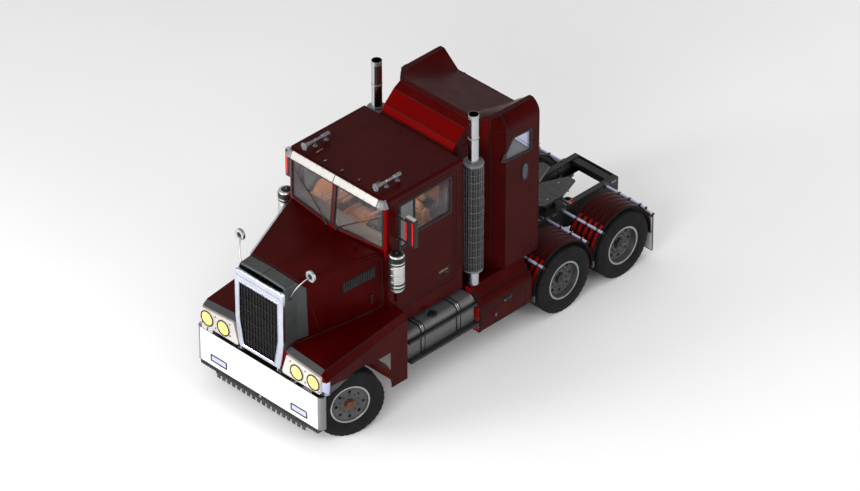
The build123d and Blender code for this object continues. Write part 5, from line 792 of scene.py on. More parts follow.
def bumper_details():
    # bright quarter-round end caps over the bumper's corners
    for side, name in SIDES:
        bm = new_mesh()
        section = [(1168, -745.8), (1170, -745.9)]
        for i in range(13):
            a = math.radians(90 * i / 12)
            section.append((1170 + 70.9 * math.sin(a), -675 - 70.9 * math.cos(a)))
        section.append((1240.9, -652))
        low, high = 436, 979
        rows = []
        for z, tuck in ((low, 3), (low + 4, 0), ((low + high) / 2, 0), (high - 4, 0), (high, 3)):
            rows.append([bm.verts.new(P(side * (x - tuck * 0.6), y + tuck * 0.6, z)) for x, y in section])
        skin_rows(bm, rows)
        thicken(finish_mesh(f"bumper_end_{name}", bm, cap_steel, angle=50), 0.0012, 0)
    # black surrounds and ribbed lenses of the fog lamps
    bm = new_mesh()
    for x in (-800, 800):
        outer = rounded_rect(0.336, 0.124, 0.018)
        inner = rounded_rect(0.294, 0.084, 0.01)
        rings = []
        for line, depth in ((outer, 0.0), (outer, -0.004), (inner, -0.006), (inner, 0.006)):
            rings.append([bm.verts.new(P(x, -745, 565) + Vector((u, depth, v))) for u, v in line])
        skin_rows(bm, rings, True)
    finish_mesh("fog_surrounds", bm, black_rubber, bevel=0.0012)
    bm = new_mesh()
    for x in (-800, 800):
        for k in range(15):
            at = x - 133 + k * 19
            add_turned(
                bm, [(0, -0.036), (0.006, -0.036), (0.006, 0.036), (0, 0.036)], P(at, -743.5, 565), UP, 8
            )
    finish_mesh("fog_lens_ribs", bm, lens_lilac, angle=60)
    # carriage bolts, then the folded upper and lower lips
    bm = new_mesh()
    for x in (-1010, -560, 560, 1010):
        for z in (480, 930):
            add_turned(
                bm, [(0.015, 0), (0.015, 0.0015), (0.011, 0.005), (0.005, 0.0068), (0, 0.0072)],
                P(x, -744.8, z), FRONT, 20
            )
    finish_mesh("bumper_bolts", bm, bumper_white)
    bm = new_mesh()
    path = [P(-1240, -655, 983), P(-1240, -676, 983)]
    for i in range(1, 12):
        a = math.radians(90 * i / 12)
        path.append(P(-1170 - 70 * math.cos(a), -675 - 70 * math.sin(a), 983))
    path.append(P(-1170, -744, 983))
    line = path + [Vector((-p.x, p.y, p.z)) for p in reversed(path)]
    add_tube(bm, line, 0.004, 8)
    low_line = [Vector((p.x, p.y, 0.432)) for p in line]
    add_tube(bm, low_line, 0.004, 8)
    finish_mesh("bumper_lips", bm, black_rubber)
    # treads and brackets of the step
    bm = new_mesh()
    for side in (1, -1):
        for k in range(24):
            x = side * (68 + k * 45.5)
            for y in (-720, -690, -660):
                add_turned(
                    bm, [(0.012, 0), (0.010, 0.004), (0.006, 0.004), (0.006, 0.0), (0, 0)], P(x, y, 430),
                    UP, 10
                )
        for x in (330, 760):
            add_box(bm, P(side * x - 20, -625, 380), P(side * x + 20, -640, 430))
    finish_mesh("step_treads", bm, satin_black)


def grille_details():
    # woven screen behind the bars
    bm = new_mesh()
    half_top, half_foot, knee, foot, top = 0.372, 0.296, 1.525, 1.115, 2.126
    for k in range(76):
        z = foot + (k + 0.5) * (top - foot) / 76
        half = half_top if z > knee else half_foot + (half_top - half_foot) * (z - foot) / (knee - foot)
        add_tube(bm, [Vector((-half, st(-0.684), z)), Vector((half, st(-0.684), z))], 0.0022, 4)
    for k in range(57):
        x = (k - 28) * 0.0132
        low = foot + (knee - foot) * max(0.0, abs(x) - half_foot) / (half_top - half_foot)
        add_tube(bm, [Vector((x, st(-0.680), low)), Vector((x, st(-0.680), top))], 0.0022, 4)
    finish_mesh("grille_screen", bm, satin_black, "hood", smooth=False)
    # bright inner line on the surround, then lilac corner caps that are painted glints on its top corners
    bm = new_mesh()
    outline = [
        (-0.300, 1.110), (-0.377, 1.525), (-0.377, 2.130), (0.377, 2.130), (0.377, 1.525), (0.300, 1.110)
    ]
    grown = []
    for x, z in outline:
        grown.append(Vector((x * 1.022, st(-0.7215), z + (0.009 if z > 2 else (-0.008 if z < 1.2 else 0)))))
    add_tube(bm, grown, 0.0065, 10, closed=True)
    finish_mesh("grille_inner_line", bm, chrome_lilac, "hood")
    bm = new_mesh()
    # painted highlight: lilac glints laid over the surround's top corners
    for side in (1, -1):
        knots = [(0.474, 2.21), (0.473, 2.26), (0.466, 2.30), (0.448, 2.325), (0.415, 2.335), (0.38, 2.336)]
        rings = []
        for x, z in knots:
            centre = Vector((side * (x - 0.014), 0, z - 0.014))
            rings.append(
                [
                    bm.verts.new(Vector((side * (x + 0.0012), st(-0.690), z + 0.0012))),
                    bm.verts.new(Vector((side * (x + 0.0012), st(-0.7105), z + 0.0012))),
                    bm.verts.new(Vector((side * (x - 0.006), st(-0.7175), z - 0.005))),
                    bm.verts.new(Vector((centre.x, st(-0.7212), centre.z))),
                    bm.verts.new(Vector((side * (x - 0.040), st(-0.7212), z - 0.030)))
                ]
            )
        skin_rows(bm, rings)
    finish_mesh("grille_corner_glints", bm, chrome_lilac, "hood", angle=30)
    # crease strip and fasteners of the shell's top
    bm = new_mesh()
    add_tube(bm, [P(0, -664, 2362), P(0, -630, 2414), P(0, -560, 2418), P(0, -448, 2425)], 0.0055, 8)
    for x in (-470, 470):
        s = 1 if x > 0 else -1
        for z in (1450, 1700, 1950, 2180):
            add_turned(bm, [(0.009, 0), (0.007, 0.004), (0, 0.005)], P(x - s * 1, -600, z), (s, 0, 0), 12)
    finish_mesh("shell_fasteners", bm, satin_black, "hood")


def headlamp_details():
    bm_lens, bm_ring, bm_screws = new_mesh(), new_mesh(), new_mesh()
    for side in (1, -1):
        for x in (730, 1056):
            spot = P(side * x, -706, 1160)
            dome = []
            for i in range(15):
                r = 0.107 * (1 - i / 14)
                dome.append((r, 0.026 * math.sqrt(max(0.0, 1 - (r / 0.118) ** 2)) - 0.004))
            add_turned(bm_lens, dome, spot, FRONT, 48)
            # fluted inner pattern seen through the cover
            for k in range(-5, 6):
                u = k * 0.0175
                reach = math.sqrt(0.1 ** 2 - u * u) if abs(u) < 0.1 else 0
                pts = []
                for i in range(9):
                    w = -reach + 2 * reach * i / 8
                    r = math.hypot(u, w)
                    lift = 0.026 * math.sqrt(max(0.0, 1 - (r / 0.118) ** 2)) - 0.0035
                    pts.append(spot + Vector((u, -lift, w)))
                add_tube(bm_lens, pts, 0.0016, 5)
            add_turned(
                bm_ring,
                [
                    (0.1045, 0.001), (0.1050, 0.012), (0.1100, 0.0175), (0.1200, 0.0165), (0.1270, 0.010),
                    (0.1290, 0.0)
                ], spot, FRONT, 56, closed=True
            )
            for angle in (45, 135, 225, 315):
                a = math.radians(angle)
                add_turned(
                    bm_screws, [(0.007, 0.012), (0.0065, 0.0185), (0.003, 0.0195), (0, 0.0185)],
                    spot + Vector((0.117 * math.cos(a), 0, 0.117 * math.sin(a))), FRONT, 12
                )
        for x, z in ((600, 1090), (893, 1075), (893, 1262), (600, 1285), (1160, 1050)):
            add_turned(
                bm_screws, [(0.0135, 0), (0.012, 0.004), (0, 0.0055)], P(side * x, -706, z), FRONT, 14
            )
    lens = finish_mesh("lamp_domes", bm_lens, lens_yellow, "hood", angle=45)
    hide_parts("headlight_lenses")
    finish_mesh("lamp_rings", bm_ring, black_rubber, "hood", angle=30)
    finish_mesh("lamp_screws", bm_screws, satin_black, "hood", angle=30)


bumper_details()
grille_details()
headlamp_details()


# ------------------------------------------------------------------ hood and fenders
HOOD_SECTIONS = (
    (-668, 446, 2345, 2358, 470), (-630, 454, 2396, 2412, 472), (-440, 464, 2408, 2424, 476),
    (800, 930, 2540, 2550, 945)
)
FENDER_SECTIONS = (
    (-668, 474, 1378, 1318, 1190), (-594, 478, 1430, 1373, 1222), (920, 960, 1620, 1576, 1480)
)

# x of the creases along the fender's top and side
FENDER_TOP_X = 1180
FENDER_SIDE_X = 1240


def section_at(table, y):
    """The table's row at station y, straight between its rows."""
    for a, b in zip(table, table[1:]):
        if a[0] <= y <= b[0]:
            t = (y - a[0]) / (b[0] - a[0])
            return [p + (q - p) * t for p, q in zip(a, b)]
    return table[-1] if y > table[-1][0] else table[0]


def crease(table, side, stations, dx, dz):
    """A line along a table's first crease, shifted off it."""
    line = []
    for y in stations:
        _, x, z, _, _ = section_at(table, y)
        line.append(P(side * (x + dx), y, z + dz))
    return line


def side_of_nose(y, z, lift=0.0):
    """A point on the hood's flank, in mm, lifted off it."""
    _, crease_x, crease_z, _, base_x = section_at(HOOD_SECTIONS, y)
    t = (crease_z - z) / (crease_z - 1360)
    return crease_x + (base_x - crease_x) * t + lift


def top_of_nose(x, y, lift=0.0):
    _, crease_x, crease_z, centre_z, _ = section_at(HOOD_SECTIONS, y)
    return centre_z + (crease_z - centre_z) * abs(x) / crease_x + lift


def top_of_fender(x, y, lift=0.0):
    _, inner_x, inner_z, crease_z, _ = section_at(FENDER_SECTIONS, y)
    t = (abs(x) - inner_x) / (FENDER_TOP_X - inner_x)
    return inner_z + (crease_z - inner_z) * t + lift


def side_of_fender(y, z):
    """x of the fender's side between its two creases."""
    _, _, _, crease_z, low_z = section_at(FENDER_SECTIONS, y)
    t = max(0.0, min(1.0, (crease_z - z) / (crease_z - low_z)))
    return FENDER_TOP_X + (FENDER_SIDE_X - FENDER_TOP_X) * t


SEAM_SPREAD = 1.9  # seams are drawn this much wider than their gap, to read at the photo's scale


def add_seam(bm, points, width=0.0035):
    """A dark line laid half into the surface."""
    add_tube(bm, points, width * SEAM_SPREAD, 6)


ARCH_RADIUS = 615.5  # of the front wheel arch, in millimetres


def hood_details():
    bm = new_mesh()
    # panel line round each flank, with rounded corners
    for side in (1, -1):
        line = []
        for y, z in round_corners([(-340, 2300), (-110, 1440), (756, 1640), (756, 2470)], 90, 8)[9:]:
            line.append(P(side * side_of_nose(y, z), y, z))
        front = [P(side * side_of_nose(-285, z), -285, z) for z in (2262, 2100)]
        add_seam(bm, [*front, *line], 0.003)
        # the crease line along the top of the flank
        add_seam(bm, crease(HOOD_SECTIONS, side, range(-420, 780, 60), 0, -6), 0.0022)
    # thin band behind the grille shell
    band = []
    for x in range(-450, 451, 30):
        band.append(P(x, -408, top_of_nose(x, -408, 1)))
    add_seam(bm, band, 0.003)
    finish_mesh("hood_seams", bm, seam_black, "hood")

    # slatted vents in both flanks
    for side, name in SIDES:
        bm = new_mesh()
        outline = round_corners([(198, 2016), (660, 2158), (660, 2336), (198, 2190)], 14, 3)
        low = [P(side * (side_of_nose(y, z) - 1), y, z) for y, z in outline]
        add_plate(bm, low, (side, 0, 0), 0.0028)
        for k in range(13):
            y = 222 + k * 34
            bottom = 2030 + (y - 198) * 142 / 462
            top = 2178 + (y - 198) * 146 / 462
            pts = []
            for z in (bottom, (bottom + top) / 2, top):
                pts.append(P(side * side_of_nose(y, z, 3), y, z))
            lean = 9
            rows = []
            for p in pts:
                rows.append(
                    [
                        bm.verts.new(p + Vector((0, -0.012, 0))),
                        bm.verts.new(p + Vector((side * lean / 1000, 0.004, 0))),
                        bm.verts.new(p + Vector((side * lean / 1000 * 0.6, 0.0085, 0))),
                        bm.verts.new(p + Vector((0, 0.009, 0)))
                    ]
                )
            skin_rows(bm, rows, material=1)
            bm.faces.new(rows[0]).material_index = 1
            bm.faces.new(rows[-1]).material_index = 1
        finish_mesh(
            f"hood_vent_{name}", bm, [seam_black, black_plastic], "hood", smooth=False
        )

    # rubber latches low on the flanks
    bm = new_mesh()
    for side in (1, -1):
        y, z = 600, 1790
        x = side_of_nose(y, z)
        add_box(bm, P(side * (x - 2), y - 26, z - 60), P(side * (x + 9), y + 26, z - 30))
        add_box(bm, P(side * (x + 2), y - 14, z - 40), P(side * (x + 12), y + 14, z + 70))
        add_box(bm, P(side * (x - 2), y - 22, z + 55), P(side * (x + 14), y + 22, z + 85))
    finish_mesh("hood_latches", bm, black_rubber, "hood", bevel=0.003)


def fender_details():
    bm_band, bm_seam, bm_cap, bm_wedge = new_mesh(), new_mesh(), new_mesh(), new_mesh()
    for side in (1, -1):
        # dark band across the front of the fender's top
        rows = []
        for y in (-669.5, -655, -632, -612, -596):
            row = []
            for k in range(11):
                x = 482 + (1168 - 482) * k / 10
                row.append(bm_band.verts.new(P(side * x, y, top_of_fender(x, y, 1.6))))
            rows.append(row)
        rows.insert(0, [bm_band.verts.new(v.co + Vector((0, 0.0012, -0.020))) for v in rows[0]])
        skin_rows(bm_band, rows)
        # crease lines of the fender
        add_seam(
            bm_seam,
            [P(side * 1179, y, section_at(FENDER_SECTIONS, y)[3] - 2) for y in range(-590, 916, 50)], 0.003
        )
        add_seam(
            bm_seam, [P(side * 1239.5, y, section_at(FENDER_SECTIONS, y)[4]) for y in range(-640, 916, 50)],
            0.003
        )
        add_seam(bm_seam, crease(FENDER_SECTIONS, side, range(-660, 790, 50), 4, 1), 0.0035)
        # lilac cap on the front outer corner
        rows = []
        for z, lift in ((977, 0.6), (1050, 0.8), (1190, 0.8), (1240, 0.6), (1262, 0.4)):
            x = side_of_fender(-668, z)
            r = 85
            row = [(x - r + 2, -669.5)]
            for i in range(9):
                a = math.radians(90 * i / 8)
                row.append((x - r + (r + lift) * math.sin(a), -669 + r - (r + lift) * math.cos(a)))
            row.append((x + lift, -560))
            rows.append([bm_cap.verts.new(P(side * u, v, z)) for u, v in row])
        skin_rows(bm_cap, rows)
        # dark wedge strip on the side, behind the cap
        outline = [
            (-556, 1000), (-556, 1108), (-430, 1104), (-300, 1088), (-215, 1062), (-330, 1048), (-420, 1016)
        ]
        add_plate(
            bm_wedge, [P(side * (side_of_fender(y, z) - 1), y, z) for y, z in outline], (side, 0, 0), 0.0026
        )
    finish_mesh("fender_front_bands", bm_band, shell_grey, "hood")
    finish_mesh("fender_seams", bm_seam, seam_black, "hood")
    thicken(finish_mesh("fender_corner_caps", bm_cap, chrome_lilac, "hood", angle=50), 0.0014, 1)
    finish_mesh("fender_wedges", bm_wedge, shell_grey, "hood", smooth=False, bevel=0.001)

    # rolled lip of each wheel arch
    bm = new_mesh()
    for side in (1, -1):
        arc = []
        for i in range(41):
            a = math.radians(4 + 172 * i / 40)
            y, z = ARCH_RADIUS * math.cos(a), AXLE_HEIGHT + ARCH_RADIUS * math.sin(a)
            arc.append(P(side * 1236, y, z))
        add_tube(bm, arc, 0.008, 8)
    finish_mesh("arch_lips", bm, seam_black, "hood")


def hood_mirror_details():
    bm_ring, bm_face, bm_stalk = new_mesh(), new_mesh(), new_mesh()
    for side in (1, -1):
        centre = P(side * 700, -370, 2600)
        add_turned(
            bm_ring,
            [
                (0.0, -0.0385), (0.030, -0.0370), (0.060, -0.0300), (0.078, -0.0170), (0.0850, -0.0030),
                (0.0850, 0.0065), (0.0810, 0.0095), (0.0775, 0.0080), (0.0775, 0.0065), (0.0, 0.0065)
            ], centre, BACK, 40
        )
        add_turned(
            bm_face, [(0.0778, 0.0070), (0.050, 0.0095), (0.025, 0.0108), (0.0, 0.0112)], centre, BACK, 40
        )
        base = P(side * 458, -554, 2190)
        out = Vector((side, 0, 0.12)).normalized()
        add_turned(
            bm_stalk, [(0.026, 0.004), (0.026, 0.010), (0.018, 0.016), (0.011, 0.030), (0, 0.030)], base,
            out, 20
        )
        add_turned(
            bm_stalk, [(0.0135, -0.02), (0.0135, 0.02), (0, 0.022)], centre + Vector((0, -0.030, 0)),
            (0, 0, -1), 14
        )
    finish_mesh("hood_mirror_heads", bm_ring, black_plastic, "hood")
    finish_mesh("hood_mirror_glass", bm_face, mirror_face, "hood")
    finish_mesh("hood_mirror_feet", bm_stalk, black_rubber, "hood")


hood_details()
fender_details()
hood_mirror_details()


# ------------------------------------------------------------------ cab
WINDOW = [(1050, 2470), (1210, 2470), (1300, 2600), (2040, 2600), (2040, 3185), (1050, 3185)]


def cab_front_y(x, z):
    """Station of the cab's front at half width x and height z."""
    t = max(0.0, min(1.0, (z - 2530) / (3370 - 2530)))
    nose = 120 + (26 - 120) * t
    return 800 - nose * (1 - abs(x) / 965)


def front_line(corners, radius, lift, side=1):
    """A closed line on the cab's front from (x, z) corners, in mm."""
    return [P(side * x, cab_front_y(x, z) - lift, z) for x, z in round_corners(corners, radius, 6)]


def add_ribbon(bm, line, normal, width, height, material=0):
    """A flat-backed strip with a domed top laid along a closed line on a surface."""
    normal = Vector(normal).normalized()
    count = len(line)
    rows = []
    for i, point in enumerate(line):
        run = (line[(i + 1) % count] - line[i - 1]).normalized()
        across = run.cross(normal).normalized()
        rows.append(
            [
                bm.verts.new(point + across * (-width / 2)),
                bm.verts.new(point + across * (-width / 2 * 0.8) + normal * height * 0.8),
                bm.verts.new(point + normal * height),
                bm.verts.new(point + across * (width / 2 * 0.8) + normal * height * 0.8),
                bm.verts.new(point + across * (width / 2))
            ]
        )
    skin_rows(bm, rows, False, material, True)


def windshield_details():
    bm, bm_post, bm_wiper = new_mesh(), new_mesh(), new_mesh()
    for side in (1, -1):
        line = front_line([(24, 2569), (896, 2569), (896, 3241), (24, 3241)], 58, 0.5, side)
        add_ribbon(bm, line, FRONT, 0.030, 0.009)
        # wiper: pivot low near the middle, arm and blade along the pane
        pivot = P(side * 92, cab_front_y(92, 2548) - 10, 2548)
        add_turned(
            bm_wiper, [(0.020, -0.012), (0.020, 0.010), (0.013, 0.016), (0, 0.017)], pivot, FRONT, 18
        )
        knuckle = P(side * 130, cab_front_y(130, 2600) - 26, 2600)
        middle = P(side * 470, cab_front_y(470, 2830) - 16, 2830)
        add_tube(bm_wiper, [pivot + Vector((0, -0.012, 0)), knuckle, middle], [0.009, 0.007, 0.0045], 8)
        blade = []
        for k in range(13):
            x, z = 140 + 680 * k / 12, 2612 + 430 * k / 12
            blade.append(P(side * x, cab_front_y(x, z) - 6 - 3 * math.sin(math.pi * k / 12), z))
        add_tube(bm_wiper, blade, 0.0055, 6)
        holder = [p + Vector((0, -0.010, 0.004)) for p in blade[2:-2]]
        add_tube(bm_wiper, holder, 0.0035, 6)
        for k in (2, 5, 7, 10):
            add_tube(bm_wiper, [blade[k], blade[k] + Vector((0, -0.012, 0.006))], 0.003, 6)
    finish_mesh("shield_seals", bm, black_rubber, angle=50)
    finish_mesh("wipers", bm_wiper, black_plastic, angle=50)
    # black joint lines either side of the red centre post
    for side in (1, -1):
        add_tube(
            bm_post, [P(side * 15, cab_front_y(15, z) - 1, z) for z in (2562, 2700, 2900, 3100, 3246)],
            0.0045, 6
        )
    for z in range(2600, 3230, 80):
        add_turned(
            bm_post, [(0.005, 0), (0.004, 0.0025), (0, 0.003)], P(0, cab_front_y(0, z), z), FRONT, 10
        )
    finish_mesh("shield_post_joints", bm_post, seam_black)


def door_details():
    for side, name in SIDES:
        body = f"door_{name}"
        out = (side, 0, 0)
        bm = new_mesh()
        line = [P(side * 965.4, y, z) for y, z in round_corners(WINDOW, 38, 6)]
        add_ribbon(bm, line, out, 0.040, 0.0085)
        # bar between the vent pane and the drop glass
        add_box(bm, P(side * 949, 1328, 2600), P(side * 968, 1350, 3180))
        # belt wiper under the glass
        add_box(bm, P(side * 950, 1350, 2592), P(side * 969, 2036, 2606))
        finish_mesh(f"door_window_seal_{name}", bm, black_rubber, body, angle=50)
        # grey vent pane
        bm = new_mesh()
        pane = [
            P(side * 952, y, z)
            for y, z in round_corners(
                [(1056, 2476), (1206, 2476), (1300, 2606), (1328, 2606), (1328, 3180), (1056, 3180)], 20, 4
            )
        ]
        add_plate(bm, pane, out, 0.003)
        finish_mesh(f"door_vent_pane_{name}", bm, vent_glass, body, smooth=False)
        # panel line pressed in the door's skin, with the feature line at the belt
        bm = new_mesh()
        line = [
            P(side * 965.2, y, z)
            for y, z in round_corners([(1010, 1492), (2100, 1492), (2100, 3232), (1010, 3232)], 64, 6)
        ]
        add_tube(bm, line, 0.0055, 6, closed=True)
        finish_mesh(f"door_press_lines_{name}", bm, seam_black, body)
        # handle: bezel, paddle and lock
        bm = new_mesh()
        bezel = rounded_rect(0.215, 0.142, 0.02)
        inner = rounded_rect(0.188, 0.116, 0.014)
        rings = []
        for outline, lift in ((bezel, 0.0), (bezel, 0.0045), (inner, 0.006), (inner, -0.009)):
            rings.append(
                [bm.verts.new(P(side * 965, 1900, 1657) + Vector((side * lift, u, v))) for u, v in outline]
            )
        skin_rows(bm, rings, True)
        bm.faces.new(rings[-1]).material_index = 2
        paddle = rounded_rect(0.172, 0.062, 0.012)
        add_plate(bm, [P(side * 958, 1896, 1668) + Vector((0, u, v)) for u, v in paddle], out, 0.014, 1)
        add_turned(
            bm, [(0.011, 0), (0.011, 0.012), (0.009, 0.014), (0, 0.014)], P(side * 957, 1962, 1622), out,
            16, 1
        )
        finish_mesh(
            f"door_handle_trim_{name}", bm, [black_plastic, handle_tan, seam_black], body,
            bevel=0.0012
        )
        # hinge leaves with their screws
        bm = new_mesh()
        for z in (1650, 2380):
            add_box(bm, P(side * 964, 985, z + 8), P(side * 969, 1052, z + 82))
            for dy in (1004, 1036):
                for dz in (24, 66):
                    add_bolt(bm, P(side * 969, dy, z + dz), out, 0.006, 0.004)
        finish_mesh(f"door_hinge_leaves_{name}", bm, paint, body, bevel=0.0015)
        # inner card with a pull and an armrest
        bm = new_mesh()
        card = round_corners(
            [(1000, 1500), (2110, 1500), (2110, 2560), (1320, 2560), (1220, 2440), (1000, 2440)], 40, 5
        )
        add_plate(bm, [P(side * 919, y, z) for y, z in card], (-side, 0, 0), 0.008)
        add_plate(
            bm,
            [
                P(side * 911, y, z)
                for y, z in round_corners([(1080, 1580), (2020, 1580), (2020, 2080), (1080, 2080)], 60, 5)
            ], (-side, 0, 0), 0.012, 1
        )
        add_tube(
            bm,
            curve_points(
                [
                    P(side * 905, 1380, 2200), P(side * 865, 1400, 2205), P(side * 862, 1700, 2215),
                    P(side * 905, 1730, 2220)
                ], 6
            ), 0.018, 10, 1
        )
        finish_mesh(
            f"door_card_{name}", bm, [interior_tan, seat_leather], body, bevel=0.004
        )


def door_mirror_details():
    for side, name in SIDES:
        body = f"door_{name}"
        bm = new_mesh()
        # painted light: bright red edges on the housing's front and inner side, where the front light falls
        for x0, x1 in ((1082.5, 1086), (1243, 1259)):
            add_box(bm, P(side * x0, 1030, 2660), P(side * x1, 1070, 3040))
        for x in (1112, 1236):
            outline = rounded_rect(0.020, 0.372, 0.009)
            add_plate(
                bm, [P(side * x, 1025.5, 2850) + Vector((u, 0, v)) for u, v in outline], FRONT, 0.0035
            )
        finish_mesh(f"mirror_lit_edges_{name}", bm, lit_edge_and_buckle_red, body, bevel=0.0015)
        bm = new_mesh()
        face = rounded_rect(0.158, 0.292, 0.02)
        add_plate(bm, [P(side * 1180, 1094, 2905) + Vector((u, 0, v)) for u, v in face], BACK, 0.0035)
        spot = rounded_rect(0.158, 0.108, 0.02)
        add_plate(bm, [P(side * 1180, 1094, 2690) + Vector((u, 0, v)) for u, v in spot], BACK, 0.0045)
        finish_mesh(f"mirror_panes_{name}", bm, mirror_face, body, bevel=0.001)
        # top bracket and the arms' clamps
        bm = new_mesh()
        outline = round_corners([(1100, 1030), (1262, 1030), (1262, 1088), (1100, 1088)], 14, 4)
        add_plate(bm, [P(side * x, y, 3080.5) for x, y in outline], UP, 0.006)
        for z in (2680, 3030):
            add_turned(
                bm, [(0.018, -0.02), (0.018, 0.02), (0.0135, 0.021), (0.0135, -0.021)],
                P(side * 1030, 1010, z), (1, 0, 0), 16, 1, closed=True
            )
            add_turned(
                bm, [(0, 0), (0.034, 0), (0.034, 0.006), (0.018, 0.012), (0, 0.012)],
                P(side * 965, 1010, z), (side, 0, 0), 20, 1
            )
            for dy, dz in ((0.024, 0), (-0.024, 0)):
                add_bolt(bm, P(side * 971, 1010, z) + Vector((0, dy, dz)), (side, 0, 0), 0.0045, 0.004, 1)
        finish_mesh(
            f"mirror_brackets_{name}", bm, [visor_grey, satin_black], body, bevel=0.0012
        )


vent_glass = clear("vent_glass", (0.06, 0.065, 0.07), 0.82)
windshield_details()
door_details()
door_mirror_details()


# ------------------------------------------------------------------ roof, visor, cleaners and stacks


def roof_details():
    # clearance lamps along the roof's front
    bm = new_mesh()
    for x, y, length in (
        (0, 900, 60), (330, 905, 60), (-330, 905, 60), (560, 1010, 150), (-560, 1010, 150)
    ):
        outline = round_corners(
            [(-16, -length / 2), (16, -length / 2), (16, length / 2), (-16, length / 2)], 12, 4
        )
        base = [P(x + u, y + v, 3368.5) for u, v in outline]
        add_plate(bm, base, UP, 0.009)
        rings = []
        for grow, lift in ((0.78, 9), (0.70, 20), (0.45, 26)):
            rings.append(
                [
                    bm.verts.new(P(x + u * grow, y + v * (1 - (1 - grow) * 0.35), 3368.5 + lift))
                    for u, v in outline
                ]
            )
        skin_rows(bm, rings, True, 1)
        bm.faces.new(rings[-1]).material_index = 1
    finish_mesh("roof_lamps", bm, [black_rubber, lens_smoke], bevel=0.001)
    # drip rails and rivets along the roof's sides and back
    bm, bm_rivet = new_mesh(), new_mesh()
    for side in (1, -1):
        rail = [
            P(side * 962, 880, 3296), P(side * 962, 1000, 3312), P(side * 962, 2130, 3312),
            P(side * 962, 2240, 3300)
        ]
        add_tube(bm, curve_points(rail, 8), 0.0065, 8)
        add_seam(bm, [P(side * 920, y, 3370.5) for y in range(830, 2261, 60)], 0.0022)
        for k in range(31):
            add_turned(
                bm_rivet, [(0.0065, 0), (0.005, 0.0022), (0.002, 0.0032), (0, 0.0034)],
                P(side * 900, 860 + k * 45, 3369.8), UP, 8
            )
    for y in (842, 2240):
        add_seam(bm, [P(x, y, 3370.5) for x in range(-915, 916, 61)], 0.0022)
    finish_mesh("drip_rails", bm, seam_black)
    finish_mesh("roof_rivets", bm_rivet, paint)
    # lips and feet of the horns
    bm = new_mesh()
    for side in (1, -1):
        mouth = P(side * 700, 850, 3462)
        add_turned(
            bm,
            [
                (0.0, 0.030), (0.022, 0.028), (0.040, 0.012), (0.052, -0.0005), (0.0575, -0.002),
                (0.0590, 0.0015), (0.0560, 0.004)
            ], mouth, BACK, 36
        )
        for along in (1062, 1198, 1310):
            add_turned(
                bm, [(0.0205, -0.008), (0.0250, -0.006), (0.0250, 0.006), (0.0205, 0.008)],
                P(side * 700, along, 3462), BACK, 24
            )
        for y in (1061.5, 1273):
            add_turned(
                bm, [(0.034, 0), (0.034, 0.005), (0.016, 0.011), (0.013, 0.04), (0.0, 0.04)],
                P(side * 700, y, 3370), UP, 20
            )
        add_turned(
            bm, [(0.031, -0.006), (0.033, 0.0), (0.031, 0.006), (0.018, 0.010), (0.0, 0.0105)],
            P(side * 700, 1320, 3462), BACK, 24
        )
    finish_mesh("horn_fittings", bm, horn_metal, angle=30)


# millimetres: the visor's lower edge (y, z), its rise to the upper one, its rounded end's centre (x, y)
VISOR_FOOT = (706, 3262)
VISOR_RISE = (64, 114)
VISOR_END = (870, 826)


def visor_details():
    bm = new_mesh()
    normal = Vector((0, -VISOR_RISE[1], VISOR_RISE[0])).normalized()

    def on_visor(x, t, lift=0.0):
        """t runs from the bottom edge (0) to the top edge (1)."""
        return P(
            x, VISOR_FOOT[0] + VISOR_RISE[0] * t, VISOR_FOOT[1] + VISOR_RISE[1] * t
        ) + normal * lift / 1000

    # centre seam, folded edges and rivets
    add_tube(bm, [on_visor(0, t / 4, 1.0) for t in range(5)], 0.0055, 6)
    for t in (0.02, 0.98):
        add_tube(bm, [on_visor(x, t, 0.5) for x in range(-VISOR_END[0], VISOR_END[0] + 1, 60)], 0.007, 6)
    for x in range(-840, 841, 120):
        for t in (0.16, 0.84):
            add_turned(
                bm, [(0.0065, 0), (0.0055, 0.002), (0.002, 0.003), (0, 0.0031)], on_visor(x, t), normal, 8
            )
    finish_mesh("visor_trim", bm, seam_black)
    # darker rounded ends
    for side, name in SIDES:
        bm = new_mesh()
        rows = []
        for t in (0.0, 0.33, 0.66, 1.0):
            row = []
            y0, z0 = VISOR_FOOT[0] + VISOR_RISE[0] * t, VISOR_FOOT[1] + VISOR_RISE[1] * t
            reach = VISOR_END[1] - y0 + 1.6
            row.append(bm.verts.new(P(side * 838, y0 - 1.4, z0 + 0.8)))
            for i in range(15):
                a = math.radians(88 * i / 14)
                spot = P(
                    side * (VISOR_END[0] + reach * math.sin(a)), VISOR_END[1] - reach * math.cos(a),
                    z0 + 0.8
                )
                row.append(bm.verts.new(spot))
            rows.append(row)
        skin_rows(bm, rows)
        thicken(finish_mesh(f"visor_end_{name}", bm, cap_steel, angle=60), 0.0015)


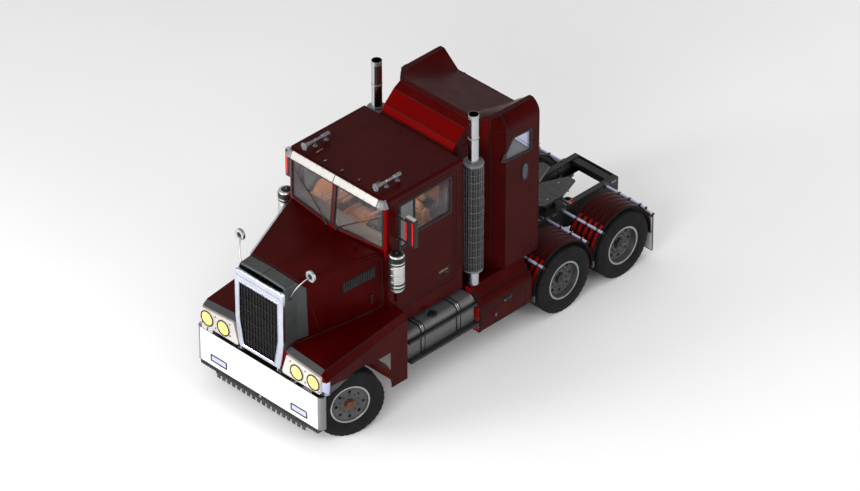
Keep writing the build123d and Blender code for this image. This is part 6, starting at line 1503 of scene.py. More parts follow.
def cleaner_details():
    for side, name in SIDES:
        origin = P(side * 1090, 866, 0)
        bm = new_mesh()
        # ribbed black lid with its wing nut
        lid = [(0.0, 2.5535), (0.055, 2.5525), (0.088, 2.548), (0.107, 2.534), (0.1135, 2.516)]
        z = 2.516
        while z > 2.40:
            lid += [(0.1195, z - 0.004), (0.1195, z - 0.014), (0.1165, z - 0.018), (0.1165, z - 0.022)]
            z -= 0.024
        lid += [(0.1165, 2.392)]
        add_turned(bm, lid, origin, UP, 56)
        add_turned(
            bm, [(0.014, 0), (0.014, 0.012), (0.008, 0.016), (0, 0.017)], origin + Vector((0, 0, 2.5525)),
            UP, 12, 1
        )
        for low, high, radius in ((2.066, 2.094, 0.1215), (2.006, 2.034, 0.1215)):
            add_turned(
                bm, [(0.116, low), (radius, low + 0.003), (radius, high - 0.003), (0.116, high)], origin,
                UP, 56
            )
            tip = origin + Vector((side * 0.06, -0.106, (low + high) / 2))
            add_tube(bm, [tip, tip + Vector((side * 0.03, 0.012, 0))], 0.006, 8, 1)
        add_turned(
            bm,
            [
                (0.0, 1.9485), (0.070, 1.9485), (0.090, 1.953), (0.0945, 1.965), (0.0945, 1.985),
                (0.110, 1.992), (0.1165, 2.000)
            ], origin, UP, 56, 2
        )
        finish_mesh(
            f"cleaner_fittings_{name}", bm, [black_plastic, nut_steel, cap_steel], angle=30
        )
        # rolled beads of the stainless body
        bm = new_mesh()
        for z in (2.125, 2.235, 2.345):
            add_turned(
                bm, [(0.1158, z - 0.007), (0.1178, z - 0.003), (0.1178, z + 0.003), (0.1158, z + 0.007)],
                origin, UP, 56
            )
        finish_mesh(f"cleaner_beads_{name}", bm, stainless, angle=60)


def stack_details():
    for side, name in SIDES:
        origin = P(side * 947, 2500, 0)
        # dark perforated sleeve just inside the cage
        bm = new_mesh()
        add_turned(
            bm, [(0.1374, 1.425), (0.1374, 3.195), (0.1350, 3.195), (0.1350, 1.425)], origin, UP, 72,
            closed=True
        )
        finish_mesh(f"stack_sleeve_{name}", bm, perforated, angle=60)
        # bright wires and rings of the guard
        bm = new_mesh()
        for k in range(24):
            a = math.radians(15 * k + 4)
            foot = origin + Vector((0.1452 * math.cos(a), 0.1452 * math.sin(a), 0))
            add_tube(bm, [foot + Vector((0, 0, 1.428)), foot + Vector((0, 0, 3.192))], 0.0026, 6)
        for k in range(15):
            z = 1.44 + k * (3.185 - 1.44) / 14
            big = k % 2 == 0
            r = 0.1462
            ring = [
                origin + Vector(
                    (r * math.cos(math.radians(t * 7.5)), r * math.sin(math.radians(t * 7.5)), z)
                ) for t in range(48)
            ]
            add_tube(bm, ring, 0.0042 if big else 0.0024, 6, closed=True)
        finish_mesh(f"stack_wires_{name}", bm, guard_wire, angle=60)
        # end rings, clamps, the rolled tip and the curved stub
        bm = new_mesh()
        for z in (1.412, 3.190):
            add_turned(
                bm,
                [
                    (0.078, z), (0.1462, z), (0.1485, z + 0.006), (0.1485, z + 0.016), (0.1462, z + 0.022),
                    (0.078, z + 0.022)
                ], origin, UP, 64, 1, closed=True
            )
        add_turned(
            bm, [(0.0725, 3.94), (0.0725, 3.9995), (0.0748, 4.0), (0.0772, 3.9975), (0.0772, 3.94)], origin,
            UP, 48, closed=True
        )
        for z in (3.225, 3.60):
            add_turned(
                bm, [(0.0762, z), (0.0795, z + 0.002), (0.0795, z + 0.024), (0.0762, z + 0.026)], origin,
                UP, 48
            )
            bolt = origin + Vector((side * 0.079, 0, z + 0.013))
            add_bolt(bm, bolt, (side, 0, 0), 0.006, 0.006, 1)
        add_turned(
            bm, [(0.0925, 1.375), (0.0965, 1.378), (0.0965, 1.402), (0.0925, 1.405)], origin, UP, 48, 1
        )
        finish_mesh(f"stack_fittings_{name}", bm, [pipe_steel, cap_steel], angle=30)
        # brackets from the sleeper's neck to the guard
        bm = new_mesh()
        for z in (1.75, 2.30, 2.85):
            add_box(bm, P(side * 700, 2470, z * 1000 - 22), P(side * 806, 2530, z * 1000 - 14))
            add_box(bm, P(side * 700, 2450, z * 1000 - 50), P(side * 708, 2550, z * 1000 + 30))
            for dy in (2470, 2530):
                add_bolt(bm, P(side * 708, dy, z * 1000 + 12), (side, 0, 0), 0.008, 0.007)
        finish_mesh(f"stack_brackets_{name}", bm, satin_black, bevel=0.002)


def perforated_metal():
    """Black sheet with rows of round holes as dark dimples."""
    g = Graph("perforated")
    cells = g.add("ShaderNodeTexVoronoi", Scale=70.0, Randomness=0.0)
    g.link(g.coords, cells.inputs["Vector"])
    hole = g.ramp(cells.outputs["Distance"], 0.28, 0.36)
    g.put("Base Color", g.mix(hole, (0.0015, 0.0015, 0.0015), (0.018, 0.018, 0.019)))
    g.put("Metallic", 0.6)
    g.put("Roughness", g.ramp(hole, 0.0, 1.0, (0.9, 0.38)))
    g.bump(hole, 0.6, 0.002)
    return g.material


perforated = perforated_metal()
guard_wire = bright("guard_wire", (0.26, 0.27, 0.28), 0.25)
lens_smoke = coated("lens_smoke", (0.05, 0.012, 0.003), 0.14, 0.8, 0.0, 0.05, 0.05, None, 0.0)

# the cage behind the wires is black, the pipe stays bright
cage = Graph("stack_body")
offset_x = cage.math("SUBTRACT", cage.math("ABSOLUTE", cage.axis("X")), 0.947)
offset_y = cage.math("SUBTRACT", cage.axis("Y"), st(2.5))
distance = cage.math(
    "SQRT", cage.math("ADD", cage.math("POWER", offset_x, 2.0), cage.math("POWER", offset_y, 2.0))
)
is_cage = cage.ramp(distance, 0.1, 0.105)
streaks = cage.noise(60.0, 4.0, (1, 1, 0.1))
cage.put(
    "Base Color",
    cage.mix(is_cage, cage.mix(streaks, (0.34, 0.35, 0.37), (0.56, 0.57, 0.6)), (0.012, 0.012, 0.013))
)
cage.put("Metallic", cage.ramp(is_cage, 0.0, 1.0, (1.0, 0.2)))
cage.put(
    "Roughness",
    cage.math("ADD", cage.ramp(streaks, 0.2, 0.8, (0.1, 0.22)), cage.math("MULTIPLY", is_cage, 0.2))
)
cage.bump(streaks, 0.08, 0.0006)
NODES["exhaust_stacks"].data.materials[0] = cage.material

roof_details()
visor_details()
cleaner_details()
stack_details()

# ------------------------------------------------------------------ sleeper
def caster(*nodes):
    """Casts rays at CAD nodes; the point hit is lifted towards the ray's start."""
    corners, polygons = [], []
    for node in nodes:
        mesh = NODES[node].data
        first = len(corners)
        corners.extend(v.co.copy() for v in mesh.vertices)
        polygons.extend([first + i for i in p.vertices] for p in mesh.polygons)
    tree = BVHTree.FromPolygons(corners, polygons)

    def hit(start, towards, lift=0.0):
        start = Vector(start)
        direction = (Vector(towards) - start).normalized()
        point = tree.ray_cast(start, direction)[0]
        return None if point is None else point - direction * lift

    return hit


def add_cast_seam(bm, rays, hit, width=0.003, lift=0.0):
    """A seam where a row of rays meets the surface."""
    points = [hit(a, b, lift) for a, b in rays]
    add_tube(bm, [p for p in points if p is not None], width * SEAM_SPREAD, 6)


SHOULDER_AXIS = (700, 3330)


def sleeper_seams():
    hit = caster("sleeper_shell")
    bm = new_mesh()
    for side in (1, -1):
        # panel joints down the side, carried over the shoulder to the roof's crest
        for y, low in ((2905, 1190), (3060, 1182)):
            rays = [(P(side * 2000, y, z), P(0, y, z)) for z in span(low, 3440, 24)]
            for turn in span(8, 78, 14):
                a = math.radians(turn)
                out = P(
                    side * (SHOULDER_AXIS[0] + 1500 * math.cos(a)), y, SHOULDER_AXIS[1] + 1500 * math.sin(a)
                )
                rays.append((out, P(side * SHOULDER_AXIS[0], y, SHOULDER_AXIS[1])))
            add_cast_seam(bm, rays, hit)
        # joint between side and roof, and the crest's line
        add_cast_seam(bm, [(P(side * 2000, y, 3478), P(0, y, 3478)) for y in span(2930, 3712, 20)], hit)
        add_cast_seam(
            bm, [(P(side * 905, y, 5000), P(side * 905, y, 0)) for y in span(2830, 3712, 20)], hit, 0.0025
        )
        # creases down the cheeks of the fairing
        add_cast_seam(
            bm,
            [
                (
                    P(side * (850 - (z - 3300) * 0.2), 1500, z), P(side * (850 - (z - 3300) * 0.2), 4000, z)
                ) for z in span(3290, 3670, 16)
            ], hit, 0.0025
        )
        # sill line above the side box
        add_cast_seam(
            bm, [(P(side * 2000, y, 1192), P(0, y, 1192)) for y in span(2740, 3712, 24)], hit, 0.0025
        )
    # joints across the fairing's face
    for z in (3338, 3432, 3606, 3676):
        add_cast_seam(bm, [(P(x, 1500, z), P(x, 4000, z)) for x in span(-850, 850, 30)], hit)
    finish_mesh("sleeper_seams", bm, seam_black)


def bunk_window_details():
    for side, name in SIDES:
        outline = round_corners([(2970, 2990), (3200, 3310), (3560, 3290), (3560, 2940)], 42, 6)
        line = [P(side * 1030.4, y, z) for y, z in outline]
        bm = new_mesh()
        add_ribbon(bm, line, (side, 0, 0), 0.034, 0.007)
        finish_mesh(f"bunk_window_seal_{name}", bm, black_rubber, angle=50)
        # painted light and shade inside the pane: a darker grey lower plate and a lilac-lit upper plate
        # split on a diagonal, with rods along the split and a small yellow knob
        bm = new_mesh()
        lower = [(2985, 2985), (3198, 3290), (3550, 2945)]
        upper = [(3210, 3302), (3550, 3284), (3550, 2962)]
        for corners, material, inset in ((lower, 0, 26), (upper, 1, 34)):
            add_plate(
                bm, [P(side * (FLANK_X - inset), y, z) for y, z in corners], (side, 0, 0), 0.003, material
            )
        add_tube(bm, [P(side * 1001, 3202, 3298), P(side * 1001, 3550, 2954)], 0.006, 10, 2)
        add_tube(bm, [P(side * 1001, 3290, 3262), P(side * 1001, 3550, 3004)], 0.004, 8, 2)
        add_turned(
            bm, [(0, 0.004), (0.014, 0.003), (0.015, 0)], P(side * 1003, 3212, 3282), (side, 0, 0), 14, 3
        )
        finish_mesh(
            f"bunk_window_lit_panels_{name}", bm, [window_lower_grey, lens_lilac, satin_black, lens_yellow],
        )


def sleeper_side_details():
    hit = caster("sleeper_shell")
    for side, name in SIDES:
        # oval grille with slats, below the window
        bm = new_mesh()
        centre = P(side * FLANK_X, 3434, 2634)
        rim = []
        for i in range(40):
            a = 2 * math.pi * i / 40
            rim.append(
                centre + Vector(
                    (0, 0.060 * math.cos(a), 0.138 * math.copysign(abs(math.sin(a)) ** 0.8, math.sin(a)))
                )
            )
        add_plate(bm, rim, (side, 0, 0), 0.004)
        add_ribbon(bm, [p + Vector((side * 0.003, 0, 0)) for p in rim], (side, 0, 0), 0.016, 0.008, 1)
        for i in range(11):
            dz = -0.105 + i * 0.021
            reach = 0.048 * math.sqrt(max(0.0, 1 - (dz / 0.135) ** 2))
            slat = Matrix.Translation(
                centre + Vector((side * 0.007, 0, dz))
            ) @ Matrix.Rotation(side * math.radians(-30), 4, "Y")
            add_box(bm, (-0.004, -reach, -0.007), (0.004, reach, 0.007), 0, slat)
        finish_mesh(f"sleeper_grille_{name}", bm, [grille_slate, black_rubber], bevel=0.0008)
        # small side lamp near the rear sill
        bm = new_mesh()
        lamp = P(side * FLANK_X, 3573, 1290)
        pad = [lamp + Vector((0, x, y)) for x, y in rounded_rect(0.13, 0.056, 0.026, 6)]
        add_plate(bm, pad, (side, 0, 0), 0.006)
        lens = [lamp + Vector((side * 0.006, x, y)) for x, y in rounded_rect(0.104, 0.034, 0.016, 6)]
        add_plate(bm, lens, (side, 0, 0), 0.007, 1)
        finish_mesh(f"sleeper_side_lamp_{name}", bm, [satin_black, paint], bevel=0.002)
        # marker on the rear edge
        bm = new_mesh()
        add_box(bm, (side * 1.018, st(3.700), 2.90), (side * 1.036, st(3.724), 2.98))
        add_box(bm, (side * 1.030, st(3.708), 2.912), (side * 1.0385, st(3.7275), 2.968), 1)
        finish_mesh(f"sleeper_marker_{name}", bm, [black_plastic, lens_amber], bevel=0.003)
        # grab handle behind the door
        bm = new_mesh()
        grip = [(2800, 2050), (2830, 2052), (2842, 2090), (2842, 2600), (2830, 2640), (2800, 2642)]
        points = []
        for y, z in grip:
            base = hit(P(side * 2000, 2802, z), P(0, 2802, z))
            points.append(base + Vector((side * (y - 2800) / 1000 * 1.4, 0, 0)))
        add_tube(bm, curve_points(points, 6), 0.014, 12)
        for end in (points[0], points[-1]):
            add_turned(
                bm, [(0.028, -0.004), (0.028, 0.004), (0.02, 0.01), (0, 0.01)], end, (side, 0, 0), 20
            )
        finish_mesh(f"sleeper_grab_bar_{name}", bm, pipe_steel)


def sleeper_rear_details():
    # pressed swages, window and working lamp on the rear wall
    bm = new_mesh()
    for i in range(7):
        x = -780 + i * 260
        if abs(x) < 10:
            continue
        swage = upright_rect(x, REAR_WALL - 0.5, 2180, 0.07, 1.62, 0.034, 6)
        add_plate(bm, swage, BACK, 0.009)
    finish_mesh("sleeper_rear_swages", bm, paint, bevel=0.006, segments=3)
    bm = new_mesh()
    pane = (3040, 0.42, 0.30, 0.05, 6)
    add_plate(bm, upright_rect(0, REAR_WALL - 0.5, *pane), BACK, 0.004, 1)
    add_ribbon(bm, upright_rect(0, REAR_WALL, *pane), BACK, 0.03, 0.012)
    for x in (-520, 520):
        base = P(x, REAR_WALL, 3330)
        add_box(bm, base + Vector((-0.03, -0.001, -0.02)), base + Vector((0.03, 0.03, 0.02)))
        add_turned(
            bm, [(0, 0), (0.062, 0), (0.07, 0.012), (0.07, 0.05), (0.062, 0.056)],
            base + Vector((0, 0.03, -0.01)), (0, 1, -0.25), 28
        )
        add_turned(
            bm, [(0.062, 0.05), (0.05, 0.058), (0, 0.06)], base + Vector((0, 0.03, -0.01)), (0, 1, -0.25),
            28, 2
        )
    finish_mesh("sleeper_rear_window", bm, [black_rubber, night_glass, lens_lilac], angle=50)
    # air and power couplings on a bolted plate
    bm = new_mesh()
    board = upright_rect(0, REAR_WALL - 0.5, 1620, 0.52, 0.26, 0.03, 5)
    add_plate(bm, board, BACK, 0.006)
    for i, (x, material) in enumerate(((-180, 1), (-60, 2), (70, 3), (190, 3))):
        seat = P(x, REAR_WALL + 5, 1630)
        add_turned(
            bm,
            [
                (0.036, 0), (0.036, 0.012), (0.026, 0.014), (0.026, 0.05), (0.032, 0.052), (0.032, 0.06),
                (0, 0.06)
            ], seat, BACK, 24, material
        )
        add_box(bm, seat + Vector((-0.006, 0.05, 0.02)), seat + Vector((0.006, 0.064, 0.062)), material)
    for x in (-235, 235):
        for z in (1515, 1725):
            add_bolt(bm, P(x, REAR_WALL + 5, z), BACK, 0.009, 0.007, 3)
    finish_mesh(
        "coupling_board", bm, [satin_black, lens_red, coupling_blue, nut_steel], bevel=0.0012
    )
    # seam round the rear wall
    hit = caster("sleeper_shell")
    bm = new_mesh()
    edge = []
    for turn in span(-38, 218, 60):
        a = math.radians(turn)
        edge.append((P(1020 * math.cos(a) * 1.4, 3700, 2400 + 1500 * math.sin(a) * 1.4), P(0, 3700, 2400)))
    add_cast_seam(bm, edge, hit, 0.0022)
    finish_mesh("sleeper_rear_seam", bm, seam_black)


# painted shade: the grey of the bunk window's darker lower part
window_lower_grey = woven("window_lower_grey", (0.075, 0.08, 0.095), 0.01)
grille_slate = coated(
    "grille_slate", (0.055, 0.065, 0.085), 0.4, 0.2, 0.2, 0.08, 0.1, (0.2, 0.22, 0.25), 0.1
)
coupling_blue = coated("coupling_blue", (0.02, 0.06, 0.35), 0.3, 0.4, 0.0, 0.08, 0.1, None, 0.1)
night_glass = coated("night_glass", (0.02, 0.022, 0.026), 0.06, 0.8, 0.0, 0.03, 0.05, None, 0.05)
sleeper_seams()
bunk_window_details()
sleeper_side_details()
sleeper_rear_details()

# ------------------------------------------------------------------ tanks, steps and side boxes
TANK_MID = (825, 855)
TANK_HALF = (305, 245)
TANK_CORNER = 90


def tank_ring(y, lift):
    """Points round a tank's section at station y."""
    width, height = (2 * (half + lift) / 1000 for half in TANK_HALF)
    outline = rounded_rect(width, height, (TANK_CORNER + lift) / 1000, 8)
    return [P(TANK_MID[0] + x * 1000, y, TANK_MID[1] + z * 1000) for x, z in outline]


def mirror_x(points, side):
    return [Vector((p.x * side, p.y, p.z)) for p in points]


def tank_details():
    for side, name in SIDES:
        # rubber edges and polished middles of the straps
        bm = new_mesh()
        for y in (1330, 2030):
            for edge in (-36, 36):
                add_tube(bm, mirror_x(tank_ring(y + edge, 5), side), 0.0075, 8, closed=True)
            for edge in (-16, 16):
                add_tube(bm, mirror_x(tank_ring(y + edge, 5.5), side), 0.0025, 6, 1, closed=True)
            # tee bolt that draws the strap tight
            low = P(side * 640, y, 600)
            add_turned(
                bm, [(0, 0), (0.012, 0), (0.012, 0.05), (0, 0.05)], low + Vector((0, 0, -0.045)), UP, 12, 1
            )
            add_bolt(bm, low + Vector((0, 0, -0.045)), (0, 0, -1), 0.016, 0.014, 1)
            add_box(bm, low + Vector((-0.03, -0.03, -0.02)), low + Vector((0.03, 0.03, -0.006)), 2)
            # bolts through the bracket into the rail
            for z in (790, 860, 930):
                for dy in (-38, 38):
                    add_bolt(bm, P(side * 545, y + dy, z), (side, 0, 0), 0.012, 0.01, 2)
        finish_mesh(
            f"tank_strap_trim_{name}", bm, [black_rubber, strap_steel, satin_black], angle=50
        )
        # weld beads round both end caps
        bm = new_mesh()
        for y in (1054, 2321):
            ring = tank_ring(y, 0.4)
            bead = []
            for a, b in zip(ring, ring[1:] + ring[:1]):
                for k in range(6):
                    bead.append(a.lerp(b, k / 6))
            add_tube(
                bm, mirror_x(bead, side), [0.0032 + 0.0009 * (i % 2) for i in range(len(bead))], 6,
                closed=True
            )
        # swaged panel on the outer face
        for low_y, high_y in ((1085, 1275), (1385, 1975), (2085, 2300)):
            for z in (745, 775, 885):
                add_tube(bm, [P(side * 1130, low_y + 15, z), P(side * 1130, high_y - 15, z)], 0.003, 6)
        finish_mesh(f"tank_welds_{name}", bm, tank_weld)
        # filler neck and locking cap, and the drain plug
        bm = new_mesh()
        neck = P(side * 1040, 1600, 1096)
        add_turned(
            bm, [(0.058, -0.01), (0.058, 0.012), (0.05, 0.014), (0.05, 0.03), (0, 0.03)], neck,
            (side * 0.12, 0, 1), 28, 1
        )
        add_turned(
            bm, [(0.06, 0.02), (0.064, 0.026), (0.064, 0.05), (0.058, 0.058), (0, 0.061)], neck,
            (side * 0.12, 0, 1), 28
        )
        for i in range(14):
            a = 2 * math.pi * i / 14
            add_box(
                bm,
                neck + Vector(
                    (0.064 * math.cos(a) - 0.003 + side * 0.004, 0.064 * math.sin(a) - 0.003, 0.024)
                ),
                neck + Vector(
                    (0.064 * math.cos(a) + 0.003 + side * 0.004, 0.064 * math.sin(a) + 0.003, 0.05)
                )
            )
        add_box(bm, neck + Vector((-0.05, -0.01, 0.058)), neck + Vector((0.05, 0.01, 0.072)))
        add_tube(
            bm,
            [
                neck + Vector((0.06, 0.0, 0.03)), neck + Vector((0.02, 0.09, 0.008)),
                neck + Vector((-0.03, 0.12, 0.006))
            ], 0.002, 6, 1
        )
        add_turned(
            bm, [(0.022, 0.004), (0.022, -0.006), (0.014, -0.008), (0.014, -0.02), (0, -0.02)],
            P(side * 825, 1680, 610), UP, 6, 1
        )
        finish_mesh(f"tank_filler_{name}", bm, [black_plastic, strap_steel], bevel=0.001)
        # fuel pipe from the tank's top to the rail
        bm = new_mesh()
        route = [
            (700, 1180, 1098), (700, 1180, 1130), (640, 1190, 1146), (560, 1200, 1130), (500, 1200, 1060),
            (450, 1200, 990)
        ]
        add_tube(bm, curve_points([P(side * x, y, z) for x, y, z in route], 8), 0.009, 10)
        add_turned(
            bm, [(0.02, 0), (0.02, 0.014), (0.014, 0.016), (0.014, 0.03), (0, 0.03)],
            P(side * 700, 1180, 1098), UP, 6, 1
        )
        finish_mesh(f"fuel_pipe_{name}", bm, [black_rubber, strap_steel])


def step_details():
    # cleats, end caps and bolts along the running boards
    for side, name in SIDES:
        bm = new_mesh()
        for outer, top, depth, height in ((1184, 1000, 46, 36), (1222, 690, 84, 40)):
            for i in range(44):
                y = 1040 + i * 30
                add_box(
                    bm, P(side * (outer - depth + 5), y, top - 1), P(side * (outer - 4), y + 11, top + 4.5)
                )
                add_box(
                    bm, P(side * (outer - 1), y, top - height + 6), P(side * (outer + 3.5), y + 11, top - 5)
                )
            for y in (1026, 2349):
                add_box(
                    bm, P(side * (outer - depth - 2), y - 5, top - height - 2),
                    P(side * (outer + 3), y + 5, top + 3), 1
                )
            for y in (1330, 2030):
                for dy in (-18, 18):
                    add_bolt(
                        bm, P(side * (outer - depth / 2), y + dy, top - height + 1), (0, 0, -1), 0.009,
                        0.008, 2
                    )
        finish_mesh(
            f"step_cleats_{name}", bm, [satin_black, black_rubber, nut_steel], bevel=0.0012,
            segments=1
        )


BOX_FACE_X = 1200


def box_arc(side, y, lift):
    """Outer edge of the side box's section from its foot to the ledge."""
    line = [P(side * (1150 + lift * 0.3), y, 460 - lift)]
    for k in range(1, 6):
        a = math.radians(-90 + 90 * k / 5)
        line.append(P(side * (1150 + (50 + lift) * math.cos(a)), y, 510 + (50 + lift) * math.sin(a)))
    line.append(P(side * (BOX_FACE_X + lift), y, 870))
    for k in range(1, 11):
        t = k / 10
        x = BOX_FACE_X + lift - 95 * t ** 1.9
        z = 870 + 150 * t + lift * t
        line.append(P(side * x, y, z))
    line.append(P(side * (1062 + lift), y, 1095 + lift * 0.5))
    line.append(P(side * (1022 + lift), y, 1166))
    return line


def side_box_details():
    hit = caster("side_boxes")
    for side, name in SIDES:
        bm = new_mesh()
        for z, low_y, high_y, lift in ((872, 2412, 3412, 0), (1018, 2412, 3412, 0), (760, 2500, 3300, 0)):
            rays = [(P(side * 2000, y, z), P(0, y, z)) for y in span(low_y, high_y, 12)]
            add_cast_seam(bm, rays, hit, 0.003, lift)
        # rounded outline of the locker door
        door = round_corners([(2520, 505), (2520, 835), (3310, 835), (3310, 505)], 55, 7)
        add_tube(bm, [P(side * 1200, y, z) for y, z in door], 0.006, 6, closed=True)
        # seams where the box's ends turn in
        for y in (2418, 3407):
            add_cast_seam(
                bm,
                [
                    (
                        P(
                            side * (800 + 1500 * math.cos(math.radians(a))), y,
                            800 + 1500 * math.sin(math.radians(a))
                        ), P(side * 800, y, 800)
                    ) for a in span(-42, 46, 40)
                ], hit, 0.003
            )
        finish_mesh(f"side_box_seams_{name}", bm, seam_black)

        # handle in a pocket, round latch, hinges
        bm = new_mesh()
        pocket = [
            P(side * 1199.6, 2945 + a * 1000, 800 + b * 1000) for a, b in rounded_rect(0.17, 0.062, 0.02, 5)
        ]
        add_plate(bm, pocket, (side, 0, 0), 0.004)
        add_box(bm, P(side * 1200, 2885, 790), P(side * 1216, 3005, 816))
        add_turned(
            bm, [(0.012, 0), (0.012, 0.014), (0.009, 0.017), (0, 0.017)], P(side * 1204, 2873, 803),
            (side, 0, 0), 16, 1
        )
        ring = P(side * 1200, 2700, 640)
        add_turned(
            bm, [(0.043, -0.002), (0.046, 0.004), (0.046, 0.008), (0.037, 0.009), (0.035, 0.003)], ring,
            (side, 0, 0), 30
        )
        add_turned(bm, [(0.035, 0.002), (0.028, 0.005), (0, 0.006)], ring, (side, 0, 0), 30, 2)
        add_box(
            bm, ring + Vector((side * 0.005, -0.006, -0.026)), ring + Vector((side * 0.012, 0.006, 0.026)),
            1
        )
        for y in (2640, 3190):
            add_turned(
                bm, [(0, -0.045), (0.009, -0.045), (0.009, 0.045), (0, 0.045)], P(side * 1203, y, 505),
                BACK, 12
            )
        finish_mesh(
            f"side_box_latches_{name}", bm, [satin_black, nut_steel, paint], bevel=0.001
        )

        # painted light: a brighter red plate on the box's front face, where the front light falls, framed
        # in black, with a folded rim
        bm = new_mesh()
        face = box_arc(side, 2399.4, -26)
        inner = [P(side * 900, 2399.4, 1140), P(side * 900, 2399.4, 486)]
        add_plate(bm, [*face[:-1], P(side * 1000, 2399.4, 1140), *inner], FRONT, 0.004)
        finish_mesh(f"side_box_face_{name}", bm, painted_lit_red, bevel=0.001)
        bm = new_mesh()
        add_tube(bm, box_arc(side, 2398, -20), 0.0065, 8)
        add_tube(bm, box_arc(side, 2399, -4), 0.008, 8)
        for x, z in ((1176, 560), (1176, 720), (1176, 860), (1100, 985), (1000, 500), (1100, 500)):
            add_bolt(bm, P(side * x, 2395, z), FRONT, 0.008, 0.006, 1)
        finish_mesh(f"side_box_rim_{name}", bm, [seam_black, nut_steel])


strap_steel = bright("strap_steel", (0.5, 0.51, 0.53), 0.2)
tank_weld = bright("tank_weld", (0.24, 0.24, 0.25), 0.35)
# painted light: the brighter red that front-facing faces show under the front light
painted_lit_red = coated("painted_lit_red", (0.3, 0.0005, 0.0005), 0.32, 0.2, 0.0, 0.08, 0.1, (0.5, 0.05, 0.04), 0.1)
tank_details()
step_details()
side_box_details()

# ------------------------------------------------------------------ drive fenders and flaps
FENDER_ARC = 598
FENDER_FOOT = 450
RIB_PITCH = (1172 - 650) / 5
BAR_OFFSET = 626.2 * math.sin(math.radians(45))


def fender_arc(x, axle, radius):
    """A line over the fender at x, from its front foot to its rear foot."""
    feet = (FENDER_FOOT, (FENDER_FOOT + AXLE_HEIGHT) / 2)
    line = [P(x, axle - radius, z) for z in feet]
    for a in span(0, math.pi, 41):
        line.append(P(x, axle - radius * math.cos(a), AXLE_HEIGHT + radius * math.sin(a)))
    line += [P(x, axle + radius, z) for z in reversed(feet)]
    return line


def drive_fender_details():
    for side, name in SIDES:
        for number, axle in enumerate(DRIVE_AXLES, start=1):
            # dark grooves at the foot of every rib
            bm = new_mesh()
            for rib in range(5):
                middle = 650 + (rib + 0.5) * RIB_PITCH
                for edge in (-1, 1):
                    x = side * (middle + edge * (RIB_PITCH / 4 + 4))
                    add_tube(bm, fender_arc(x, axle, FENDER_ARC + 0.5), 0.0075, 6)
            finish_mesh(f"fender_grooves_{name}_{number}", bm, seam_black)
            # rolled outer edge
            bm = new_mesh()
            for x in (652, 1170):
                add_tube(bm, fender_arc(side * x, axle, FENDER_ARC - 1), 0.008, 10)
            finish_mesh(f"fender_edges_{name}_{number}", bm, seam_black)
            # painted light: bright-red bands that follow the ribs on the fender's front fall, where the
            # front light falls
            bm = new_mesh()
            for rib in range(5):
                middle = 650 + (rib + 0.5) * RIB_PITCH
                line = fender_arc(side * middle, axle, FENDER_ARC + 7.4)[2:15]
                width = RIB_PITCH / 2000 - 0.006
                rows = [
                    (
                        bm.verts.new(p + Vector((-width / 2, 0, 0))),
                        bm.verts.new(p + Vector((width / 2, 0, 0)))
                    ) for p in line
                ]
                skin_rows(bm, rows)
            finish_mesh(f"fender_bands_{name}_{number}", bm, painted_lit_red)
            # dark end blocks, bolts through the bars, black bar ends
            bm = new_mesh()
            front = axle - FENDER_ARC
            add_box(bm, P(side * 1050, front - 12, 425), P(side * 1185, front + 22, 530))
            add_box(bm, P(side * 640, front - 8, 435), P(side * 1050, front + 14, 462))
            rear = axle + FENDER_ARC
            add_box(bm, P(side * 640, rear - 14, 435), P(side * 1185, rear + 10, 466))
            for bar_end in (-1, 1):
                y = axle + bar_end * BAR_OFFSET
                z = AXLE_HEIGHT + BAR_OFFSET
                tip = P(side * 1222, y, z)
                add_turned(
                    bm, [(0.021, -0.012), (0.0235, -0.01), (0.0235, 0.004), (0.019, 0.009), (0, 0.01)], tip,
                    (side, 0, 0), 20, 1
                )
                for x in (700, 905, 1110):
                    clamp = P(side * x, y, z)
                    add_turned(
                        bm, [(0.0212, -0.018), (0.0245, -0.016), (0.0245, 0.016), (0.0212, 0.018)], clamp,
                        (side, 0, 0), 22
                    )
                    out = Vector((0, bar_end, 1)).normalized()
                    add_bolt(bm, clamp + out * 0.023, out, 0.009, 0.008, 2)
                root = P(side * 430, y, z)
                add_turned(
                    bm, [(0.021, 0.03), (0.034, 0.02), (0.05, 0.008), (0.05, 0), (0, 0)], root,
                    (side, 0, 0), 22
                )
            # upright that carries each bar above the rail
            for bar_end in (-1, 1):
                y = axle + bar_end * BAR_OFFSET
                add_box(bm, P(side * 400, y - 45, 1001), P(side * 436, y + 45, 1008))
            finish_mesh(
                f"fender_fixings_{name}_{number}", bm, [end_grey, black_rubber, nut_steel],
                bevel=0.002
            )


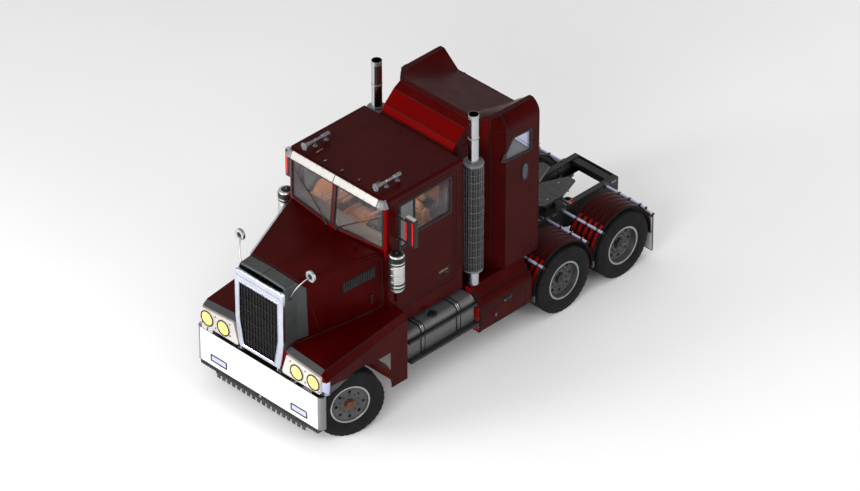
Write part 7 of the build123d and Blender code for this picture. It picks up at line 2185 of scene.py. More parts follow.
def mud_flap_details():
    for side, name in SIDES:
        bm = new_mesh()
        # black binding round the flap, clamp strip along its top
        edge = [(652, 122), (652, 742), (1198, 742), (1198, 122)]
        line = round_corners(edge, 24, 5)
        add_tube(bm, [P(side * x, 5920, z) for x, z in line], 0.0085, 8, closed=True)
        for y in (5911, 5925):
            add_box(bm, P(side * 662, y, 700), P(side * 1188, y + 5, 744), 1)
        for i in range(6):
            for y, axis in ((5911, -1), (5930, 1)):
                add_bolt(bm, P(side * (700 + i * 90), y, 722), (0, axis, 0), 0.009, 0.007, 2)
        # pressed ribs across the sheet
        for i in range(5):
            z = 200 + i * 95
            add_box(bm, P(side * 700, 5928, z), P(side * 1150, 5932, z + 9), 3)
        # hanger's spring sleeve and its plate on the rail
        hanger = P(side * 432, 5920, 763)
        coil = []
        for i in range(121):
            a = 2 * math.pi * i / 10
            coil.append(
                hanger + Vector((side * (0.035 + i * 0.0011), 0.024 * math.cos(a), 0.024 * math.sin(a)))
            )
        add_tube(bm, coil, 0.0042, 6, 2)
        add_box(bm, P(side * 431, 5865, 742), P(side * 441, 5975, 812), 1)
        for dy in (-40, 40):
            add_bolt(bm, P(side * 441, 5920 + dy, 790), (side, 0, 0), 0.011, 0.009, 2)
        add_turned(
            bm, [(0.018, -0.006), (0.021, -0.004), (0.021, 0.008), (0, 0.01)], P(side * 1200, 5920, 763),
            (side, 0, 0), 18
        )
        finish_mesh(
            f"mud_flap_trim_{name}", bm, [black_rubber, end_grey, nut_steel, flap_white],
            bevel=0.0012
        )


def tail_lamps():
    bm = new_mesh()
    # closing plate across the frame's end, with the lamps below it
    add_box(bm, P(-300, 6001, 840), P(300, 6009, 925))
    for side in (1, -1):
        base = P(side * 300, 6006, 800)
        add_box(bm, base + Vector((-0.10, -0.004, -0.075)), base + Vector((0.10, 0.004, 0.075)))
        for dx, glow in ((-0.045, 2), (0.045, 1)):
            seat = base + Vector((dx * side, 0.004, 0.01))
            add_turned(bm, [(0.046, 0), (0.046, 0.014), (0.04, 0.016)], seat, BACK, 28, 3)
            add_turned(
                bm, [(0.04, 0.006), (0.04, 0.014), (0.034, 0.019), (0.016, 0.023), (0, 0.024)], seat, BACK,
                28, glow
            )
            for ring in (0.014, 0.024, 0.033):
                add_turned(
                    bm, [(ring, 0.0195), (ring + 0.003, 0.0222), (ring + 0.006, 0.0185)], seat, BACK, 28,
                    glow
                )
        add_box(bm, base + Vector((-0.05, 0.004, -0.068)), base + Vector((0.05, 0.012, -0.046)), 4)
        # bolts that hold the tow loop
        for z in (870, 895):
            add_bolt(bm, P(side * 230, 6009, z), BACK, 0.012, 0.01, 5)
    loop = [
        (-70, 6009, 905), (-70, 6050, 900), (-40, 6078, 880), (40, 6078, 880), (70, 6050, 900),
        (70, 6009, 905)
    ]
    add_tube(bm, curve_points([P(*p) for p in loop], 8), 0.012, 12)
    finish_mesh(
        "tail_lamps", bm, [satin_black, lens_red, lens_amber, black_rubber, lens_lilac, nut_steel],
        bevel=0.0015
    )


# ------------------------------------------------------------------ frame, springs and brakes
CROSSMEMBER_Y = (-560, 815, 900, 2300, 3420, 4695, 5900)


def frame_details():
    bm = new_mesh()
    for side in (1, -1):
        for y in CROSSMEMBER_Y:
            for dy in (-34, 0, 34):
                for z in (772, 962):
                    add_bolt(bm, P(side * 430, y + dy, z), (side, 0, 0), 0.011, 0.01)
        for axle in DRIVE_AXLES:
            for end in (-560, 560):
                for dy in (-22, 22):
                    for z in (765, 800):
                        add_bolt(bm, P(side * 430, axle + end + dy, z), (side, 0, 0), 0.01, 0.009)
        # holes punched along the web show as dark discs
        for i in range(30):
            y = 3480 + i * 84
            add_turned(bm, [(0.008, 0.0006), (0, 0.0006)], P(side * 430, y, 868), (side, 0, 0), 14, 1)
    finish_mesh("frame_bolts", bm, [nut_steel, seam_black])

    bm = new_mesh()
    # looms and air pipes clipped inside the rails
    for side, height, radius in (
        (1, 955, 0.013), (1, 925, 0.009), (-1, 955, 0.013), (-1, 928, 0.008), (-1, 905, 0.006)
    ):
        knots = [
            P(side * 405, y, height + 6 * math.sin(y * 0.004 + height)) for y in range(1560, 5900, 140)
        ]
        add_tube(bm, curve_points(knots, 3), radius, 8)
    for side in (1, -1):
        for i in range(15):
            y = 1620 + i * 290
            add_box(bm, P(side * 390, y, 893), P(side * 422, y + 16, 972), 1)
    finish_mesh("frame_looms", bm, [black_rubber, end_grey])


def spring_details():
    bm = new_mesh()
    packs = [
        (0, 500, 578, 40, 580), (DRIVE_AXLES[0], 606, 684, 20, 560), (DRIVE_AXLES[1], 606, 684, 20, 560)
    ]
    for side in (1, -1):
        for axle, low, high, rise, half in packs:
            # leaf edges drawn as dark joints along the pack
            for leaf in range(1, 5):
                t = leaf / 5
                reach = half * (1 - 0.15 * (4 - leaf))
                line = []
                for s in span(-reach, reach, 25):
                    slope = max(0.0, (abs(s) - 90) / (half - 90))
                    line.append(
                        (
                            axle + s,
                            low + (high - low) * t + rise * slope + (
                                high - 24 - low
                            ) * (1 - t) * slope * 0.9
                        )
                    )
                for x in (346, 424):
                    add_tube(bm, [P(side * x, y, z) for y, z in line], 0.0022, 5, 1)
            # U-bolts with nuts under the axle seat
            for dy in (-62, 62):
                bow = [
                    (347 - 8, low - 70), (347 - 8, high + 4), (362, high + 14), (408, high + 14),
                    (423 + 8, high + 4), (423 + 8, low - 70)
                ]
                add_tube(bm, curve_points([P(side * x, axle + dy, z) for x, z in bow], 5), 0.0095, 10)
                for x in (339, 431):
                    add_bolt(bm, P(side * x, axle + dy, low - 62), (0, 0, -1), 0.015, 0.016)
            # clips and the eye bolts
            for dy in (-330, 330):
                slope = (330 - 90) / (half - 90)
                z = low + rise * slope
                add_box(
                    bm, P(side * 342, axle + dy - 14, z + (high - 24 - low) * slope - 4),
                    P(side * 428, axle + dy + 14, high + rise * slope + 4), 2
                )
            for dy in (-half, half):
                add_bolt(bm, P(side * 423, axle + dy, high + rise + 2), (side, 0, 0), 0.019, 0.014)
                add_bolt(bm, P(side * 347, axle + dy, high + rise + 2), (-side, 0, 0), 0.019, 0.014)
    finish_mesh("spring_fixings", bm, [nut_steel, seam_black, end_grey])

    bm = new_mesh()
    # shock absorbers beside the front springs and the drive axles
    for side in (1, -1):
        for low, high in (
            ((300, 40, 470), (300, 190, 880)), ((300, 4190, 500), (300, 4330, 880)),
            ((300, 5400, 500), (300, 5540, 880))
        ):
            a, b = P(side * low[0], low[1], low[2]), P(side * high[0], high[1], high[2])
            run = (b - a).normalized()
            size = (b - a).length
            add_turned(
                bm, [(0, 0), (0.03, 0.004), (0.03, size * 0.45), (0.026, size * 0.46), (0, size * 0.46)], a,
                run, 18
            )
            add_turned(
                bm,
                [
                    (0, size * 0.4), (0.037, size * 0.4), (0.037, size * 0.93), (0.03, size * 0.95),
                    (0, size * 0.95)
                ], a, run, 18, 1
            )
            for end in (a, b):
                add_turned(
                    bm, [(0, -0.024), (0.024, -0.024), (0.024, 0.024), (0, 0.024)], end, (1, 0, 0), 16, 2
                )
    finish_mesh("shock_absorbers", bm, [nut_steel, end_grey, black_rubber], bevel=0.0015)


def brake_details():
    bm = new_mesh()
    for side in (1, -1):
        for axle in DRIVE_AXLES:
            base = P(side * 240, axle + 75, 470)
            # twin-diaphragm chamber: two bowls with a clamp band each
            add_turned(
                bm,
                [
                    (0, 0), (0.05, 0.0), (0.074, 0.02), (0.078, 0.045), (0.085, 0.05), (0.085, 0.062),
                    (0.078, 0.066), (0.074, 0.1), (0.085, 0.105), (0.085, 0.117), (0.078, 0.121),
                    (0.076, 0.16), (0.05, 0.185), (0, 0.19)
                ], base, (0, 1, 0.05), 28
            )
            add_tube(bm, [base, base + Vector((0, -0.075, -0.004))], 0.009, 10, 1)
            add_box(bm, base + Vector((-0.016, -0.10, -0.02)), base + Vector((0.016, -0.07, 0.10)), 1)
            add_tube(
                bm,
                curve_points(
                    [
                        base + Vector((0, 0.12, 0.07)), base + Vector((0.01 * side, 0.14, 0.2)),
                        P(side * 330, axle + 260, 760), P(side * 380, axle + 300, 900)
                    ], 8
                ), 0.009, 8, 2
            )
            add_tube(bm, [P(side * 240, axle, 450), P(side * 560, axle + 10, 450)], 0.02, 12, 1)
    finish_mesh("brake_chambers", bm, [end_grey, nut_steel, black_rubber], bevel=0.001)

    bm = new_mesh()
    # air tanks slung between the rails
    for side in (1, -1):
        low = P(side * 190, 2440, 612)
        add_turned(
            bm,
            [
                (0, 0), (0.05, 0.006), (0.09, 0.03), (0.108, 0.07), (0.108, 0.76), (0.09, 0.80),
                (0.05, 0.824), (0, 0.83)
            ], low, BACK, 32
        )
        for along in (0.16, 0.66):
            ring = [
                low + Vector(
                    (0.111 * math.cos(a), along, 0.111 * math.sin(a))
                ) for a in span(0, 2 * math.pi, 33)[:-1]
            ]
            add_tube(bm, ring, 0.006, 6, 1, closed=True)
            add_box(
                bm, low + Vector((-0.012, along - 0.02, 0.105)), low + Vector((0.012, along + 0.02, 0.135)),
                1
            )
            a = low + Vector((0, along, 0.13))
            b = P(side * 342, 2440 + along * 1000, 742)
            add_tube(bm, [a, Vector((b.x, a.y, a.z))], 0.012, 8, 1)
        add_turned(bm, [(0.014, 0), (0.014, -0.018), (0, -0.02)], low + Vector((0, 0.4, -0.106)), UP, 6, 2)
    finish_mesh("air_tanks", bm, [satin_black, end_grey, nut_steel])


def drive_line_details():
    bm = new_mesh()
    # bolted covers of the drive axles
    for axle in DRIVE_AXLES:
        for i in range(12):
            a = 2 * math.pi * i / 12
            add_bolt(
                bm, P(140 * math.cos(a), axle + 176, AXLE_HEIGHT + 140 * math.sin(a)), BACK, 0.011, 0.009
            )
        add_turned(
            bm, [(0.158, -0.03), (0.162, -0.02), (0.158, 0.0), (0.12, 0.012), (0.06, 0.03), (0, 0.036)],
            P(0, axle + 172, 520), BACK, 40, 1
        )
        add_turned(
            bm, [(0.1, -0.02), (0.112, -0.016), (0.112, 0.014), (0.1, 0.018)], P(0, axle - 200, 540), BACK,
            36, 1
        )
        for i in range(8):
            a = 2 * math.pi * i / 8
            add_bolt(bm, P(104 * math.cos(a), axle - 216, 540 + 104 * math.sin(a)), FRONT, 0.009, 0.008)
    # yokes and balance weights on the shafts
    shafts = (((0, 1500, 937), (0, 3830, 541)), ((0, 4265, 540), (0, 5040, 540)))
    for a, b in shafts:
        a, b = P(*a), P(*b)
        run = (b - a).normalized()
        size = (b - a).length
        for near, sign in ((a, 1), (b, -1)):
            add_turned(
                bm, [(0.053, 0.09 * sign), (0.066, 0.1 * sign), (0.066, 0.15 * sign), (0.053, 0.16 * sign)],
                near, run, 24, 1
            )
            add_turned(
                bm, [(0, -0.075), (0.022, -0.075), (0.022, 0.075), (0, 0.075)], near + run * 0.05 * sign,
                (1, 0, 0), 16
            )
        add_box(
            bm, a + run * size * 0.3 + Vector((-0.02, -0.02, 0.048)),
            a + run * size * 0.3 + Vector((0.02, 0.02, 0.056))
        )
    finish_mesh("drive_line_fixings", bm, [nut_steel, cast_grey])


def engine_details():
    bm = new_mesh()
    # sump, ribs, covers and pipes that break up the plain block
    add_box(bm, P(-250, -60, 735), P(250, 560, 802), 1)
    for i in range(14):
        y = -150 + i * 56
        for side in (1, -1):
            add_box(bm, P(side * 324, y, 860), P(side * 333, y + 14, 1330))
    for i in range(6):
        y = -120 + i * 122
        add_box(bm, P(-200, y, 1899), P(200, y + 108, 1935), 2)
        for x in (-170, 170):
            add_bolt(bm, P(x, y + 54, 1935), UP, 0.012, 0.01, 3)
        for x in (-1, 1):
            add_turned(
                bm, [(0.03, 0), (0.03, 0.03), (0.046, 0.04), (0.046, 0.05), (0, 0.05)],
                P(x * 325, y + 50, 1620), (x, 0, 0), 18
            )
    # manifold and intake pipes
    for side, radius, material in ((1, 0.045, 4), (-1, 0.06, 1)):
        add_tube(
            bm,
            curve_points(
                [P(side * 392, -100, 1620), P(side * 396, 250, 1625), P(side * 392, 600, 1620)], 10
            ), radius, 16, material
        )
    # starter, filter and pump on the flanks
    for side, y, z, radius, size in (
        (1, 80, 1180, 0.055, 0.16), (-1, 260, 1080, 0.07, 0.26), (-1, 60, 1350, 0.05, 0.15)
    ):
        add_turned(
            bm, [(0, 0), (radius, 0.004), (radius, size - 0.01), (radius * 0.8, size), (0, size)],
            P(side * 372, y, z), BACK, 22, 1
        )
    # damper and fan at the nose, seen from below and through the arches
    add_turned(
        bm, [(0, 0.03), (0.13, 0.03), (0.14, 0.02), (0.14, -0.02), (0.12, -0.03), (0, -0.03)],
        P(0, -215, 980), BACK, 30, 1
    )
    hub = P(0, -300, 1350)
    add_turned(bm, [(0, -0.03), (0.1, -0.03), (0.11, 0.0), (0.1, 0.09), (0, 0.12)], hub, BACK, 26, 1)
    for i in range(9):
        turn = Matrix.Rotation(2 * math.pi * i / 9, 4, "Y")
        blade = Matrix.Translation(hub) @ turn @ Matrix.Rotation(math.radians(28), 4, "Z")
        add_box(bm, (-0.045, -0.004, 0.09), (0.045, 0.004, 0.33), 1, blade)
    # ribs and cover bolts of the gearbox
    for i in range(9):
        y = 690 + i * 88
        for side in (1, -1):
            add_box(bm, P(side * 209, y, 870), P(side * 219, y + 16, 1220))
        add_bolt(bm, P(120 if i % 2 else -120, y + 30, 1250), UP, 0.012, 0.01, 3)
    add_turned(
        bm, [(0.33, 0), (0.34, 0.01), (0.34, 0.05), (0.33, 0.06), (0.2, 0.06), (0.2, 0)], P(0, 640, 1080),
        BACK, 48
    )
    finish_mesh(
        "engine_dressing", bm, [cast_grey, satin_black, cap_steel, nut_steel, hub_brown],
        bevel=0.004
    )

    # fins and tanks of the radiator
    bm = new_mesh()
    for i in range(60):
        x = -385 + i * 13
        add_box(bm, P(x, -469, 1060), P(x + 3, -462, 2140))
    for z in (1008, 2150):
        add_box(bm, P(-396, -556, z), P(396, -462, z + 62), 1)
    finish_mesh("radiator_dressing", bm, [satin_black, cap_steel], smooth=False)


def fifth_wheel_details():
    bm = new_mesh()
    middle = P(0, 4695, 1270)
    # grease channels pressed in the plate, and the wear ring round the throat
    for side in (1, -1):
        for points in (
            [(140, -180), (210, -260), (330, -270), (400, -190)], [(170, -60), (300, -120), (420, -70)],
            [(150, 60), (280, 20), (420, 50)], [(150, 180), (240, 200), (330, 180)]
        ):
            knots = [middle + Vector((side * x / 1000, y / 1000, 0.0)) for x, y in points]
            add_tube(bm, curve_points(knots, 8), 0.0028, 6)
        for x, y in ((380, -110), (230, -330), (200, 300)):
            add_turned(
                bm, [(0.016, 0.0), (0.016, 0.002), (0.01, 0.003), (0, 0.0012)],
                middle + Vector((side * x / 1000, y / 1000, 0)), UP, 6, 1
            )
    finish_mesh("coupling_grease_channels", bm, [seam_black, nut_steel], "fifth_wheel")
    bm = new_mesh()
    ring = [
        middle + Vector(
            (0.058 * math.cos(a), 0.058 * math.sin(a), 0.0)
        ) for a in span(math.radians(100), math.radians(440), 40)
    ]
    add_tube(bm, ring, 0.004, 8, 1)
    # release handle, its rod and spring
    rod = [(110, 90, -70), (300, 100, -74), (470, 110, -76), (560, 116, -72), (590, 150, -70)]
    knots = [middle + Vector((x / 1000, y / 1000, z / 1000)) for x, y, z in rod]
    add_tube(bm, curve_points(knots, 6), 0.009, 10, 1)
    grip = [
        middle + Vector(
            (0.585, 0.15 + 0.09 * math.sin(a) * 0.4, -0.07 + 0.03 * math.cos(a))
        ) for a in span(0, 2 * math.pi, 21)[:-1]
    ]
    add_tube(bm, grip, 0.007, 8, 2, closed=True)
    coil = []
    for i in range(90):
        a = 2 * math.pi * i / 9
        coil.append(
            middle + Vector((0.20 + i * 0.0018, 0.095 + 0.018 * math.cos(a), -0.072 + 0.018 * math.sin(a)))
        )
    add_tube(bm, coil, 0.003, 6, 1)
    # cross ribs cast under the plate
    for y in (-250, -120, 170, 300):
        for side in (1, -1):
            add_box(
                bm, middle + Vector((side * 0.09, y / 1000 - 0.008, -0.062)),
                middle + Vector((side * 0.40, y / 1000 + 0.008, -0.033))
            )
    finish_mesh(
        "coupling_release", bm, [cast_grey, nut_steel, lens_red], "fifth_wheel", bevel=0.002
    )
    bm = new_mesh()
    # bolts, stops and gussets of the mount
    for side in (1, -1):
        for dy in (-310, -230, 230, 310):
            for x in (375, 405):
                add_bolt(bm, P(side * x, 4695 + dy, 1020), UP, 0.014, 0.012)
        add_bolt(bm, P(side * 295, 4695, 1140), (side, 0, 0), 0.034, 0.012)
        for dy in (-95, 95):
            add_box(bm, P(side * 296, 4695 + dy - 8, 1020), P(side * 350, 4695 + dy + 8, 1085), 1)
    finish_mesh("coupling_mount_fixings", bm, [nut_steel, chassis_black], bevel=0.001)


end_grey = coated("end_grey", (0.03, 0.03, 0.032), 0.4, 0.2, 0.3, 0.1, 0.2, (0.12, 0.12, 0.12), 0.2)
drive_fender_details()
mud_flap_details()
tail_lamps()
frame_details()
spring_details()
brake_details()
drive_line_details()
engine_details()
fifth_wheel_details()

# ------------------------------------------------------------------ cab interior
SEAT_MID_X = 455


def cushion_mesh(width, depth, height, rows, columns, plump, seam_depth=0.014, corner=3.2):
    """A padded block with sewn panels, as a closed bmesh about its own centre."""
    bm = bmesh.new()
    bmesh.ops.create_cube(bm, size=1.0)
    bmesh.ops.subdivide_edges(bm, edges=bm.edges[:], cuts=31, use_grid_fill=True)
    half = Vector((width / 2, depth / 2, height / 2))
    for vertex in bm.verts:
        u, v, w = (vertex.co * 2)[:]
        # rounded block from a superellipsoid
        size = (abs(u) ** corner + abs(v) ** corner + abs(w) ** corner) ** (1 / corner)
        place = Vector((u, v, w)) / size
        puff = plump * (1 - min(1, abs(place.x)) ** 4) * (1 - min(1, abs(place.y)) ** 4)
        seam = 0.0
        if w > 0.5:
            for line in [-1 + 2 * (k + 1) / columns for k in range(columns - 1)]:
                seam = max(seam, math.exp(-(((place.x - line) * half.x) / 0.008) ** 2))
            for line in [-1 + 2 * (k + 1) / rows for k in range(rows - 1)]:
                seam = max(seam, math.exp(-(((place.y - line) * half.y) / 0.008) ** 2))
        crease = noise.noise(Vector((place.x * 2.4, place.y * 2.7, w * 1.3))) * 0.004
        vertex.co = Vector((place.x * half.x, place.y * half.y, place.z * half.z))
        if w > 0:
            vertex.co.z += w * (puff + crease - seam * seam_depth)
    return bm


def padded_piece(name, bm, matrix, material):
    bm.transform(matrix)
    piece = finish_mesh(name, bm, material, angle=60)
    return piece


# a seat's pads: name, shifts across, (y, z), pitch, roll, cushion, corner, fill
SEAT_PADS = (
    ("seat_cushion", (0,), (1680, 1952), 4, 0, (0.40, 0.52, 0.13, 5, 1, 0.016), 3.2, 0.7),
    ("seat_bolster", (-222, 222), (1680, 1962), 4, -9, (0.085, 0.51, 0.15, 1, 1, 0.01), 2.6, 0.8),
    ("seat_back", (0,), (1892, 2350), 96, 0, (0.38, 0.60, 0.11, 6, 1, 0.018), 3.2, 0.7),
    ("back_bolster", (-208, 208), (1880, 2330), 96, -12, (0.08, 0.56, 0.13, 1, 1, 0.008), 2.6, 0.8),
    ("headrest", (0,), (1915, 2722), 96, 0, (0.29, 0.145, 0.09, 1, 1, 0.014), 2.8, 0.9),
    ("armrest", (-262, 262), (1720, 2160), 0, 0, (0.05, 0.30, 0.05, 1, 1, 0.004), 2.8, 0.9)
)


def seat_pieces(side, name):
    """Cushion, bolsters, back, headrest and armrests of one seat, and what carries them."""
    x = side * SEAT_MID_X
    pieces = []
    for kind, shifts, (y, z), pitch, roll, cushion, corner, fill in SEAT_PADS:
        for shift in shifts:
            edge = (shift > 0) - (shift < 0)
            place = Matrix.Translation(P(x + shift, y, z)) @ Matrix.Rotation(math.radians(pitch), 4, "X")
            place = place @ Matrix.Rotation(edge * math.radians(roll), 4, "Y")
            label = f"{kind}_{name}" + ("", "_out", "_in")[edge * side]
            mesh = cushion_mesh(*cushion, corner=corner)
            pieces.append(padded_piece(label, mesh, place, seat_leather))
    # shell, headrest posts, scissor base, rails and belt buckle
    bm = new_mesh()
    add_box(bm, P(x - 225, 1430, 1862), P(x + 225, 1935, 1892))
    shell = [
        (1936, 1890), (1956, 2100), (1966, 2560), (1960, 2668), (1948, 2668), (1940, 2300), (1926, 1900)
    ]
    for low, high in zip(shell[:3], shell[1:4]):
        add_box(bm, P(x - 190, low[0] - 6, low[1]), P(x + 190, high[0] + 4, high[1]))
    for dx in (-60, 60):
        add_tube(bm, [P(x + dx, 1936, 2600), P(x + dx, 1930, 2720)], 0.006, 10, 2)
    for side_x in (-175, 175):
        add_tube(bm, [P(x + side_x, 1480, 1560), P(x + side_x, 1880, 1840)], 0.012, 10, 1)
        add_tube(bm, [P(x + side_x, 1880, 1560), P(x + side_x, 1480, 1840)], 0.012, 10, 1)
        add_box(bm, P(x + side_x - 16, 1440, 1500), P(x + side_x + 16, 1920, 1524), 1)
        add_box(bm, P(x + side_x - 12, 1450, 1838), P(x + side_x + 12, 1910, 1862), 1)
    for i in range(9):
        z = 1545 + i * 33
        low = [
            P(x + a * 1000, 1680 + b * 1000, z)
            for a, b in rounded_rect(0.28 - 0.012 * (i % 2), 0.30 - 0.012 * (i % 2), 0.04, 4)
        ]
        add_plate(bm, low, UP, 0.031, 3)
    add_tube(bm, [P(x - side * 262, 1915, 2110), P(x - side * 262, 1925, 2160)], 0.012, 10, 1)
    add_tube(bm, [P(x + side * 262, 1915, 2110), P(x + side * 262, 1925, 2160)], 0.012, 10, 1)
    add_box(bm, P(x - side * 270, 1790, 1900), P(x - side * 246, 1816, 2010))
    add_box(bm, P(x - side * 266, 1792, 2010), P(x - side * 250, 1814, 2026), 4)
    finish_mesh(
        f"seat_base_{name}", bm, [black_plastic, satin_black, pipe_steel, black_rubber, lit_edge_and_buckle_red],
        bevel=0.002
    )
    return pieces


def belt_details():
    for side, name in SIDES:
        bm = new_mesh()
        path = [
            (915, 1990, 2960), (900, 2000, 2700), (860, 1990, 2350), (800, 1960, 2050), (770, 1930, 1880)
        ]
        line = curve_points([P(side * x, y, z) for x, y, z in path], 8)
        rows = []
        for p in line:
            rows.append(
                [
                    bm.verts.new(p + Vector((0, dy, dz)))
                    for dy, dz in ((-0.023, -0.001), (0.023, -0.001), (0.023, 0.001), (-0.023, 0.001))
                ]
            )
        skin_rows(bm, rows, True, 1)
        add_turned(
            bm, [(0, -0.012), (0.03, -0.01), (0.032, 0.006), (0, 0.01)], P(side * 918, 1990, 2965),
            (side, 0, 0), 20
        )
        finish_mesh(f"belt_{name}", bm, [black_plastic, belt_weave])


def replace_seats():
    pieces = []
    for side, name in SIDES:
        pieces += seat_pieces(side, name)
    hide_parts("seats")
    belt_details()


def dash_details():
    hit = caster("dashboard")
    bm = new_mesh()
    # hooded gauge cluster in front of the wheel
    centre = hit(P(SEAT_MID_X, 1900, 2520), P(SEAT_MID_X, 1130, 2400))
    tilt = Matrix.Translation(centre) @ Matrix.Rotation(math.radians(-25), 4, "X")
    for x, z, radius in (
        (-0.14, 0.0, 0.058), (0.14, 0.0, 0.058), (0.0, 0.03, 0.036), (0.0, -0.045, 0.03),
        (-0.25, 0.02, 0.03), (0.25, 0.02, 0.03), (-0.25, -0.05, 0.03), (0.25, -0.05, 0.03)
    ):
        seat = tilt @ Vector((x, 0.0, z))
        facing = (tilt.to_3x3() @ Vector(BACK)).normalized()
        add_turned(
            bm, [(radius * 1.12, -0.01), (radius * 1.15, 0.008), (radius * 1.02, 0.012), (radius, 0.004)],
            seat, facing, 32
        )
        add_turned(bm, [(radius, 0.003), (0, 0.0035)], seat, facing, 32, 1)
        for k in range(11):
            a = math.radians(-130 + 26 * k)
            tick = seat + tilt.to_3x3() @ Vector(
                (math.sin(a) * radius * 0.82, 0.005, math.cos(a) * radius * 0.82)
            )
            add_turned(bm, [(0.0022, 0), (0, 0.0012)], tick, facing, 8, 2)
        needle = tilt.to_3x3() @ Vector((-radius * 0.5, 0.006, -radius * 0.4))
        add_tube(bm, [seat + facing * 0.006, seat + needle], 0.0014, 6, 3)
        add_turned(bm, [(0.006, 0.003), (0.006, 0.008), (0, 0.009)], seat, facing, 14)
    # rows of rocker switches and air vents on the dash face
    for z in (2300, 2238):
        for x in span(80, -40, 5):
            spot = hit(P(x, 1900, z), P(x, 1000, z))
            if spot is not None:
                add_box(bm, spot + Vector((-0.011, -0.002, -0.02)), spot + Vector((0.011, 0.007, 0.02)))
                add_box(bm, spot + Vector((-0.004, 0.006, 0.008)), spot + Vector((0.004, 0.0078, 0.012)), 2)
    for x in (-760, -250, 180, 760):
        spot = hit(P(x, 1900, 2400), P(x, 1000, 2400))
        if spot is None:
            continue
        add_turned(
            bm, [(0.052, -0.004), (0.055, 0.008), (0.046, 0.012), (0.044, 0.002)], spot, (0, 1, 0.2), 30
        )
        for k in range(5):
            z = -0.03 + 0.015 * k
            add_box(
                bm, spot + Vector((-0.04, -0.002, z - 0.0015)), spot + Vector((0.04, 0.006, z + 0.0015))
            )
    finish_mesh(
        "dash_gauges", bm, [black_plastic, dial_face, dial_mark, lens_red], bevel=0.0008,
        segments=1
    )
    # seams of the dash top's pad and round the glove box
    bm = new_mesh()
    for x_low, x_high in ((-880, -90), (120, 880)):
        spots = [hit(P(x, 1160, 3000), P(x, 1150, 2300)) for x in span(x_low, x_high, 16)]
        add_tube(bm, [s for s in spots if s is not None], 0.006, 8)
    glove = round_corners([(-800, 2120), (-800, 2270), (-240, 2270), (-240, 2120)], 30, 5)
    spots = [hit(P(x, 1900, z), P(x, 1000, z)) for x, z in glove]
    add_tube(bm, [s for s in spots if s is not None], 0.003, 6, closed=True)
    finish_mesh("dash_seams", bm, seam_black)


def steering_wheel_details():
    bm = new_mesh()
    centre = P(SEAT_MID_X, 1300, 2330)
    tilt = math.radians(35)
    normal = Vector((0, math.sin(tilt), math.cos(tilt)))
    across = Vector((1, 0, 0))
    up = normal.cross(across)
    rim = []
    for i in range(72):
        a = 2 * math.pi * i / 72
        rim.append(centre + across * 0.225 * math.cos(a) + up * 0.225 * math.sin(a))
    add_tube(bm, rim, [0.0162 + 0.0011 * (i % 2) for i in range(72)], 10, closed=True)
    # stitched leather on the grips
    for start in (20, 200):
        for k in range(30):
            a = math.radians(start + k * 4.6)
            ring_centre = centre + across * 0.225 * math.cos(a) + up * 0.225 * math.sin(a)
            outward = (ring_centre - centre).normalized()
            loop = [
                ring_centre + outward * 0.0182 * math.cos(b) + normal * 0.0182 * math.sin(b) for b in span(
                    0, 2 * math.pi, 9
                )[:-1]
            ]
            add_tube(bm, loop, 0.0011, 4, 2, closed=True)
    add_turned(
        bm, [(0.06, -0.012), (0.064, 0.006), (0.05, 0.022), (0.02, 0.028), (0, 0.029)], centre, normal, 36,
        1
    )
    add_turned(bm, [(0.022, 0.027), (0.022, 0.031), (0, 0.033)], centre, normal, 24, 3)
    # stalks behind the wheel
    for sign in (-1, 1):
        root = centre - normal * 0.06 + across * sign * 0.03
        add_tube(bm, [root, root + across * sign * 0.15 + up * 0.03], [0.007, 0.005], 10, 1)
        add_turned(
            bm, [(0.007, 0), (0.01, 0.004), (0.01, 0.03), (0, 0.034)],
            root + across * sign * 0.14 + up * 0.028, across * sign, 14, 1
        )
    add_tube(bm, [centre - normal * 0.03, centre - normal * 0.2], [0.042, 0.055], 20, 1)
    finish_mesh(
        "steering_wheel_cover", bm, [black_rubber, black_plastic, seat_leather, pipe_steel]
    )


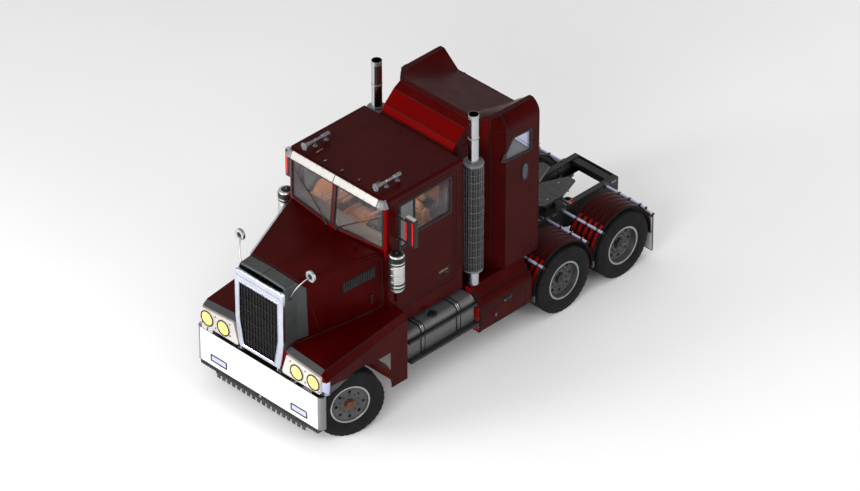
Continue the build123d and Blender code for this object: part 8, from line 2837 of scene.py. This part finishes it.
def lining_details():
    # padded headliner
    bm = new_mesh()
    for i in range(19):
        y = 1010 + i * 62
        width = 820 if y > 1080 else 780
        low = [P(-width, y, 3300), P(width, y, 3300), P(width, y + 58, 3300), P(-width, y + 58, 3300)]
        add_plate(bm, low, UP, 0.02)
    finish_mesh("headliner", bm, interior_tan, bevel=0.009, segments=3)
    bm = new_mesh()
    add_box(bm, P(-905, 1190, 1501), P(905, 2215, 1509))
    for i in range(48):
        x = -890 + i * 37.5
        add_box(bm, P(x, 1200, 1508), P(x + 14, 2205, 1513))
    # pedals and the gear lever with its boot
    for x, z in ((300, 1640), (440, 1640), (600, 1600)):
        pad = Matrix.Translation(P(x, 1170, z)) @ Matrix.Rotation(math.radians(30), 4, "X")
        add_box(bm, (-0.04, -0.008, -0.05), (0.04, 0.008, 0.05), 0, pad)
        add_tube(bm, [P(x, 1165, z), P(x, 1070, z + 200)], 0.009, 8, 1)
    for i in range(6):
        add_turned(
            bm, [(0.085 - i * 0.012, 0), (0.09 - i * 0.012, 0.012), (0.08 - i * 0.012, 0.024)],
            P(120, 1420, 1508 + i * 22), UP, 24
        )
    add_tube(
        bm, curve_points([P(120, 1420, 1560), P(125, 1410, 1900), P(140, 1380, 2160)], 8), 0.011, 12, 1
    )
    add_turned(
        bm, [(0.011, -0.01), (0.026, 0.005), (0.03, 0.03), (0.02, 0.052), (0, 0.058)], P(140, 1380, 2155),
        (0.05, -0.1, 1), 22
    )
    finish_mesh("floor_mat", bm, [black_rubber, pipe_steel], bevel=0.001, segments=1)
    # cards on the sleeper's walls, and covers over the joint with the cab
    bm = new_mesh()
    for side in (1, -1):
        card = round_corners([(3095, 2120), (3095, 2880), (3640, 2880), (3640, 2120)], 60, 6)
        add_plate(bm, [P(side * 984, y, z) for y, z in card], (-side, 0, 0), 0.012)
        for z in (2300, 2500, 2700):
            add_tube(bm, [P(side * 971, 3130, z), P(side * 971, 3610, z)], 0.004, 6, 1)
        corners = ((2080, 1620), (2215, 1620), (2215, 3250), (2080, 3250))
        add_plate(bm, [P(side * 919, y, z) for y, z in corners], (-side, 0, 0), 0.010)
    finish_mesh("wall_linings", bm, [interior_tan, seam_black], bevel=0.003)


def door_card_details():
    # quilted cards, armrest and pull on the inside of both doors
    for side, name in SIDES:
        hit = caster(f"door_{name}")
        spot = hit(P(0, 1500, 2000), P(side * 2000, 1500, 2000))
        if spot is None:
            continue
        inner = abs(spot.x) * 1000
        bm = new_mesh()
        card = round_corners([(1055, 1640), (1055, 2430), (1300, 2400), (2010, 2530), (2010, 1640)], 50, 6)
        add_plate(bm, [P(side * (inner - 0.5), y, z) for y, z in card], (-side, 0, 0), 0.008)
        for k in range(6):
            z = 1760 + k * 100
            add_tube(bm, [P(side * (inner - 9), 1090, z), P(side * (inner - 9), 1980, z)], 0.0035, 6, 1)
        for k in range(2):
            y = 1380 + 320 * k
            add_tube(bm, [P(side * (inner - 9), y, 1680), P(side * (inner - 9), y, 2360)], 0.0035, 6, 1)
        add_box(bm, P(side * (inner - 42), 1420, 2060), P(side * (inner - 8), 1860, 2100))
        add_tube(
            bm,
            curve_points(
                [
                    P(side * (inner - 10), 1250, 2180), P(side * (inner - 40), 1270, 2200),
                    P(side * (inner - 40), 1400, 2200), P(side * (inner - 10), 1420, 2180)
                ], 6
            ), 0.009, 10, 2
        )
        finish_mesh(
            f"door_card_{name}", bm, [interior_tan, seam_black, pipe_steel], f"door_{name}",
            bevel=0.003
        )


def replace_bunk():
    # cabinet under the bed with drawers
    bm = new_mesh()
    add_box(bm, P(-970, 3160, 1502), P(970, 3660, 1860))
    for i in range(3):
        x = -620 + i * 620
        face = upright_rect(x, 3160, 1690, 0.54, 0.26, 0.02, 4)
        add_plate(bm, face, FRONT, 0.012, 1)
        add_tube(
            bm,
            curve_points(
                [
                    P(x - 70, 3148, 1760), P(x - 60, 3128, 1760), P(x + 60, 3128, 1760),
                    P(x + 70, 3148, 1760)
                ], 4
            ), 0.006, 8, 2
        )
    finish_mesh("bunk_cabinet", bm, [dash_plastic, interior_tan, pipe_steel], bevel=0.003)
    matrix = Matrix.Translation(P(0, 3412, 1950))
    mattress = padded_piece(
        "mattress", cushion_mesh(1.93, 0.49, 0.17, 4, 9, 0.012, 0.012, 5.0), matrix, bunk_cloth,
    )
    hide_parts("bunk")
    for k, x in enumerate((-760, 740)):
        tilt = Matrix.Translation(P(x, 3420, 2078)) @ Matrix.Rotation(math.radians(8 if k else -6), 4, "Y")
        padded_piece(
            f"pillow_{k + 1}", cushion_mesh(0.36, 0.42, 0.11, 1, 1, 0.02, corner=2.3), tilt, pillow_cloth,
        )
    # piping round the mattress
    bm = new_mesh()
    for z in (1900, 2002):
        ring = [P(x * 1000, 3412 + y * 1000, z) for x, y in rounded_rect(1.915, 0.478, 0.035, 6)]
        add_tube(bm, ring, 0.004, 6, closed=True)
    finish_mesh("mattress_piping", bm, seam_black)


belt_weave = woven("belt_weave", (0.03, 0.03, 0.032), 0.004)
pillow_cloth = woven("pillow_cloth", (0.62, 0.6, 0.56), 0.005)
dial_face = coated("dial_face", (0.012, 0.012, 0.013), 0.3, 0.8, 0.0, 0.03, 0.05, None, 0.0)
dial_mark = coated("dial_mark", (0.8, 0.8, 0.78), 0.4, 0.2, 0.0, 0.03, 0.05, None, 0.0)
replace_seats()
dash_details()
steering_wheel_details()
lining_details()
door_card_details()
replace_bunk()
